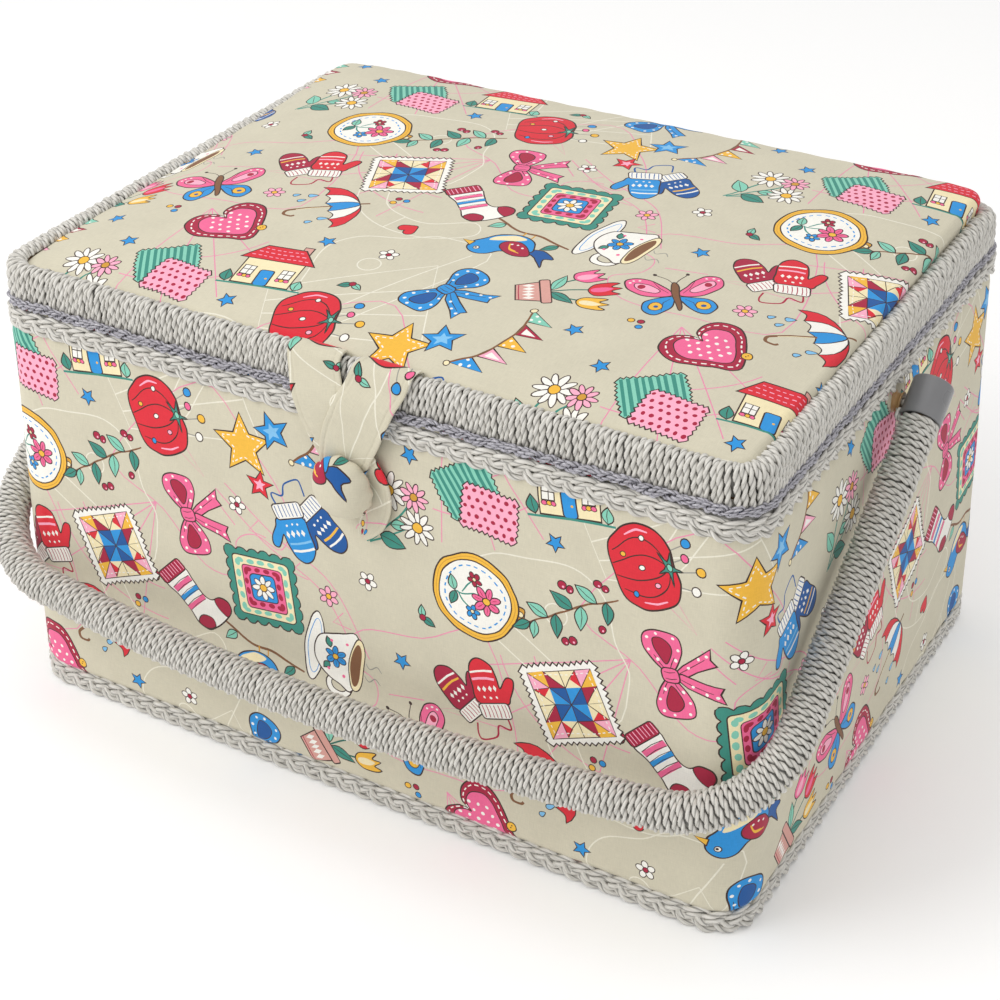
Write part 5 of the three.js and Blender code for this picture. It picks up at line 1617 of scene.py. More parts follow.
# ---------------------------------------------------------------- padded pieces
def inflate(name, hx, hy, cell, height, floor_z, pressure=4.0, cap=4.0, frames=20, up=1):
    """Cloth simulation of a filled pad: a closed grid whose underside and edge are held while the face swells.
    height(x, y) is the starting face. Returns a smooth height function of the swollen face, in mm."""
    nx, ny = int(round(2 * hx / cell)), int(round(2 * hy / cell))
    xs, ys = np.linspace(-hx, hx, nx + 1), np.linspace(-hy, hy, ny + 1)
    gx, gy = np.meshgrid(xs, ys)
    z0 = height(gx, gy)
    n = (nx + 1) * (ny + 1)
    top = np.column_stack([gx.ravel(), gy.ravel(), z0.ravel()])
    low = np.column_stack([gx.ravel(), gy.ravel(), np.full(n, floor_z)])
    idx = np.arange(n).reshape(ny + 1, nx + 1)
    q = np.stack([idx[:-1, :-1], idx[:-1, 1:], idx[1:, 1:], idx[1:, :-1]], -1).reshape(-1, 4)
    rim = np.concatenate([idx[0, :-1], idx[:-1, -1], idx[-1, :0:-1], idx[:0:-1, 0]])
    nxt = np.roll(rim, -1)
    side = np.stack([rim + n, nxt + n, nxt, rim], -1)
    quads = np.vstack([q, q[:, ::-1] + n, side])
    if up < 0:
        quads = quads[:, ::-1]
    ob = mixed(name + "_sim", np.vstack([top, low]), quads, [])
    g = ob.vertex_groups.new(name="held")
    held = np.concatenate([rim, np.arange(n, 2 * n)])
    g.add([int(i) for i in held], 1.0, "REPLACE")
    mod = ob.modifiers.new("cloth", "CLOTH")
    st = mod.settings
    st.quality = 6
    st.mass = 0.3
    st.tension_stiffness = st.compression_stiffness = 25
    st.shear_stiffness = 10
    st.bending_stiffness = 1.0
    st.vertex_group_mass = "held"
    st.use_pressure = True
    st.uniform_pressure_force = pressure
    st.effector_weights.gravity = 0
    mod.collision_settings.use_collision = False
    mod.point_cache.frame_start, mod.point_cache.frame_end = 1, frames
    sc = bpy.context.scene
    for f in range(1, frames + 1):
        sc.frame_set(f)
    ev = ob.evaluated_get(bpy.context.evaluated_depsgraph_get())
    me = ev.to_mesh()
    co = np.empty(len(me.vertices) * 3)
    me.vertices.foreach_get("co", co)
    ev.to_mesh_clear()
    sc.frame_set(1)
    z = co.reshape(-1, 3)[:n, 2].reshape(ny + 1, nx + 1) / MM
    rise = cap * np.tanh((z - z0) * up / cap) 
    data = ob.data
    bpy.data.objects.remove(ob)
    bpy.data.meshes.remove(data)
    print(name, "swelled by", round(float(np.abs(z - z0).max()), 2), "mm, kept", round(float(rise.max()), 2))
    zz = z0 + up * rise
    pad = np.pad(zz, 1, mode="reflect", reflect_type="odd")

    def f(x, y):
        u = np.clip((x - xs[0]) / (xs[1] - xs[0]), 0, nx - 1e-9)
        v = np.clip((y - ys[0]) / (ys[1] - ys[0]), 0, ny - 1e-9)
        i, j = u.astype(int), v.astype(int)
        a, b = u - i, v - j
        wx = [(1 - a) ** 3 / 6, (3 * a ** 3 - 6 * a ** 2 + 4) / 6, (-3 * a ** 3 + 3 * a ** 2 + 3 * a + 1) / 6, a ** 3 / 6]
        wy = [(1 - b) ** 3 / 6, (3 * b ** 3 - 6 * b ** 2 + 4) / 6, (-3 * b ** 3 + 3 * b ** 2 + 3 * b + 1) / 6, b ** 3 / 6]
        out = np.zeros(np.shape(x))
        for m in range(4):
            for k in range(4):
                out += wx[k] * wy[m] * pad[np.minimum(j + m, ny + 2), np.minimum(i + k, nx + 2)]
        return out
    return f


def rounded_outline(hx, hy, r, n=10, cx=0.0, cy=0.0):
    pts = []
    for sx, sy, a0 in ((1, -1, -90), (1, 1, 0), (-1, 1, 90), (-1, -1, 180)):
        for a in np.radians(np.linspace(a0, a0 + 90, n)):
            pts.append((cx + sx * (hx - r) + r * math.cos(a), cy + sy * (hy - r) + r * math.sin(a)))
    return np.array(pts)


def nearest_edge(x, y, hx, hy, r):
    """Signed distance to a rounded rectangle, its nearest boundary point and the outward normal there."""
    ax, ay = np.abs(x) - (hx - r), np.abs(y) - (hy - r)
    sx, sy = np.where(x < 0, -1.0, 1.0), np.where(y < 0, -1.0, 1.0)
    corner = (ax > 0) & (ay > 0)
    length = np.maximum(np.hypot(ax, ay), 1e-9)
    nx = np.where(corner, ax / length, np.where(ax > ay, 1.0, 0.0)) * sx
    ny = np.where(corner, ay / length, np.where(ax > ay, 0.0, 1.0)) * sy
    bx = np.where(corner, sx * (hx - r) + r * nx, np.where(ax > ay, sx * hx, x))
    by = np.where(corner, sy * (hy - r) + r * ny, np.where(ax > ay, y, sy * hy))
    d = np.where(corner, length - r, np.maximum(ax, ay) - r)
    return d, bx, by, nx, ny


PAD_X, PAD_Y, PAD_R, SHOULDER, PAD_LOW = 171.9, 125.7, 9.3, 4.0, 209.7


def pad_start(x, y):
    u, v = np.clip(np.abs(x) / PAD_X, 0, 1), np.clip(np.abs(y) / PAD_Y, 0, 1)
    return 217.6 + 5.0 * (1 - u ** 9.0) ** 0.5 * (1 - v ** 7.0) ** 0.5


pad_height = inflate("lid_pad", PAD_X - 0.6, PAD_Y - 0.6, 6.0, pad_start, PAD_LOW, cap=4.3)


def pad_place(p):
    x, y = p[:, 0], p[:, 1]
    d, bx, by, nx, ny = nearest_edge(x, y, PAD_X - SHOULDER, PAD_Y - SHOULDER, PAD_R - SHOULDER)
    inside = d <= 0
    ex, ey = np.where(inside, x, bx), np.where(inside, y, by)
    z = pad_height(ex, ey)
    # faint pulls where the cloth is tacked round the edge, and slight slackness over the foam
    run = np.where(np.abs(nx) > np.abs(ny), ey, ex)
    z = z + 0.16 * np.exp(np.minimum(d, 0) / 9.0) * np.sin(run * 0.33 + 2.0 * np.sin(run * 0.043))
    z = z + (0.22 * np.sin(ex * 0.031 + 1.7 * np.sin(ey * 0.027)) + 0.16 * np.sin(ey * 0.052 - ex * 0.018 + 1.0)) * np.clip(-d / 25.0, 0, 1)
    # the lid is fuller towards its hinges and pulled flatter at the front and the right
    back = np.clip((ey + 125) / 250, 0, 1)
    z = z - 0.9 + 6.4 * back ** 1.8 * (0.9 + 0.1 * ex / PAD_X) - 0.6 * np.clip(ex / PAD_X, 0, 1) ** 3 * (1 - back)
    z = z - 3.8 * np.exp(-(PAD_X - SHOULDER + ex) / 13) * (1 - 0.6 * back ** 8) - 2.0 * np.exp(-(PAD_Y - SHOULDER + ey) / 12)
    over = np.maximum(d, 0)
    a = np.clip(over / SHOULDER, 0, math.pi / 2)
    low = np.clip((over - SHOULDER * math.pi / 2) / 5.5, 0, 1)
    drop = SHOULDER * (1 - np.cos(a))
    z1 = z - drop
    z1 = z1 + low * (PAD_LOW - z1)
    # below its fullest line the pad tucks in behind the rope
    out = (SHOULDER * np.sin(a) - 1.7 * low ** 0.7) * ~inside
    return np.column_stack([ex + nx * out, ey + ny * out, z1])


reach = SHOULDER * math.pi / 2 + 5.5
pad_outline = rounded_outline(PAD_X - SHOULDER + reach, PAD_Y - SHOULDER + reach, PAD_R - SHOULDER + reach, 9)
steps = np.concatenate([[-14.0, -7.0, -3.0], np.linspace(0, SHOULDER * math.pi / 2, 7), [SHOULDER * math.pi / 2 + 1.4, SHOULDER * math.pi / 2 + 2.8, SHOULDER * math.pi / 2 + 4.2]])
cut_x, cut_y = PAD_X - SHOULDER + steps, PAD_Y - SHOULDER + steps
inner = np.arange(-150.0, 151.0, 12.0)
lid_pad = print_piece("lid_pad", sliced(cloth(pad_outline, shift=(-60, 40)), [*-cut_x, *inner, *cut_x], [*-cut_y, *np.arange(-100.0, 101.0, 12.0), *cut_y]), pad_place)
bm = bmesh.new(); bm.from_mesh(lid_pad.data)
bmesh.ops.holes_fill(bm, edges=[e for e in bm.edges if e.is_boundary], sides=0)
bm.to_mesh(lid_pad.data); bm.free()
lid_pad.data.materials.append(M_COTTON)
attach(lid_pad, "lid"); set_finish(lid_pad, "printed_cotton"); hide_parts("lid_cover", "lid_foam")


# ---------------------------------------------------------------- closure
# the surface the straps lie on, over the rope rim and down the front: (y, z)
OVER = [(-124.9, 213.4), (-125.9, 216.2), (-127.7, 217.1), (-130.2, 216.85), (-132.4, 215.0), (-133.35, 211.3),
        (-133.9, 207.6), (-134.9, 203.8), (-136.0, 200.2), (-136.6, 196.0), (-136.6, 190.0), (-136.3, 181.0),
        (-136.2, 173.0), (-136.2, 165.5), (-136.3, 159.0), (-136.5, 152.5), (-136.7, 147.0), (-136.8, 141.0), (-136.9, 134.0)]
FALL = smooth(OVER, 500)
fall_run = np.concatenate([[0], np.cumsum(np.linalg.norm(np.diff(FALL, axis=0), axis=1))])
fall_dir = unit(np.gradient(FALL, axis=0))
CREST = int(FALL[:, 1].argmax())


def run_at(z):
    """Run along the surface, counted from behind the rope, at height z on the outer side."""
    return np.interp(-np.asarray(z, float), -FALL[CREST:, 1], fall_run[CREST:])


def on_front(x, s, h):
    """The point at x, run s and height h over the straps' surface."""
    back = np.minimum(s, 0.0)
    y = np.interp(s, fall_run, FALL[:, 0]) + back * fall_dir[0, 0]
    z = np.interp(s, fall_run, FALL[:, 1]) + back * fall_dir[0, 1]
    d = unit(np.column_stack([np.interp(s, fall_run, fall_dir[:, 0]), np.interp(s, fall_run, fall_dir[:, 1])]))
    return np.column_stack([x, y + h * d[:, 1], z - h * d[:, 0]])


def strap(name, spine, thick, shift, angle, lift):
    """A flat folded strap of the print along spine (x, run, width). Its section is a slim stadium with the seam at
    the back; lift(run) raises it over what lies below it."""
    both = smooth(np.asarray(spine, float), 200)
    line, wid = both[:, :2], both[:, 2]
    t = unit(np.gradient(line, axis=0))
    nn = np.column_stack([t[:, 1], -t[:, 0]])
    run = np.concatenate([[0], np.cumsum(np.linalg.norm(np.diff(line, axis=0), axis=1))])
    w0 = float(wid.max())
    flat0 = w0 - thick
    arc = math.pi * thick / 2
    q_len = 2 * flat0 + 2 * arc

    def place(p):
        q, v = np.clip(p[:, 0], 0, q_len), p[:, 1]
        cx_, cs = np.interp(v, run, line[:, 0]), np.interp(v, run, line[:, 1])
        n_ = unit(np.column_stack([np.interp(v, run, nn[:, 0]), np.interp(v, run, nn[:, 1])]))
        w = np.maximum(np.interp(v, run, wid) - thick, 0.05)
        x = np.zeros(len(q)); h = np.zeros(len(q))
        r = thick / 2
        a = flat0 / 2
        s1 = q < a                                    # back, from the middle to the left edge
        x[s1] = -q[s1] / a * (w[s1] / 2); h[s1] = -r
        s2 = (q >= a) & (q < a + arc)
        th = (q[s2] - a) / arc * math.pi
        x[s2] = -w[s2] / 2 - r * np.sin(th); h[s2] = -r * np.cos(th)
        s3 = (q >= a + arc) & (q < a + arc + flat0)
        x[s3] = -w[s3] / 2 + (q[s3] - a - arc) / flat0 * w[s3]; h[s3] = r
        s4 = (q >= a + arc + flat0) & (q < a + 2 * arc + flat0)
        th = (q[s4] - a - arc - flat0) / arc * math.pi
        x[s4] = w[s4] / 2 + r * np.sin(th); h[s4] = r * np.cos(th)
        s5 = q >= a + 2 * arc + flat0
        x[s5] = w[s5] / 2 - (q[s5] - a - 2 * arc - flat0) / a * (w[s5] / 2); h[s5] = -r
        # edge stitching pulls the cloth down in a line near each edge, and the face is a little uneven
        front = s3.astype(float)
        near = w / 2 - 1.9
        h = h - front * 0.30 * (np.exp(-((np.abs(x) - near) / 0.45) ** 2)) * (0.75 + 0.25 * np.sin(v * 2 * math.pi / 2.6))
        h = h + front * 0.14 * np.sin(v * 0.21 + x * 0.11 + shift[0]) * np.clip((w / 2 - np.abs(x)) / 2.5, 0, 1)
        px, ps = cx_ + x * n_[:, 0], cs + x * n_[:, 1]
        return on_front(px, ps, h + lift(ps))

    outline = [(0, 0), (q_len, 0), (q_len, run[-1]), (0, run[-1])]
    mid = flat0 / 2
    fold = [mid + arc * i / 6 for i in range(7)]
    face = mid + arc + np.concatenate([np.linspace(0.9, 2.9, 6), np.linspace(4.5, flat0 - 4.5, 7), flat0 - np.linspace(0.9, 2.9, 6)])
    other = [mid + arc + flat0 + arc * i / 6 for i in range(7)]
    rows_ = np.arange(0.85, run[-1], 0.86)
    ob = print_piece(name, sliced(cloth(outline, shift, angle), [mid / 2, *fold, *face, *other, mid * 1.5 + 2 * arc + flat0], rows_), place)
    ob.data.materials.append(M_COTTON)
    return ob, place, (flat0, arc, run[-1])


def rows(start, table):
    return [(start[0], 0.0, start[1])] + [(x, float(run_at(z)), w) for z, x, w in table]


left = rows((-12.0, 24.6), [(216.2, -11.8, 24.6), (211, -11.2, 24.6), (203.8, -9.6, 24.6), (196, -7.2, 24.6), (190, -4.8, 24.6), (181, 0.2, 24.8),
                            (173, 6.2, 24.8), (165.5, 11.4, 24.2), (158, 14.0, 22.0), (150, 13.9, 17.0), (144, 12.2, 11.0), (139.5, 10.4, 4.5)])
right = rows((22.4, 25.4), [(216.2, 20.8, 25.4), (211, 18.6, 25.4), (205, 16.0, 25.4), (201, 14.2, 25.4), (196, 11.8, 25.4), (190, 9.4, 25.2),
                            (183, 6.2, 24.8), (175, 3.6, 23.2), (168, 2.2, 20.5), (162, 1.6, 17.0)])
LIFT0, LIFT1 = float(run_at(208.5)), float(run_at(201.5))


def flat_lift(s):
    return 0.0 * s


def over_lift(s):
    q = np.clip((s - LIFT0) / (LIFT1 - LIFT0), 0, 1)
    return 1.3 * q * q * (3 - 2 * q)


for name, spine, sh, ang, lift in (("closure_strap_under", left, (19.1, 145.2), -8.4, flat_lift), ("closure_strap_over", right, (222.6, 32.6), 24.4, over_lift)):
    ob, pl, dims = strap(name, spine, 1.2, sh, ang, lift)
    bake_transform(ob)
    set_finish(ob, "printed_cotton")
    print(name, "cut", round(2 * dims[0] + 2 * dims[1], 1), "x", round(dims[2], 1), "mm")
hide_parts("closure_loop", "closure_tab")

CLOSURE_X, BUTTON_Z = 5.0, 163.8
DOME = smooth([(0, 10.6), (3.6, 10.45), (7.2, 9.6), (10.7, 7.7), (13.0, 4.9), (13.8, 2.6), (13.2, 0.9), (11.6, 0.2), (10.0, 0.1)], 60)
dome_run = np.concatenate([[0], np.cumsum(np.linalg.norm(np.diff(DOME, axis=0), axis=1))])


def dome_place(p):
    l = np.hypot(p[:, 0], p[:, 1])
    a = np.arctan2(p[:, 1], p[:, 0])
    r, h = np.interp(l, dome_run, DOME[:, 0]), np.interp(l, dome_run, DOME[:, 1])
    # the cloth is gathered behind the button, so pleats fade in towards the edge
    edge = np.clip((l - 9) / 10, 0, 1) ** 2
    pleat = 0.42 * np.sin(a * 13 + 1.4 * np.sin(a * 2 + 0.7)) + 0.25 * np.sin(a * 7 + 2)
    soft = 0.35 * np.sin(p[:, 0] * 0.22 + 1) * np.cos(p[:, 1] * 0.19)
    r = r + edge * pleat
    h = h + soft * np.clip(1 - l / 16, 0, 1) + 0.25 * edge * pleat
    return np.column_stack([CLOSURE_X + r * np.cos(a), -138.75 - h, BUTTON_Z + r * np.sin(a)])


rim_pts = [(dome_run[-1] * math.cos(a), dome_run[-1] * math.sin(a)) for a in np.linspace(0, 2 * math.pi, 49)[:-1]]
grid = np.arange(-22.4, 22.5, 1.6)
button = print_piece("closure_button_cover", sliced(cloth(rim_pts, shift=(133.4, 85.5), angle=2.3), grid, grid), dome_place)
bm = bmesh.new(); bm.from_mesh(button.data)
bmesh.ops.holes_fill(bm, edges=[e for e in bm.edges if e.is_boundary], sides=0)
bm.to_mesh(button.data); bm.free()
button.data.materials.append(M_COTTON)
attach(button, "box"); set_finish(button, "printed_cotton"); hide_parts("closure_button")


# ---------------------------------------------------------------- inside, hardware
def clean_up(ob, weld=0.004):
    bm = bmesh.new(); bm.from_mesh(ob.data)
    bmesh.ops.remove_doubles(bm, verts=bm.verts, dist=weld * MM)
    bmesh.ops.recalc_face_normals(bm, faces=bm.faces)
    bm.to_mesh(ob.data); bm.free()
    ob.data.update()
    return ob


def loop_of(poly, r, n):
    """n points evenly spaced round a polygon (anticlockwise) with rounded corners, and the outward normals."""
    poly = [np.array(p, float) for p in poly]
    k = len(poly)
    dense = []
    for i in range(k):
        a, b, c = poly[i - 1], poly[i], poly[(i + 1) % k]
        u, w = a - b, c - b
        lu, lw = np.linalg.norm(u), np.linalg.norm(w)
        rad = min(r, lu * 0.49, lw * 0.49)
        p, q = b + u / lu * rad, b + w / lw * rad
        for t in np.linspace(0, 1, 9):
            dense.append((1 - t) ** 2 * p + 2 * t * (1 - t) * b + t * t * q)
    dense = np.array(dense)
    ext = np.vstack([dense, dense[:1]])
    run = np.concatenate([[0], np.cumsum(np.linalg.norm(np.diff(ext, axis=0), axis=1))])
    at = np.linspace(0, run[-1], n + 1)[:-1]
    pts = np.column_stack([np.interp(at, run, ext[:, i]) for i in (0, 1)])
    t = unit(np.roll(pts, -1, 0) - np.roll(pts, 1, 0))
    return pts, np.column_stack([t[:, 1], -t[:, 0]]), at


def chamfered(hx, hy, c):
    return [(hx - c, -hy), (hx, -hy + c), (hx, hy - c), (hx - c, hy), (-hx + c, hy), (-hx, hy - c), (-hx, -hy + c), (-hx + c, -hy)]


def band_sweep(name, pts, nrm, prof, extra=None):
    """Closed band: prof lists (distance out, height) round its section; extra(i, k) may change them."""
    n, m = len(pts), len(prof)
    out = np.repeat(prof[None, :, 0], n, 0)
    z = np.repeat(prof[None, :, 1], n, 0)
    if extra is not None:
        out, z = extra(out, z)
    v = np.concatenate([pts[:, None] + nrm[:, None] * out[..., None], z[..., None]], -1)
    idx = np.arange(n * m).reshape(n, m)
    nx = np.roll(idx, -1, 0)
    q = np.stack([idx, nx, np.roll(nx, -1, 1), np.roll(idx, -1, 1)], -1).reshape(-1, 4)
    return clean_up(mixed(name, v.reshape(-1, 3), q, []), 0.001)


def filled(outline, holes=(), step=None):
    """Triangles of a flat region with holes, with an even grid of points inside when step is given."""
    outline = np.asarray(outline, float)
    pts, edges = [], []
    for loop in [outline, *[np.asarray(h, float) for h in holes]]:
        k = len(pts)
        pts += [tuple(p) for p in loop]
        edges += [(k + i, k + (i + 1) % len(loop)) for i in range(len(loop))]
    if step:
        lo, hi = outline.min(0), outline.max(0)
        gx, gy = np.meshgrid(np.arange(lo[0] + step / 2, hi[0], step), np.arange(lo[1] + step / 2, hi[1], step))
        g = np.column_stack([gx.ravel(), gy.ravel()])
        d = np.full(len(g), 1e9)
        a, b = outline, np.roll(outline, -1, 0)
        for p, q in zip(a, b):
            e = q - p
            t = np.clip(((g - p) @ e) / max(e @ e, 1e-9), 0, 1)
            d = np.minimum(d, np.linalg.norm(g - p - t[:, None] * e, axis=1))
        pts += [tuple(p) for p in g[d > step * 0.4]]
    v, _, f, _, _, _ = delaunay_2d_cdt([Vector(p) for p in pts], edges, [], 0, 1e-6, False)
    v = np.array([(p.x, p.y) for p in v])
    f = np.array([t for t in f if len(t) == 3], int)
    mid = v[f].mean(1)

    def inside(loop):
        loop = np.asarray(loop, float)
        x0, y0 = loop[:, 0][None], loop[:, 1][None]
        x1, y1 = np.roll(loop[:, 0], -1)[None], np.roll(loop[:, 1], -1)[None]
        x, y = mid[:, 0:1], mid[:, 1:2]
        cr = ((y0 > y) != (y1 > y)) & (x < (x1 - x0) * (y - y0) / np.where(y1 == y0, 1e-12, y1 - y0) + x0)
        return cr.sum(1) % 2 == 1
    keep = inside(outline)
    for h in holes:
        keep &= ~inside(h)
    f = f[keep]
    used, f = np.unique(f, return_inverse=True)
    return v[used], f.reshape(-1, 3)


def plate(name, outline, face, back, step, side=()):
    """Closed piece: face(x, y) is one surface and back(x, y) the other, joined round the outline."""
    outline = np.asarray(outline, float)
    v2, f = filled(outline, (), step)
    a = np.column_stack([v2, face(v2[:, 0], v2[:, 1])])
    b = np.column_stack([v2, back(v2[:, 0], v2[:, 1])])
    n = len(v2)
    e = np.vstack([f[:, [0, 1]], f[:, [1, 2]], f[:, [2, 0]]])
    key = {}
    for p, q in e:
        key[(min(p, q), max(p, q))] = key.get((min(p, q), max(p, q)), 0) + 1
    rim = [(p, q) for p, q in e if key[(min(p, q), max(p, q))] == 1]
    quads = [(p, q, q + n, p + n) for p, q in rim]
    return clean_up(mixed(name, np.vstack([a, b]), quads, np.vstack([f, f[:, ::-1] + n])), 0.0005)


def sharp_by_angle(ob, deg=35):
    bm = bmesh.new(); bm.from_mesh(ob.data)
    for e in bm.edges:
        e.smooth = not (len(e.link_faces) == 2 and e.calc_face_angle(0) > math.radians(deg))
    bm.to_mesh(ob.data); bm.free()
    return ob


def rounded_box(name, lo, hi, r, seg=3):
    lo, hi = np.array(lo, float) * MM, np.array(hi, float) * MM
    bm = bmesh.new()
    bmesh.ops.create_cube(bm, size=1)
    for v in bm.verts:
        for i in range(3):
            v.co[i] = (lo[i] + hi[i]) / 2 + v.co[i] * (hi[i] - lo[i])
    bmesh.ops.bevel(bm, geom=bm.edges[:], offset=r * MM, segments=seg, profile=0.5, affect="EDGES")
    for f in bm.faces:
        f.smooth = True
    me = bpy.data.meshes.new(name)
    bm.to_mesh(me); bm.free()
    ob = bpy.data.objects.new(name, me)
    bpy.context.scene.collection.objects.link(ob)
    return ob


def soft_material(name, rgb, rough=0.6, sheen=0.3, bump=0.25, fine=(1500.0, 1500.0, 1500.0), mottled=0.05, distance=0.00006, spec=0.4, tint=None):
    """Cloth without a print: fine stretched threads and a soft unevenness."""
    m, nt, b = material(name)
    tc = node(nt, "ShaderNodeTexCoord")
    mp = node(nt, "ShaderNodeMapping"); mp.inputs["Scale"].default_value = fine
    nt.links.new(tc.outputs["Object"], mp.inputs["Vector"])
    mp2 = node(nt, "ShaderNodeMapping"); mp2.inputs["Scale"].default_value = (fine[1], fine[0], fine[2])
    nt.links.new(tc.outputs["Object"], mp2.inputs["Vector"])
    n1 = node(nt, "ShaderNodeTexNoise", in_Scale=1.0, in_Detail=2.0)
    n2 = node(nt, "ShaderNodeTexNoise", in_Scale=1.0, in_Detail=2.0)
    n3 = node(nt, "ShaderNodeTexNoise", in_Scale=24.0, in_Detail=4.0)
    nt.links.new(mp.outputs[0], n1.inputs["Vector"]); nt.links.new(mp2.outputs[0], n2.inputs["Vector"]); nt.links.new(tc.outputs["Object"], n3.inputs["Vector"])
    add = node(nt, "ShaderNodeMath", operation="ADD")
    nt.links.new(n1.outputs["Fac"], add.inputs[0]); nt.links.new(n2.outputs["Fac"], add.inputs[1])
    half = node(nt, "ShaderNodeMath", operation="MULTIPLY"); half.inputs[1].default_value = 0.25
    nt.links.new(add.outputs[0], half.inputs[0])
    mix = node(nt, "ShaderNodeMath", operation="MULTIPLY_ADD"); mix.inputs[1].default_value = 0.5
    nt.links.new(n3.outputs["Fac"], mix.inputs[0]); nt.links.new(half.outputs[0], mix.inputs[2])
    ramp = node(nt, "ShaderNodeValToRGB")
    e = ramp.color_ramp.elements
    base = to_linear(rgb)
    e[0].position, e[0].color = 0.32, (*np.clip(base * (1 - 2.2 * mottled), 0, 1), 1)
    e[1].position, e[1].color = 0.68, (*np.clip(base * (1 + 1.6 * mottled) if tint is None else to_linear(tint), 0, 1), 1)
    nt.links.new(mix.outputs[0], ramp.inputs["Fac"]); nt.links.new(ramp.outputs["Color"], b.inputs["Base Color"])
    bp = node(nt, "ShaderNodeBump"); bp.inputs["Strength"].default_value = bump; bp.inputs["Distance"].default_value = distance
    nt.links.new(add.outputs[0], bp.inputs["Height"]); nt.links.new(bp.outputs[0], b.inputs["Normal"])
    rr = node(nt, "ShaderNodeMapRange"); rr.inputs["From Min"].default_value = 0.3; rr.inputs["From Max"].default_value = 0.7
    rr.inputs["To Min"].default_value = rough - 0.06; rr.inputs["To Max"].default_value = rough + 0.06
    nt.links.new(n3.outputs["Fac"], rr.inputs["Value"]); nt.links.new(rr.outputs[0], b.inputs["Roughness"])
    b.inputs["Sheen Weight"].default_value = sheen
    b.inputs["Sheen Roughness"].default_value = 0.4
    b.inputs["Specular IOR Level"].default_value = spec
    return m


def metal_material(name, rgb, rough=0.3):
    m, nt, b = material(name)
    tc = node(nt, "ShaderNodeTexCoord")
    mp = node(nt, "ShaderNodeMapping"); mp.inputs["Scale"].default_value = (240.0, 2600.0, 2600.0)
    nt.links.new(tc.outputs["Object"], mp.inputs["Vector"])
    n1 = node(nt, "ShaderNodeTexNoise", in_Scale=1.0, in_Detail=3.0)
    nt.links.new(mp.outputs[0], n1.inputs["Vector"])
    n2 = node(nt, "ShaderNodeTexNoise", in_Scale=160.0, in_Detail=4.0)
    nt.links.new(tc.outputs["Object"], n2.inputs["Vector"])
    ramp = node(nt, "ShaderNodeValToRGB")
    e = ramp.color_ramp.elements
    base = to_linear(rgb)
    e[0].position, e[0].color = 0.3, (*(base * 0.8), 1)
    e[1].position, e[1].color = 0.7, (*np.clip(base * 1.1, 0, 1), 1)
    nt.links.new(n2.outputs["Fac"], ramp.inputs["Fac"]); nt.links.new(ramp.outputs["Color"], b.inputs["Base Color"])
    rr = node(nt, "ShaderNodeMapRange"); rr.inputs["From Min"].default_value = 0.25; rr.inputs["From Max"].default_value = 0.75
    rr.inputs["To Min"].default_value = rough - 0.08; rr.inputs["To Max"].default_value = rough + 0.12
    nt.links.new(n1.outputs["Fac"], rr.inputs["Value"]); nt.links.new(rr.outputs[0], b.inputs["Roughness"])
    bp = node(nt, "ShaderNodeBump"); bp.inputs["Strength"].default_value = 0.12; bp.inputs["Distance"].default_value = 0.00002
    nt.links.new(n1.outputs["Fac"], bp.inputs["Height"]); nt.links.new(bp.outputs[0], b.inputs["Normal"])
    b.inputs["Metallic"].default_value = 1.0
    return m


M_LINING = soft_material("satin_lining", (226, 221, 208), 0.42, 0.25, 0.22, (300.0, 3400.0, 3400.0), 0.03, 0.00004, 0.5)
M_RIBBON = soft_material("grosgrain_ribbon", (196, 192, 184), 0.5, 0.3, 0.5, (180.0, 2600.0, 2600.0), 0.05, 0.0001, 0.45)
M_VELVET = soft_material("velvet", (172, 38, 70), 0.85, 0.9, 0.5, (1900.0, 1900.0, 1900.0), 0.12, 0.00015, 0.15)
M_FELT = soft_material("base_felt", (52, 52, 55), 0.95, 0.5, 0.8, (1400.0, 1400.0, 1400.0), 0.16, 0.0002, 0.1)
M_BOARD = soft_material("hardboard", (122, 92, 62), 0.75, 0.0, 0.3, (500.0, 900.0, 900.0), 0.10, 0.0001, 0.3)
M_CANE = soft_material("cane_core", (178, 148, 104), 0.55, 0.0, 0.4, (900.0, 120.0, 120.0), 0.10, 0.0001, 0.4)
M_TRAY = plastic_material("tray_plastic", (233, 230, 222), 0.36, 0.03, 700.0, 0.45, 0.012)
M_SPACER = plastic_material("tan_spacer", (168, 132, 88), 0.36, 0.2, 700.0)
M_STEEL = metal_material("nickelled_steel", (196, 194, 188))


def finish_piece(ob, mat, body, slot_name, *nodes):
    ob.data.materials.clear()
    ob.data.materials.append(mat)
    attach(ob, body)
    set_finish(ob, slot_name)
    if nodes:
        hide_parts(*nodes)
    return ob


# lining of the box: wall and floor
pts, nrm, run = loop_of(chamfered(HX - 7.8, HY - 7.8, 8.8), 3.0, 900)
prof = np.array([(-0.92, 6.3), (-0.92, 185.6), (-0.98, 186.6), (-0.80, 187.3), (-0.45, 187.5), (-0.10, 187.1), (-0.06, 186.0), (-0.06, 6.3), (-0.3, 5.9), (-0.7, 5.9)])
rows = np.concatenate([[6.3], np.linspace(12, 183.5, 26), [185.6]])
prof = np.vstack([np.column_stack([np.full(len(rows), -0.92), rows]), prof[2:]])


def lining_waves(out, z):
    wave = 0.09 * np.sin(run[:, None] * 0.16 + 1.3 * np.sin(z * 0.03)) + 0.05 * np.sin(run[:, None] * 0.41 + z * 0.06)
    edge = 0.07 * np.sin(run[:, None] * 0.9) * np.exp(-((z - 184.5) / 3.0) ** 2)
    inner = (out < -0.85) & (z < 186)
    return out - np.where(inner, 0.08 + wave + edge, 0), z


lining_wall = band_sweep("lining_wall", pts, nrm, prof, lining_waves)
finish_piece(lining_wall, M_LINING, "box", "lining", "body_lining")


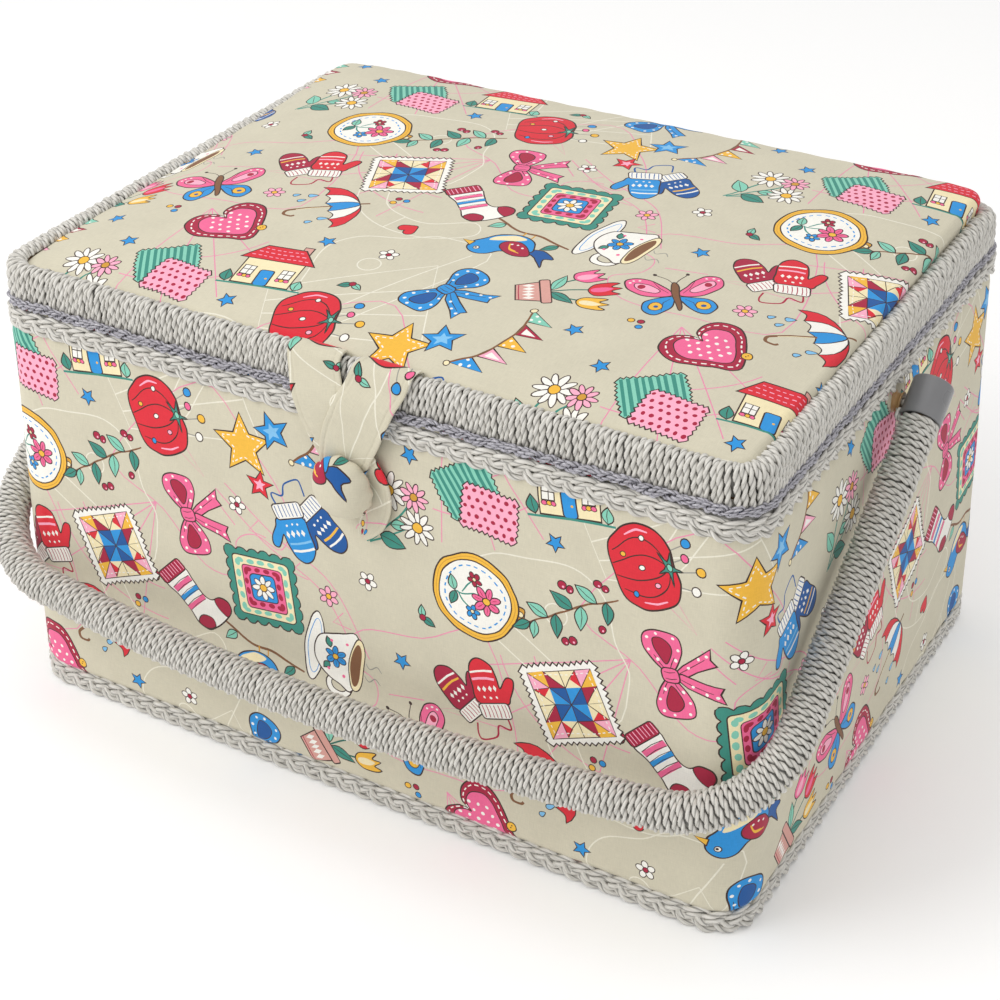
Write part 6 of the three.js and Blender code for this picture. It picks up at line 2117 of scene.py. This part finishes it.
def floor_face(x, y):
    d = np.minimum(np.minimum(169.9 - np.abs(x), 123.7 - np.abs(y)), (169.9 + 123.7 - 9.3 - np.abs(x) - np.abs(y)) / math.sqrt(2))
    soft = 0.35 * (1 - np.exp(-np.maximum(d, 0) / 5.0))
    return 5.75 + soft + 0.10 * np.sin(x * 0.045 + 1.5 * np.sin(y * 0.03)) * np.clip(d / 20, 0, 1)


floor_pts, _, _ = loop_of(chamfered(HX - 8.75, HY - 8.75, 9.4), 3.0, 220)
lining_floor = plate("lining_floor", floor_pts, floor_face, lambda x, y: np.full(len(x), 5.25), 7.0)
finish_piece(lining_floor, M_LINING, "box", "lining")

for side, s in (("left", -1), ("right", 1)):
    lo_, hi_ = (159.85, -99.9, 125.8), (169.75, 99.9, 137.65)
    if s < 0:
        lo_, hi_ = (-169.75, -99.9, 125.8), (-159.85, 99.9, 137.65)
    ledge = rounded_box(f"ledge_{side}", lo_, hi_, 1.4, 4)
    finish_piece(ledge, M_LINING, "box", "hardboard", f"tray_ledge_{side}")

# lining of the lid: quilted panel, and a wall that turns round the frame's lower edge
QX, QY = HX - 8.0, HY - 8.0
PITCH_Q = 26.0


def quilt(x, y):
    a, b = (x + y) / PITCH_Q, (x - y) / PITCH_Q
    da, db = np.abs(a - np.round(a)), np.abs(b - np.round(b))
    line = np.minimum(da, db) * PITCH_Q
    puff = 0.34 * (1 - np.exp(-line / 2.6))
    pull = 0.05 * np.sin(x * 0.9 + y * 0.35) * np.exp(-line / 2.0)
    near = np.minimum(QX - np.abs(x), QY - np.abs(y))
    return 207.52 - puff * np.clip(near / 3.0, 0, 1) - pull


lid_top = plate("lid_quilted_lining", rounded_outline(QX, QY, CORNER - 8.0, 8), quilt, lambda x, y: np.full(len(x), 207.95), 2.1)
finish_piece(lid_top, M_LINING, "lid", "lining", "lid_lining")

lid_pts, lid_nrm, lid_run = loop_of(rounded_outline(HX, HY, CORNER, 12), 0.1, 1000)
lid_s = lid_run
prof = np.array([(8.62, 207.3), (8.62, 204.5), (8.62, 201.5), (8.6, 198.2), (8.45, 197.55), (8.0, 197.10), (7.2, 197.06), (5.6, 197.05), (4.2, 197.08), (3.55, 197.3), (3.34, 197.8), (3.34, 201.5),
                 (3.5, 201.5), (3.52, 197.85), (3.7, 197.45), (4.3, 197.24), (5.6, 197.22), (7.2, 197.22), (7.75, 197.4), (7.86, 198.2), (7.86, 207.3)])


def hinge_relief(out, z):
    x, y = lid_pts[:, 0:1], lid_pts[:, 1:2]
    near = np.exp(-(np.clip(np.abs(np.abs(x) - 95) - 13.6, 0, None) / 1.2) ** 2) * (y > 0)
    low = np.clip((198.4 - z) / 1.2, 0, 1)
    pleat = 0.05 * np.sin(lid_run[:, None] * 0.8) * np.exp(-((z - 199.5) / 2.0) ** 2)
    return -(out + np.where(out > 8, -pleat, 0)), z + 0.47 * near * low


# the outline is the lid's outer one, so the section's first number is an inset
lid_wall = band_sweep("lid_lining_wall", lid_pts, lid_nrm, prof, hinge_relief)
finish_piece(lid_wall, M_LINING, "lid", "lining")

# ribbons that hold the lid back
for side, s in (("left", -1), ("right", 1)):
    t = np.linspace(0, 1, 130)
    w = t * t * (3 - 2 * t)
    y = 139.4 - 159.4 * math.cos(math.radians(50)) / np.cos(np.radians(100 * (w - 0.5)))
    z = 194.5 + 11.8 * t
    line = np.column_stack([y, z])
    tan = unit(np.gradient(line, axis=0))
    nor = np.column_stack([-tan[:, 1], tan[:, 0]])
    x0, x1 = 162.1, 169.5
    cols = np.linspace(0, 1, 15)
    ring = [(x0 + (x1 - x0) * c, 0.075 * (1 if 0 < i < 14 else 0.4)) for i, c in enumerate(cols)] + [(x0 + (x1 - x0) * c, -0.075 * (1 if 0 < i < 14 else 0.4)) for i, c in list(enumerate(cols))[::-1]]
    ring = np.array(ring)
    ribs = 0.022 * np.sin(np.arange(len(t)) * 2.2)[:, None]
    thick = ring[None, :, 1] + np.sign(ring[None, :, 1]) * ribs * 0.5
    gx = np.repeat(ring[None, :, 0], len(t), 0) * s
    yy = line[:, None, 0] + nor[:, None, 0] * thick
    zz = line[:, None, 1] + nor[:, None, 1] * thick
    grid = np.stack([gx, yy, zz], -1)
    rows_, m_ = len(t), len(ring)
    idx = np.arange(rows_ * m_).reshape(rows_, m_)
    q = np.stack([idx[:-1], np.roll(idx[:-1], -1, 1), np.roll(idx[1:], -1, 1), idx[1:]], -1).reshape(-1, 4)
    caps_ = [(idx[e, i], idx[e, i + 1], idx[e, m_ - 2 - i], idx[e, m_ - 1 - i]) for e in (0, rows_ - 1) for i in range(14)]
    rib = clean_up(mixed(f"lid_ribbon_{side}", grid.reshape(-1, 3), np.vstack([q, caps_]), []), 0.0002)
    rib.data.materials.append(M_RIBBON)
    length = float(np.linalg.norm(np.diff(line, axis=0), axis=1).sum()) * MM
    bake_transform(rib)
    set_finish(rib, "ribbon"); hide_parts(f"lid_stay_{side}")
    print("ribbon", side, round(length * 1000, 1), "mm long")


def mesh_area(ob):
    return sum(p.area for p in ob.data.polygons)


# pocket and its elastic
def pocket_wave(x, y):
    open_edge = np.exp(-(y + 18) / 26.0)
    w_ = 0.20 * np.sin(x * 0.62 + 1.1 * np.sin(x * 0.071) + 0.4 * np.sin(y * 0.05)) * open_edge + 0.10 * np.sin(x * 0.27 + y * 0.02) * np.exp(-(y + 18) / 60.0)
    rim = np.minimum(135 - np.abs(x), 104 - y)
    return w_ * np.clip(rim / 10, 0, 1)


pocket = plate("lid_pocket_cloth", [(135 * a + (x_ if a > 0 else -x_), y_) for a, x_, y_ in []] or rounded_outline(135, 61, 2.0, 3, 0, 43),
               lambda x, y: 206.32 + pocket_wave(x, y), lambda x, y: 206.62 + pocket_wave(x, y), 2.2)
finish_piece(pocket, M_LINING, "lid", "lining", "lid_pocket")
area = mesh_area(pocket) / 2
print("pocket flat", round(area / 0.124 * 1000, 1), "x 124 mm")

n_ = 620
xs_ = np.linspace(-134.8, 134.8, n_)
wv = 0.62 * np.sin(xs_ * 1.15 + 0.9 * np.sin(xs_ * 0.11))
sec = [(-23.0, 0.0), (-22.9, -0.28), (-22.2, -0.36), (-20.6, -0.2), (-19.1, -0.36), (-18.4, -0.28), (-18.3, 0.0), (-18.4, 0.28), (-19.1, 0.36), (-20.6, 0.3), (-22.2, 0.36), (-22.9, 0.28)]
grid = np.array([[(x_, y_ + 0.12 * math.sin(x_ * 0.9), 205.95 + h_ + w_ * (0.55 if abs(y_ + 20.6) < 1 else 1.0)) for y_, h_ in sec] for x_, w_ in zip(xs_, wv)])
idx = np.arange(n_ * len(sec)).reshape(n_, len(sec))
q = np.stack([idx[:-1], np.roll(idx[:-1], -1, 1), np.roll(idx[1:], -1, 1), idx[1:]], -1).reshape(-1, 4)
vv = np.vstack([grid.reshape(-1, 3), grid[0].mean(0), grid[-1].mean(0)])
k_ = n_ * len(sec)
tris_ = [(k_, idx[0, (i + 1) % len(sec)], idx[0, i]) for i in range(len(sec))] + [(k_ + 1, idx[-1, i], idx[-1, (i + 1) % len(sec)]) for i in range(len(sec))]
elastic = clean_up(mixed("pocket_elastic_band", vv, q, tris_), 0.0005)
finish_piece(elastic, M_RIBBON, "lid", "ribbon", "pocket_elastic")

# pincushion
PX, PY = 43.6, 25.6


def pin_start(x, y):
    u, v = np.clip(np.abs(x) / PX, 0, 1), np.clip(np.abs(y) / PY, 0, 1)
    return 206.7 - 5.0 * (1 - u ** 3) ** 0.5 * (1 - v ** 3) ** 0.5


pin_height = inflate("pincushion", PX, PY, 2.6, pin_start, 206.9, cap=2.7, up=-1)


def pin_face(x, y):
    d, bx, by, nx, ny = nearest_edge(x, y, PX, PY, 11.0)
    f_ = np.clip(-d / 2.4, 0, 1)
    z = pin_height(np.clip(x, -PX + 0.1, PX - 0.1), np.clip(y, -PY + 0.1, PY - 0.1))
    ang = np.arctan2(y / PY, x / PX)
    gather = 0.22 * np.sin(ang * 34) * np.exp(np.minimum(d, 0) / 5.0)
    # a button's dent in the middle
    r_ = np.hypot(x, y)
    dent = 1.6 * np.exp(-(r_ / 5.5) ** 2)
    return 206.85 + (z + dent + gather - 206.85) * np.sqrt(1 - (1 - f_) ** 2)


pin_cushion = plate("pincushion_velvet", rounded_outline(PX, PY, 11.0, 14), pin_face, lambda x, y: np.full(len(x), 206.95), 1.6)
co = np.empty(len(pin_cushion.data.vertices) * 3)
pin_cushion.data.vertices.foreach_get("co", co)
co[1::3] -= 0.070
pin_cushion.data.vertices.foreach_set("co", co)
pin_cushion.data.update()
finish_piece(pin_cushion, M_VELVET, "lid", "velvet", "pincushion")


# ---------------------------------------------------------------- tray
def tray_mesh():
    X, Y, W, Z0, Z1, RIM = 165.5, 121.8, 1.8, 138.0, 183.0, 0.72
    w = W
    x, y = X - w, Y - w
    cells = [(-x, x, -y, -y + 72), (-x, -x / 3 - w / 2, -y + 72 + w, y), (-x / 3 + w / 2, x / 3 - w / 2, -y + 72 + w, 34),
             (-x / 3 + w / 2, x / 3 - w / 2, 34 + w, y), (x / 3 + w / 2, x, -y + 72 + w, 34), (x / 3 + w / 2, x, 34 + w, y)]
    v, quads, tris = [], [], []

    def ring(hx, hy, r, z, cx=0.0, cy=0.0, n=7):
        o = rounded_outline(hx, hy, r, n, cx, cy)
        i0 = len(v)
        v.extend([(p[0], p[1], z) for p in o])
        return np.arange(i0, i0 + len(o)), o

    def strip(a, b):
        for i in range(len(a)):
            j = (i + 1) % len(a)
            quads.append((a[i], a[j], b[j], b[i]))

    def flat(outline, z, holes=()):
        p, f = filled(outline, holes)
        i0 = len(v)
        v.extend([(q[0], q[1], z) for q in p])
        tris.extend([tuple(i0 + k for k in t) for t in f])
    # outside
    prev, top_outer = ring(X - RIM, Y - RIM, 10 - RIM, Z1)
    for a in np.linspace(15, 90, 6):
        c, sn = math.cos(math.radians(a)), math.sin(math.radians(a))
        cur, _ = ring(X - RIM + RIM * sn, Y - RIM + RIM * sn, 10 - RIM + RIM * sn, Z1 - RIM + RIM * c)
        strip(prev, cur); prev = cur
    # a shallow step under the rim, then a slightly tapered wall down to a rounded foot
    for d, z in ((0.0, Z1 - 6.0), (0.10, Z1 - 6.4), (0.55, Z1 - 6.9), (0.65, Z1 - 7.4), (0.9, Z0 + 6), (1.0, Z0 + 3.0), (1.3, Z0 + 1.7), (1.9, Z0 + 0.8), (2.8, Z0 + 0.2), (3.8, Z0)):
        cur, o = ring(X - d, Y - d, max(10 - d, 5), z)
        strip(prev, cur); prev = cur
    cur, o = ring(X - 4.8, Y - 4.8, 5.2, Z0)
    strip(prev, cur)
    flat(o, Z0)
    holes = []
    for x0, x1, y0, y1 in cells:
        cx, cy, hx, hy = (x0 + x1) / 2, (y0 + y1) / 2, (x1 - x0) / 2, (y1 - y0) / 2
        prev, o = ring(hx + RIM, hy + RIM, 6 + RIM, Z1, cx, cy)
        holes.append(o)
        for a in np.linspace(15, 90, 6):
            c, sn = math.cos(math.radians(a)), math.sin(math.radians(a))
            cur, _ = ring(hx + RIM - RIM * sn, hy + RIM - RIM * sn, 6 + RIM - RIM * sn, Z1 - RIM + RIM * c, cx, cy)
            strip(prev, cur); prev = cur
        R = 4.0
        floor_z = Z0 + w
        for d, z in ((0.0, Z1 - 3), (0.05, floor_z + R + 3)):
            cur, _ = ring(hx - d, hy - d, 6, z, cx, cy)
            strip(prev, cur); prev = cur
        for a in np.linspace(0, 90, 8):
            c, sn = math.cos(math.radians(a)), math.sin(math.radians(a))
            d = 0.05 + R * (1 - c)
            cur, _ = ring(hx - d, hy - d, max(6 - d, 2.0), floor_z + R * (1 - sn), cx, cy)
            strip(prev, cur); prev = cur
        cur, o = ring(hx - R - 1.2, hy - R - 1.2, 1.4, floor_z, cx, cy)
        strip(prev, cur)
        flat(o, floor_z)
    flat(top_outer, Z1, holes)
    ob = mixed("compartment_tray", np.array(v), np.array(quads), np.array(tris))
    return clean_up(ob, 0.0008)


tray = tray_mesh()
finish_piece(tray, M_TRAY, "tray", "tray_plastic", "tray")


# ---------------------------------------------------------------- metalwork
def slotted_head(name, r, height, at, axis, kind="cross", shank_r=1.0, shank=6.0, bevel=0.2, dome=0.0):
    """Screw whose head's face looks along axis, with a recess cut into the face."""
    axis = unit(np.asarray(axis, float))
    ref = np.array([1.0, 0, 0]) if abs(axis[0]) < 0.8 else np.array([0, 1.0, 0])
    e1 = unit(np.cross(axis, ref)); e2 = np.cross(axis, e1)
    n = 40
    circ = lambda rad: np.array([(rad * math.cos(a), rad * math.sin(a)) for a in np.linspace(0, 2 * math.pi, n, endpoint=False)])
    a, b = (0.16 * r, 0.62 * r) if kind == "cross" else (0.13 * r, 0.80 * r)
    if kind == "cross":
        rec = np.array([(b, -a), (b, a), (a, a), (a, b), (-a, b), (-a, a), (-b, a), (-b, -a), (-a, -a), (-a, -b), (a, -b), (a, -a)])
    else:
        rec = np.array([(b, -a), (b, a), (-b, a), (-b, -a)])
    v, quads, tris = [], [], []
    lift = lambda p: dome * (1 - (np.linalg.norm(p, axis=1) / r) ** 2)
    inner = circ(r - bevel)
    p, f = filled(inner, [rec], 0.45 * r if dome else None)
    v += [(q[0], q[1], h) for q, h in zip(p, lift(p))]
    tris += [tuple(t) for t in f]

    def ring(o, z):
        i0 = len(v)
        zz = z if np.ndim(z) else np.full(len(o), z)
        v.extend([(q[0], q[1], h) for q, h in zip(o, zz)])
        return np.arange(i0, i0 + len(o))

    def strip(a_, b_):
        for i in range(len(a_)):
            j = (i + 1) % len(a_)
            quads.append((a_[i], a_[j], b_[j], b_[i]))
    depth = min(0.45 * height + dome, 0.35 * r + dome)
    ra, rb = ring(rec, lift(rec)), ring(rec * 0.9, -depth + dome * 0.3)
    strip(ra, rb)
    p, f = filled(rec * 0.9)
    i0 = len(v)
    v += [(q[0], q[1], -depth + dome * 0.3) for q in p]
    tris += [tuple(i0 + k for k in t) for t in f]
    prev = ring(inner, lift(inner))
    for rad, z in ((r - bevel * 0.3, -bevel * 0.3), (r, -bevel), (r, -bevel * 1.5)) if not dome else ((r - bevel * 0.3, lift(circ(r - bevel * 0.3)) - 0.02), (r, -bevel), (r, -height)):
        cur = ring(circ(rad), z)
        strip(prev, cur); prev = cur
    for rad, z in (((shank_r, -height), (shank_r * 0.98, -shank), (shank_r * 0.3, -shank - 0.8)) if not dome else ((shank_r, -height), (shank_r, -shank), (shank_r * 0.8, -shank - 0.3))):
        cur = ring(circ(rad), z)
        strip(prev, cur); prev = cur
    i0 = len(v)
    v.append((0, 0, -shank - 0.9))
    tris += [(prev[i], prev[(i + 1) % n], i0) for i in range(n)]
    v = np.array(v)
    w = np.asarray(at, float) + v[:, :1] * e1 + v[:, 1:2] * e2 + v[:, 2:] * axis
    ob = clean_up(mixed(name, w, np.array(quads), np.array(tris)), 0.0005)
    return sharp_by_angle(ob, 40)


HINGE_Y, HINGE_Z, KN = 139.4, 197.05, 2.3
SY = HY - 5.6
for side, s in (("left", -1), ("right", 1)):
    cx = s * 95.0
    body_bits = [rounded_box("leaf", (cx - 13, 125.4, 196.16), (cx + 13, 136.7, 196.94), 0.22, 2)]
    for a, b in ((cx - 13, cx - 5.25), (cx + 5.25, cx + 13)):
        body_bits.append(rounded_box("tongue", (a, 135.2, 196.16), (b, 138.6, 196.94), 0.2, 2))
        prof = edge_round([(1.35, 0), (KN, 0), (KN, b - a), (1.35, b - a)], 0.28, 4)
        body_bits.append(lathe("knuckle", np.vstack([prof, prof[:1]]), 40, (1, 0, 0), (a, HINGE_Y, HINGE_Z)))
    leaf = sharp_by_angle(join(f"hinge_leaf_lower_{side}", body_bits), 40)
    finish_piece(leaf, M_STEEL, "box", "steel", f"hinge_leaf_body_{side}")
    lid_bits = [rounded_box("leaf", (cx - 13, 125.4, 197.16), (cx + 13, 136.7, 197.94), 0.22, 2),
                rounded_box("tongue", (cx - 4.8, 135.2, 197.16), (cx + 4.8, 138.6, 197.94), 0.2, 2)]
    prof = edge_round([(1.35, 0), (KN, 0), (KN, 9.6), (1.35, 9.6)], 0.28, 4)
    lid_bits.append(lathe("knuckle", np.vstack([prof, prof[:1]]), 40, (1, 0, 0), (cx - 4.8, HINGE_Y, HINGE_Z)))
    leaf = sharp_by_angle(join(f"hinge_leaf_upper_{side}", lid_bits), 40)
    finish_piece(leaf, M_STEEL, "lid", "steel", f"hinge_leaf_lid_{side}")
    prof = edge_round([(0, 0), (1.9, 0), (1.9, 0.8), (1.1, 0.8), (1.1, 27.4), (1.9, 27.4), (1.9, 28.2), (0, 28.2)], [0.35, 0.2, 0.1, 0.1, 0.2, 0.35], 5)
    pin = lathe(f"hinge_axle_{side}", prof, 36, (1, 0, 0), (cx - 14.1, HINGE_Y, HINGE_Z))
    finish_piece(sharp_by_angle(pin, 50), M_STEEL, "box", "steel", f"hinge_pin_{side}")
    head_at = (s * (HX - 8.6 - 1.2 - 2.0), PIVOT_Y, PIVOT_Z)
    scr = slotted_head(f"pivot_bolt_{side}", 4.6, 1.7, head_at, (-s, 0, 0), "slot", 2.15, 24.6, 0.5, 0.75)
    finish_piece(scr, M_STEEL, "handle", "steel", f"pivot_screw_{side}")
    prof = edge_round([(2.6, 0), (6.5, 0), (6.5, 0.8), (2.6, 0.8)], 0.22, 4)
    wash = lathe(f"pivot_washer_{side}", np.vstack([prof, prof[:1]]), 56, (s, 0, 0), (s * (HX - 9.6), PIVOT_Y, PIVOT_Z))
    finish_piece(sharp_by_angle(wash, 50), M_STEEL, "box", "steel", f"pivot_washer_inner_{side}")
    prof = smooth([(2.6, 0.2), (4.7, 0.0), (4.85, 0.8), (4.1, 1.5), (3.95, 2.2), (4.1, 3.0), (4.75, 3.6), (4.6, 4.15), (2.6, 4.1)], 40)
    spc = lathe(f"pivot_spacer_{side}", np.vstack([prof, prof[:1]]), 56, (s, 0, 0), (s * (HX + 0.2), PIVOT_Y, PIVOT_Z))
    finish_piece(spc, M_SPACER, "box", "steel", f"pivot_washer_outer_{side}")

stem_prof = edge_round([(0, 0), (2.7, 0), (3.0, 14.4), (6.0, 14.4), (6.0, 15.5), (0, 15.5)], [0.3, 0.4, 0.3, 0.35], 5)
stem = lathe("button_shank", stem_prof, 48, (0, 1, 0), (5.0, -139.0, 166.0))
finish_piece(sharp_by_angle(stem, 50), M_STEEL, "box", "steel", "button_stem")

k_ = 0
for s in (-1, 1):
    for d in (-8, 8):
        k_ += 1
        x_ = s * 95.0 + d
        a_ = slotted_head(f"hinge_screw_lower_{k_}", 1.65, 0.75, (x_, SY, 196.9), (0, 0, 1), "cross", 0.9, 8.2, 0.12)
        finish_piece(a_, M_STEEL, "box", "steel", f"hinge_screw_body_{k_}")
        b_ = slotted_head(f"hinge_screw_upper_{k_}", 1.65, 0.75, (x_, SY, 197.2), (0, 0, -1), "cross", 0.9, 8.2, 0.12)
        finish_piece(b_, M_STEEL, "lid", "steel", f"hinge_screw_lid_{k_}")

# felt under the base
felt = plate("base_felt_sheet", rounded_outline(HX - 0.6, HY - 0.6, CORNER - 0.6, 12),
             lambda x, y: 0.02 + 0.06 * (1 + np.sin(x * 0.21 + 1.2 * np.sin(y * 0.17)) * np.cos(y * 0.19)) * 0.5 + 0.25 * np.clip(1 - np.minimum(HX - 0.6 - np.abs(x), HY - 0.6 - np.abs(y)) / 1.5, 0, 1) ** 2,
             lambda x, y: np.full(len(x), 0.8), 5.0)
finish_piece(felt, M_FELT, "box", "base_felt", "base_cover")

# construction that stays as packed, under the cloth and the lining
keep = {M_BOARD: ["front_board", "back_board", "left_board", "right_board", "bottom_board", "lid_board", "lid_frame",
                  "corner_post_front_left", "corner_post_front_right", "corner_post_back_left", "corner_post_back_right"],
        M_CANE: ["handle_core"]}
for mat, names_ in keep.items():
    for nm in names_:
        ob = bpy.data.objects.get(nm)
        if ob is None:
            print("no object", nm)
            continue
        if not ob.data.materials:
            ob.data.materials.append(mat)
        for i in range(len(ob.data.materials)):
            ob.data.materials[i] = mat
left_over = [o.name for o in bpy.data.objects if o.type == "MESH" and not o.hide_render and o.get("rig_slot") is None and not o.get("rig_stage")]
print("CAD nodes still shown:", left_over)


# ---------------------------------------------------------------- camera, floor and light
def camera():
    az, el, roll = 30.3318, 27.3740, -0.5704
    pos = (434.4978, -742.2449, 627.4396)
    f, cx, cy = 2188.2427, 510.0, 300.0
    a, e, r = math.radians(az), math.radians(el), math.radians(roll)
    back = Vector((math.sin(a) * math.cos(e), -math.cos(a) * math.cos(e), math.sin(e)))
    right = Vector((math.cos(a), math.sin(a), 0))
    up = back.cross(right)
    rr = right * math.cos(r) + up * math.sin(r)
    uu = up * math.cos(r) - right * math.sin(r)
    cam = bpy.data.cameras.new("camera")
    ob = bpy.data.objects.new("camera", cam)
    bpy.context.scene.collection.objects.link(ob)
    from mathutils import Matrix
    m = Matrix((rr, uu, back)).transposed().to_4x4()
    m.translation = Vector(pos) * MM
    ob.matrix_world = m
    cam.sensor_fit = "HORIZONTAL"
    cam.sensor_width = 36.0
    cam.lens = f / 1000 * 36.0
    cam.shift_x = -(cx - 500) / 1000
    cam.shift_y = (cy - 500) / 1000
    cam.clip_start, cam.clip_end = 0.01, 20
    bpy.context.scene.camera = ob
    return ob


camera()

floor = mesh_object("floor", [(-4000, -4000, 0), (4000, -4000, 0), (4000, 4000, 0), (-4000, 4000, 0)], [(0, 1, 2, 3)])
mf, nt, b = material("floor_white")
b.inputs["Base Color"].default_value = (0.97, 0.97, 0.97, 1)
b.inputs["Roughness"].default_value = 0.7
b.inputs["Specular IOR Level"].default_value = 0.1
b.inputs["Emission Color"].default_value = (1, 1, 1, 1)
b.inputs["Emission Strength"].default_value = 0.07
floor.data.materials.append(mf)
floor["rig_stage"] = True

bpy.context.scene.view_settings.view_transform = "Standard"

world = bpy.context.scene.world or bpy.data.worlds.new("world")
bpy.context.scene.world = world
world.use_nodes = True
bg = world.node_tree.nodes["Background"]
bg.inputs["Color"].default_value = (1.0, 0.995, 0.985, 1)
bg.inputs["Strength"].default_value = 0.68


def area_light(name, at, target, size, power, color=(1, 1, 1)):
    lt = bpy.data.lights.new(name, "AREA")
    lt.shape = "RECTANGLE"
    lt.size, lt.size_y = size
    lt.energy = power
    lt.color = color
    ob = bpy.data.objects.new(name, lt)
    bpy.context.scene.collection.objects.link(ob)
    ob.location = at
    ob.rotation_euler = (Vector(target) - Vector(at)).to_track_quat("-Z", "Y").to_euler()
    return ob


area_light("key", (-1.0, -1.1, 1.4), (0, 0, 0.1), (1.2, 1.0), 17, (1.0, 0.985, 0.965))
area_light("top", (0.1, 0.2, 1.9), (0, 0, 0.1), (1.6, 1.6), 6.5)
area_light("fill", (1.6, -0.7, 0.9), (0, 0, 0.1), (1.2, 1.2), 1.6, (1.0, 0.985, 0.96))
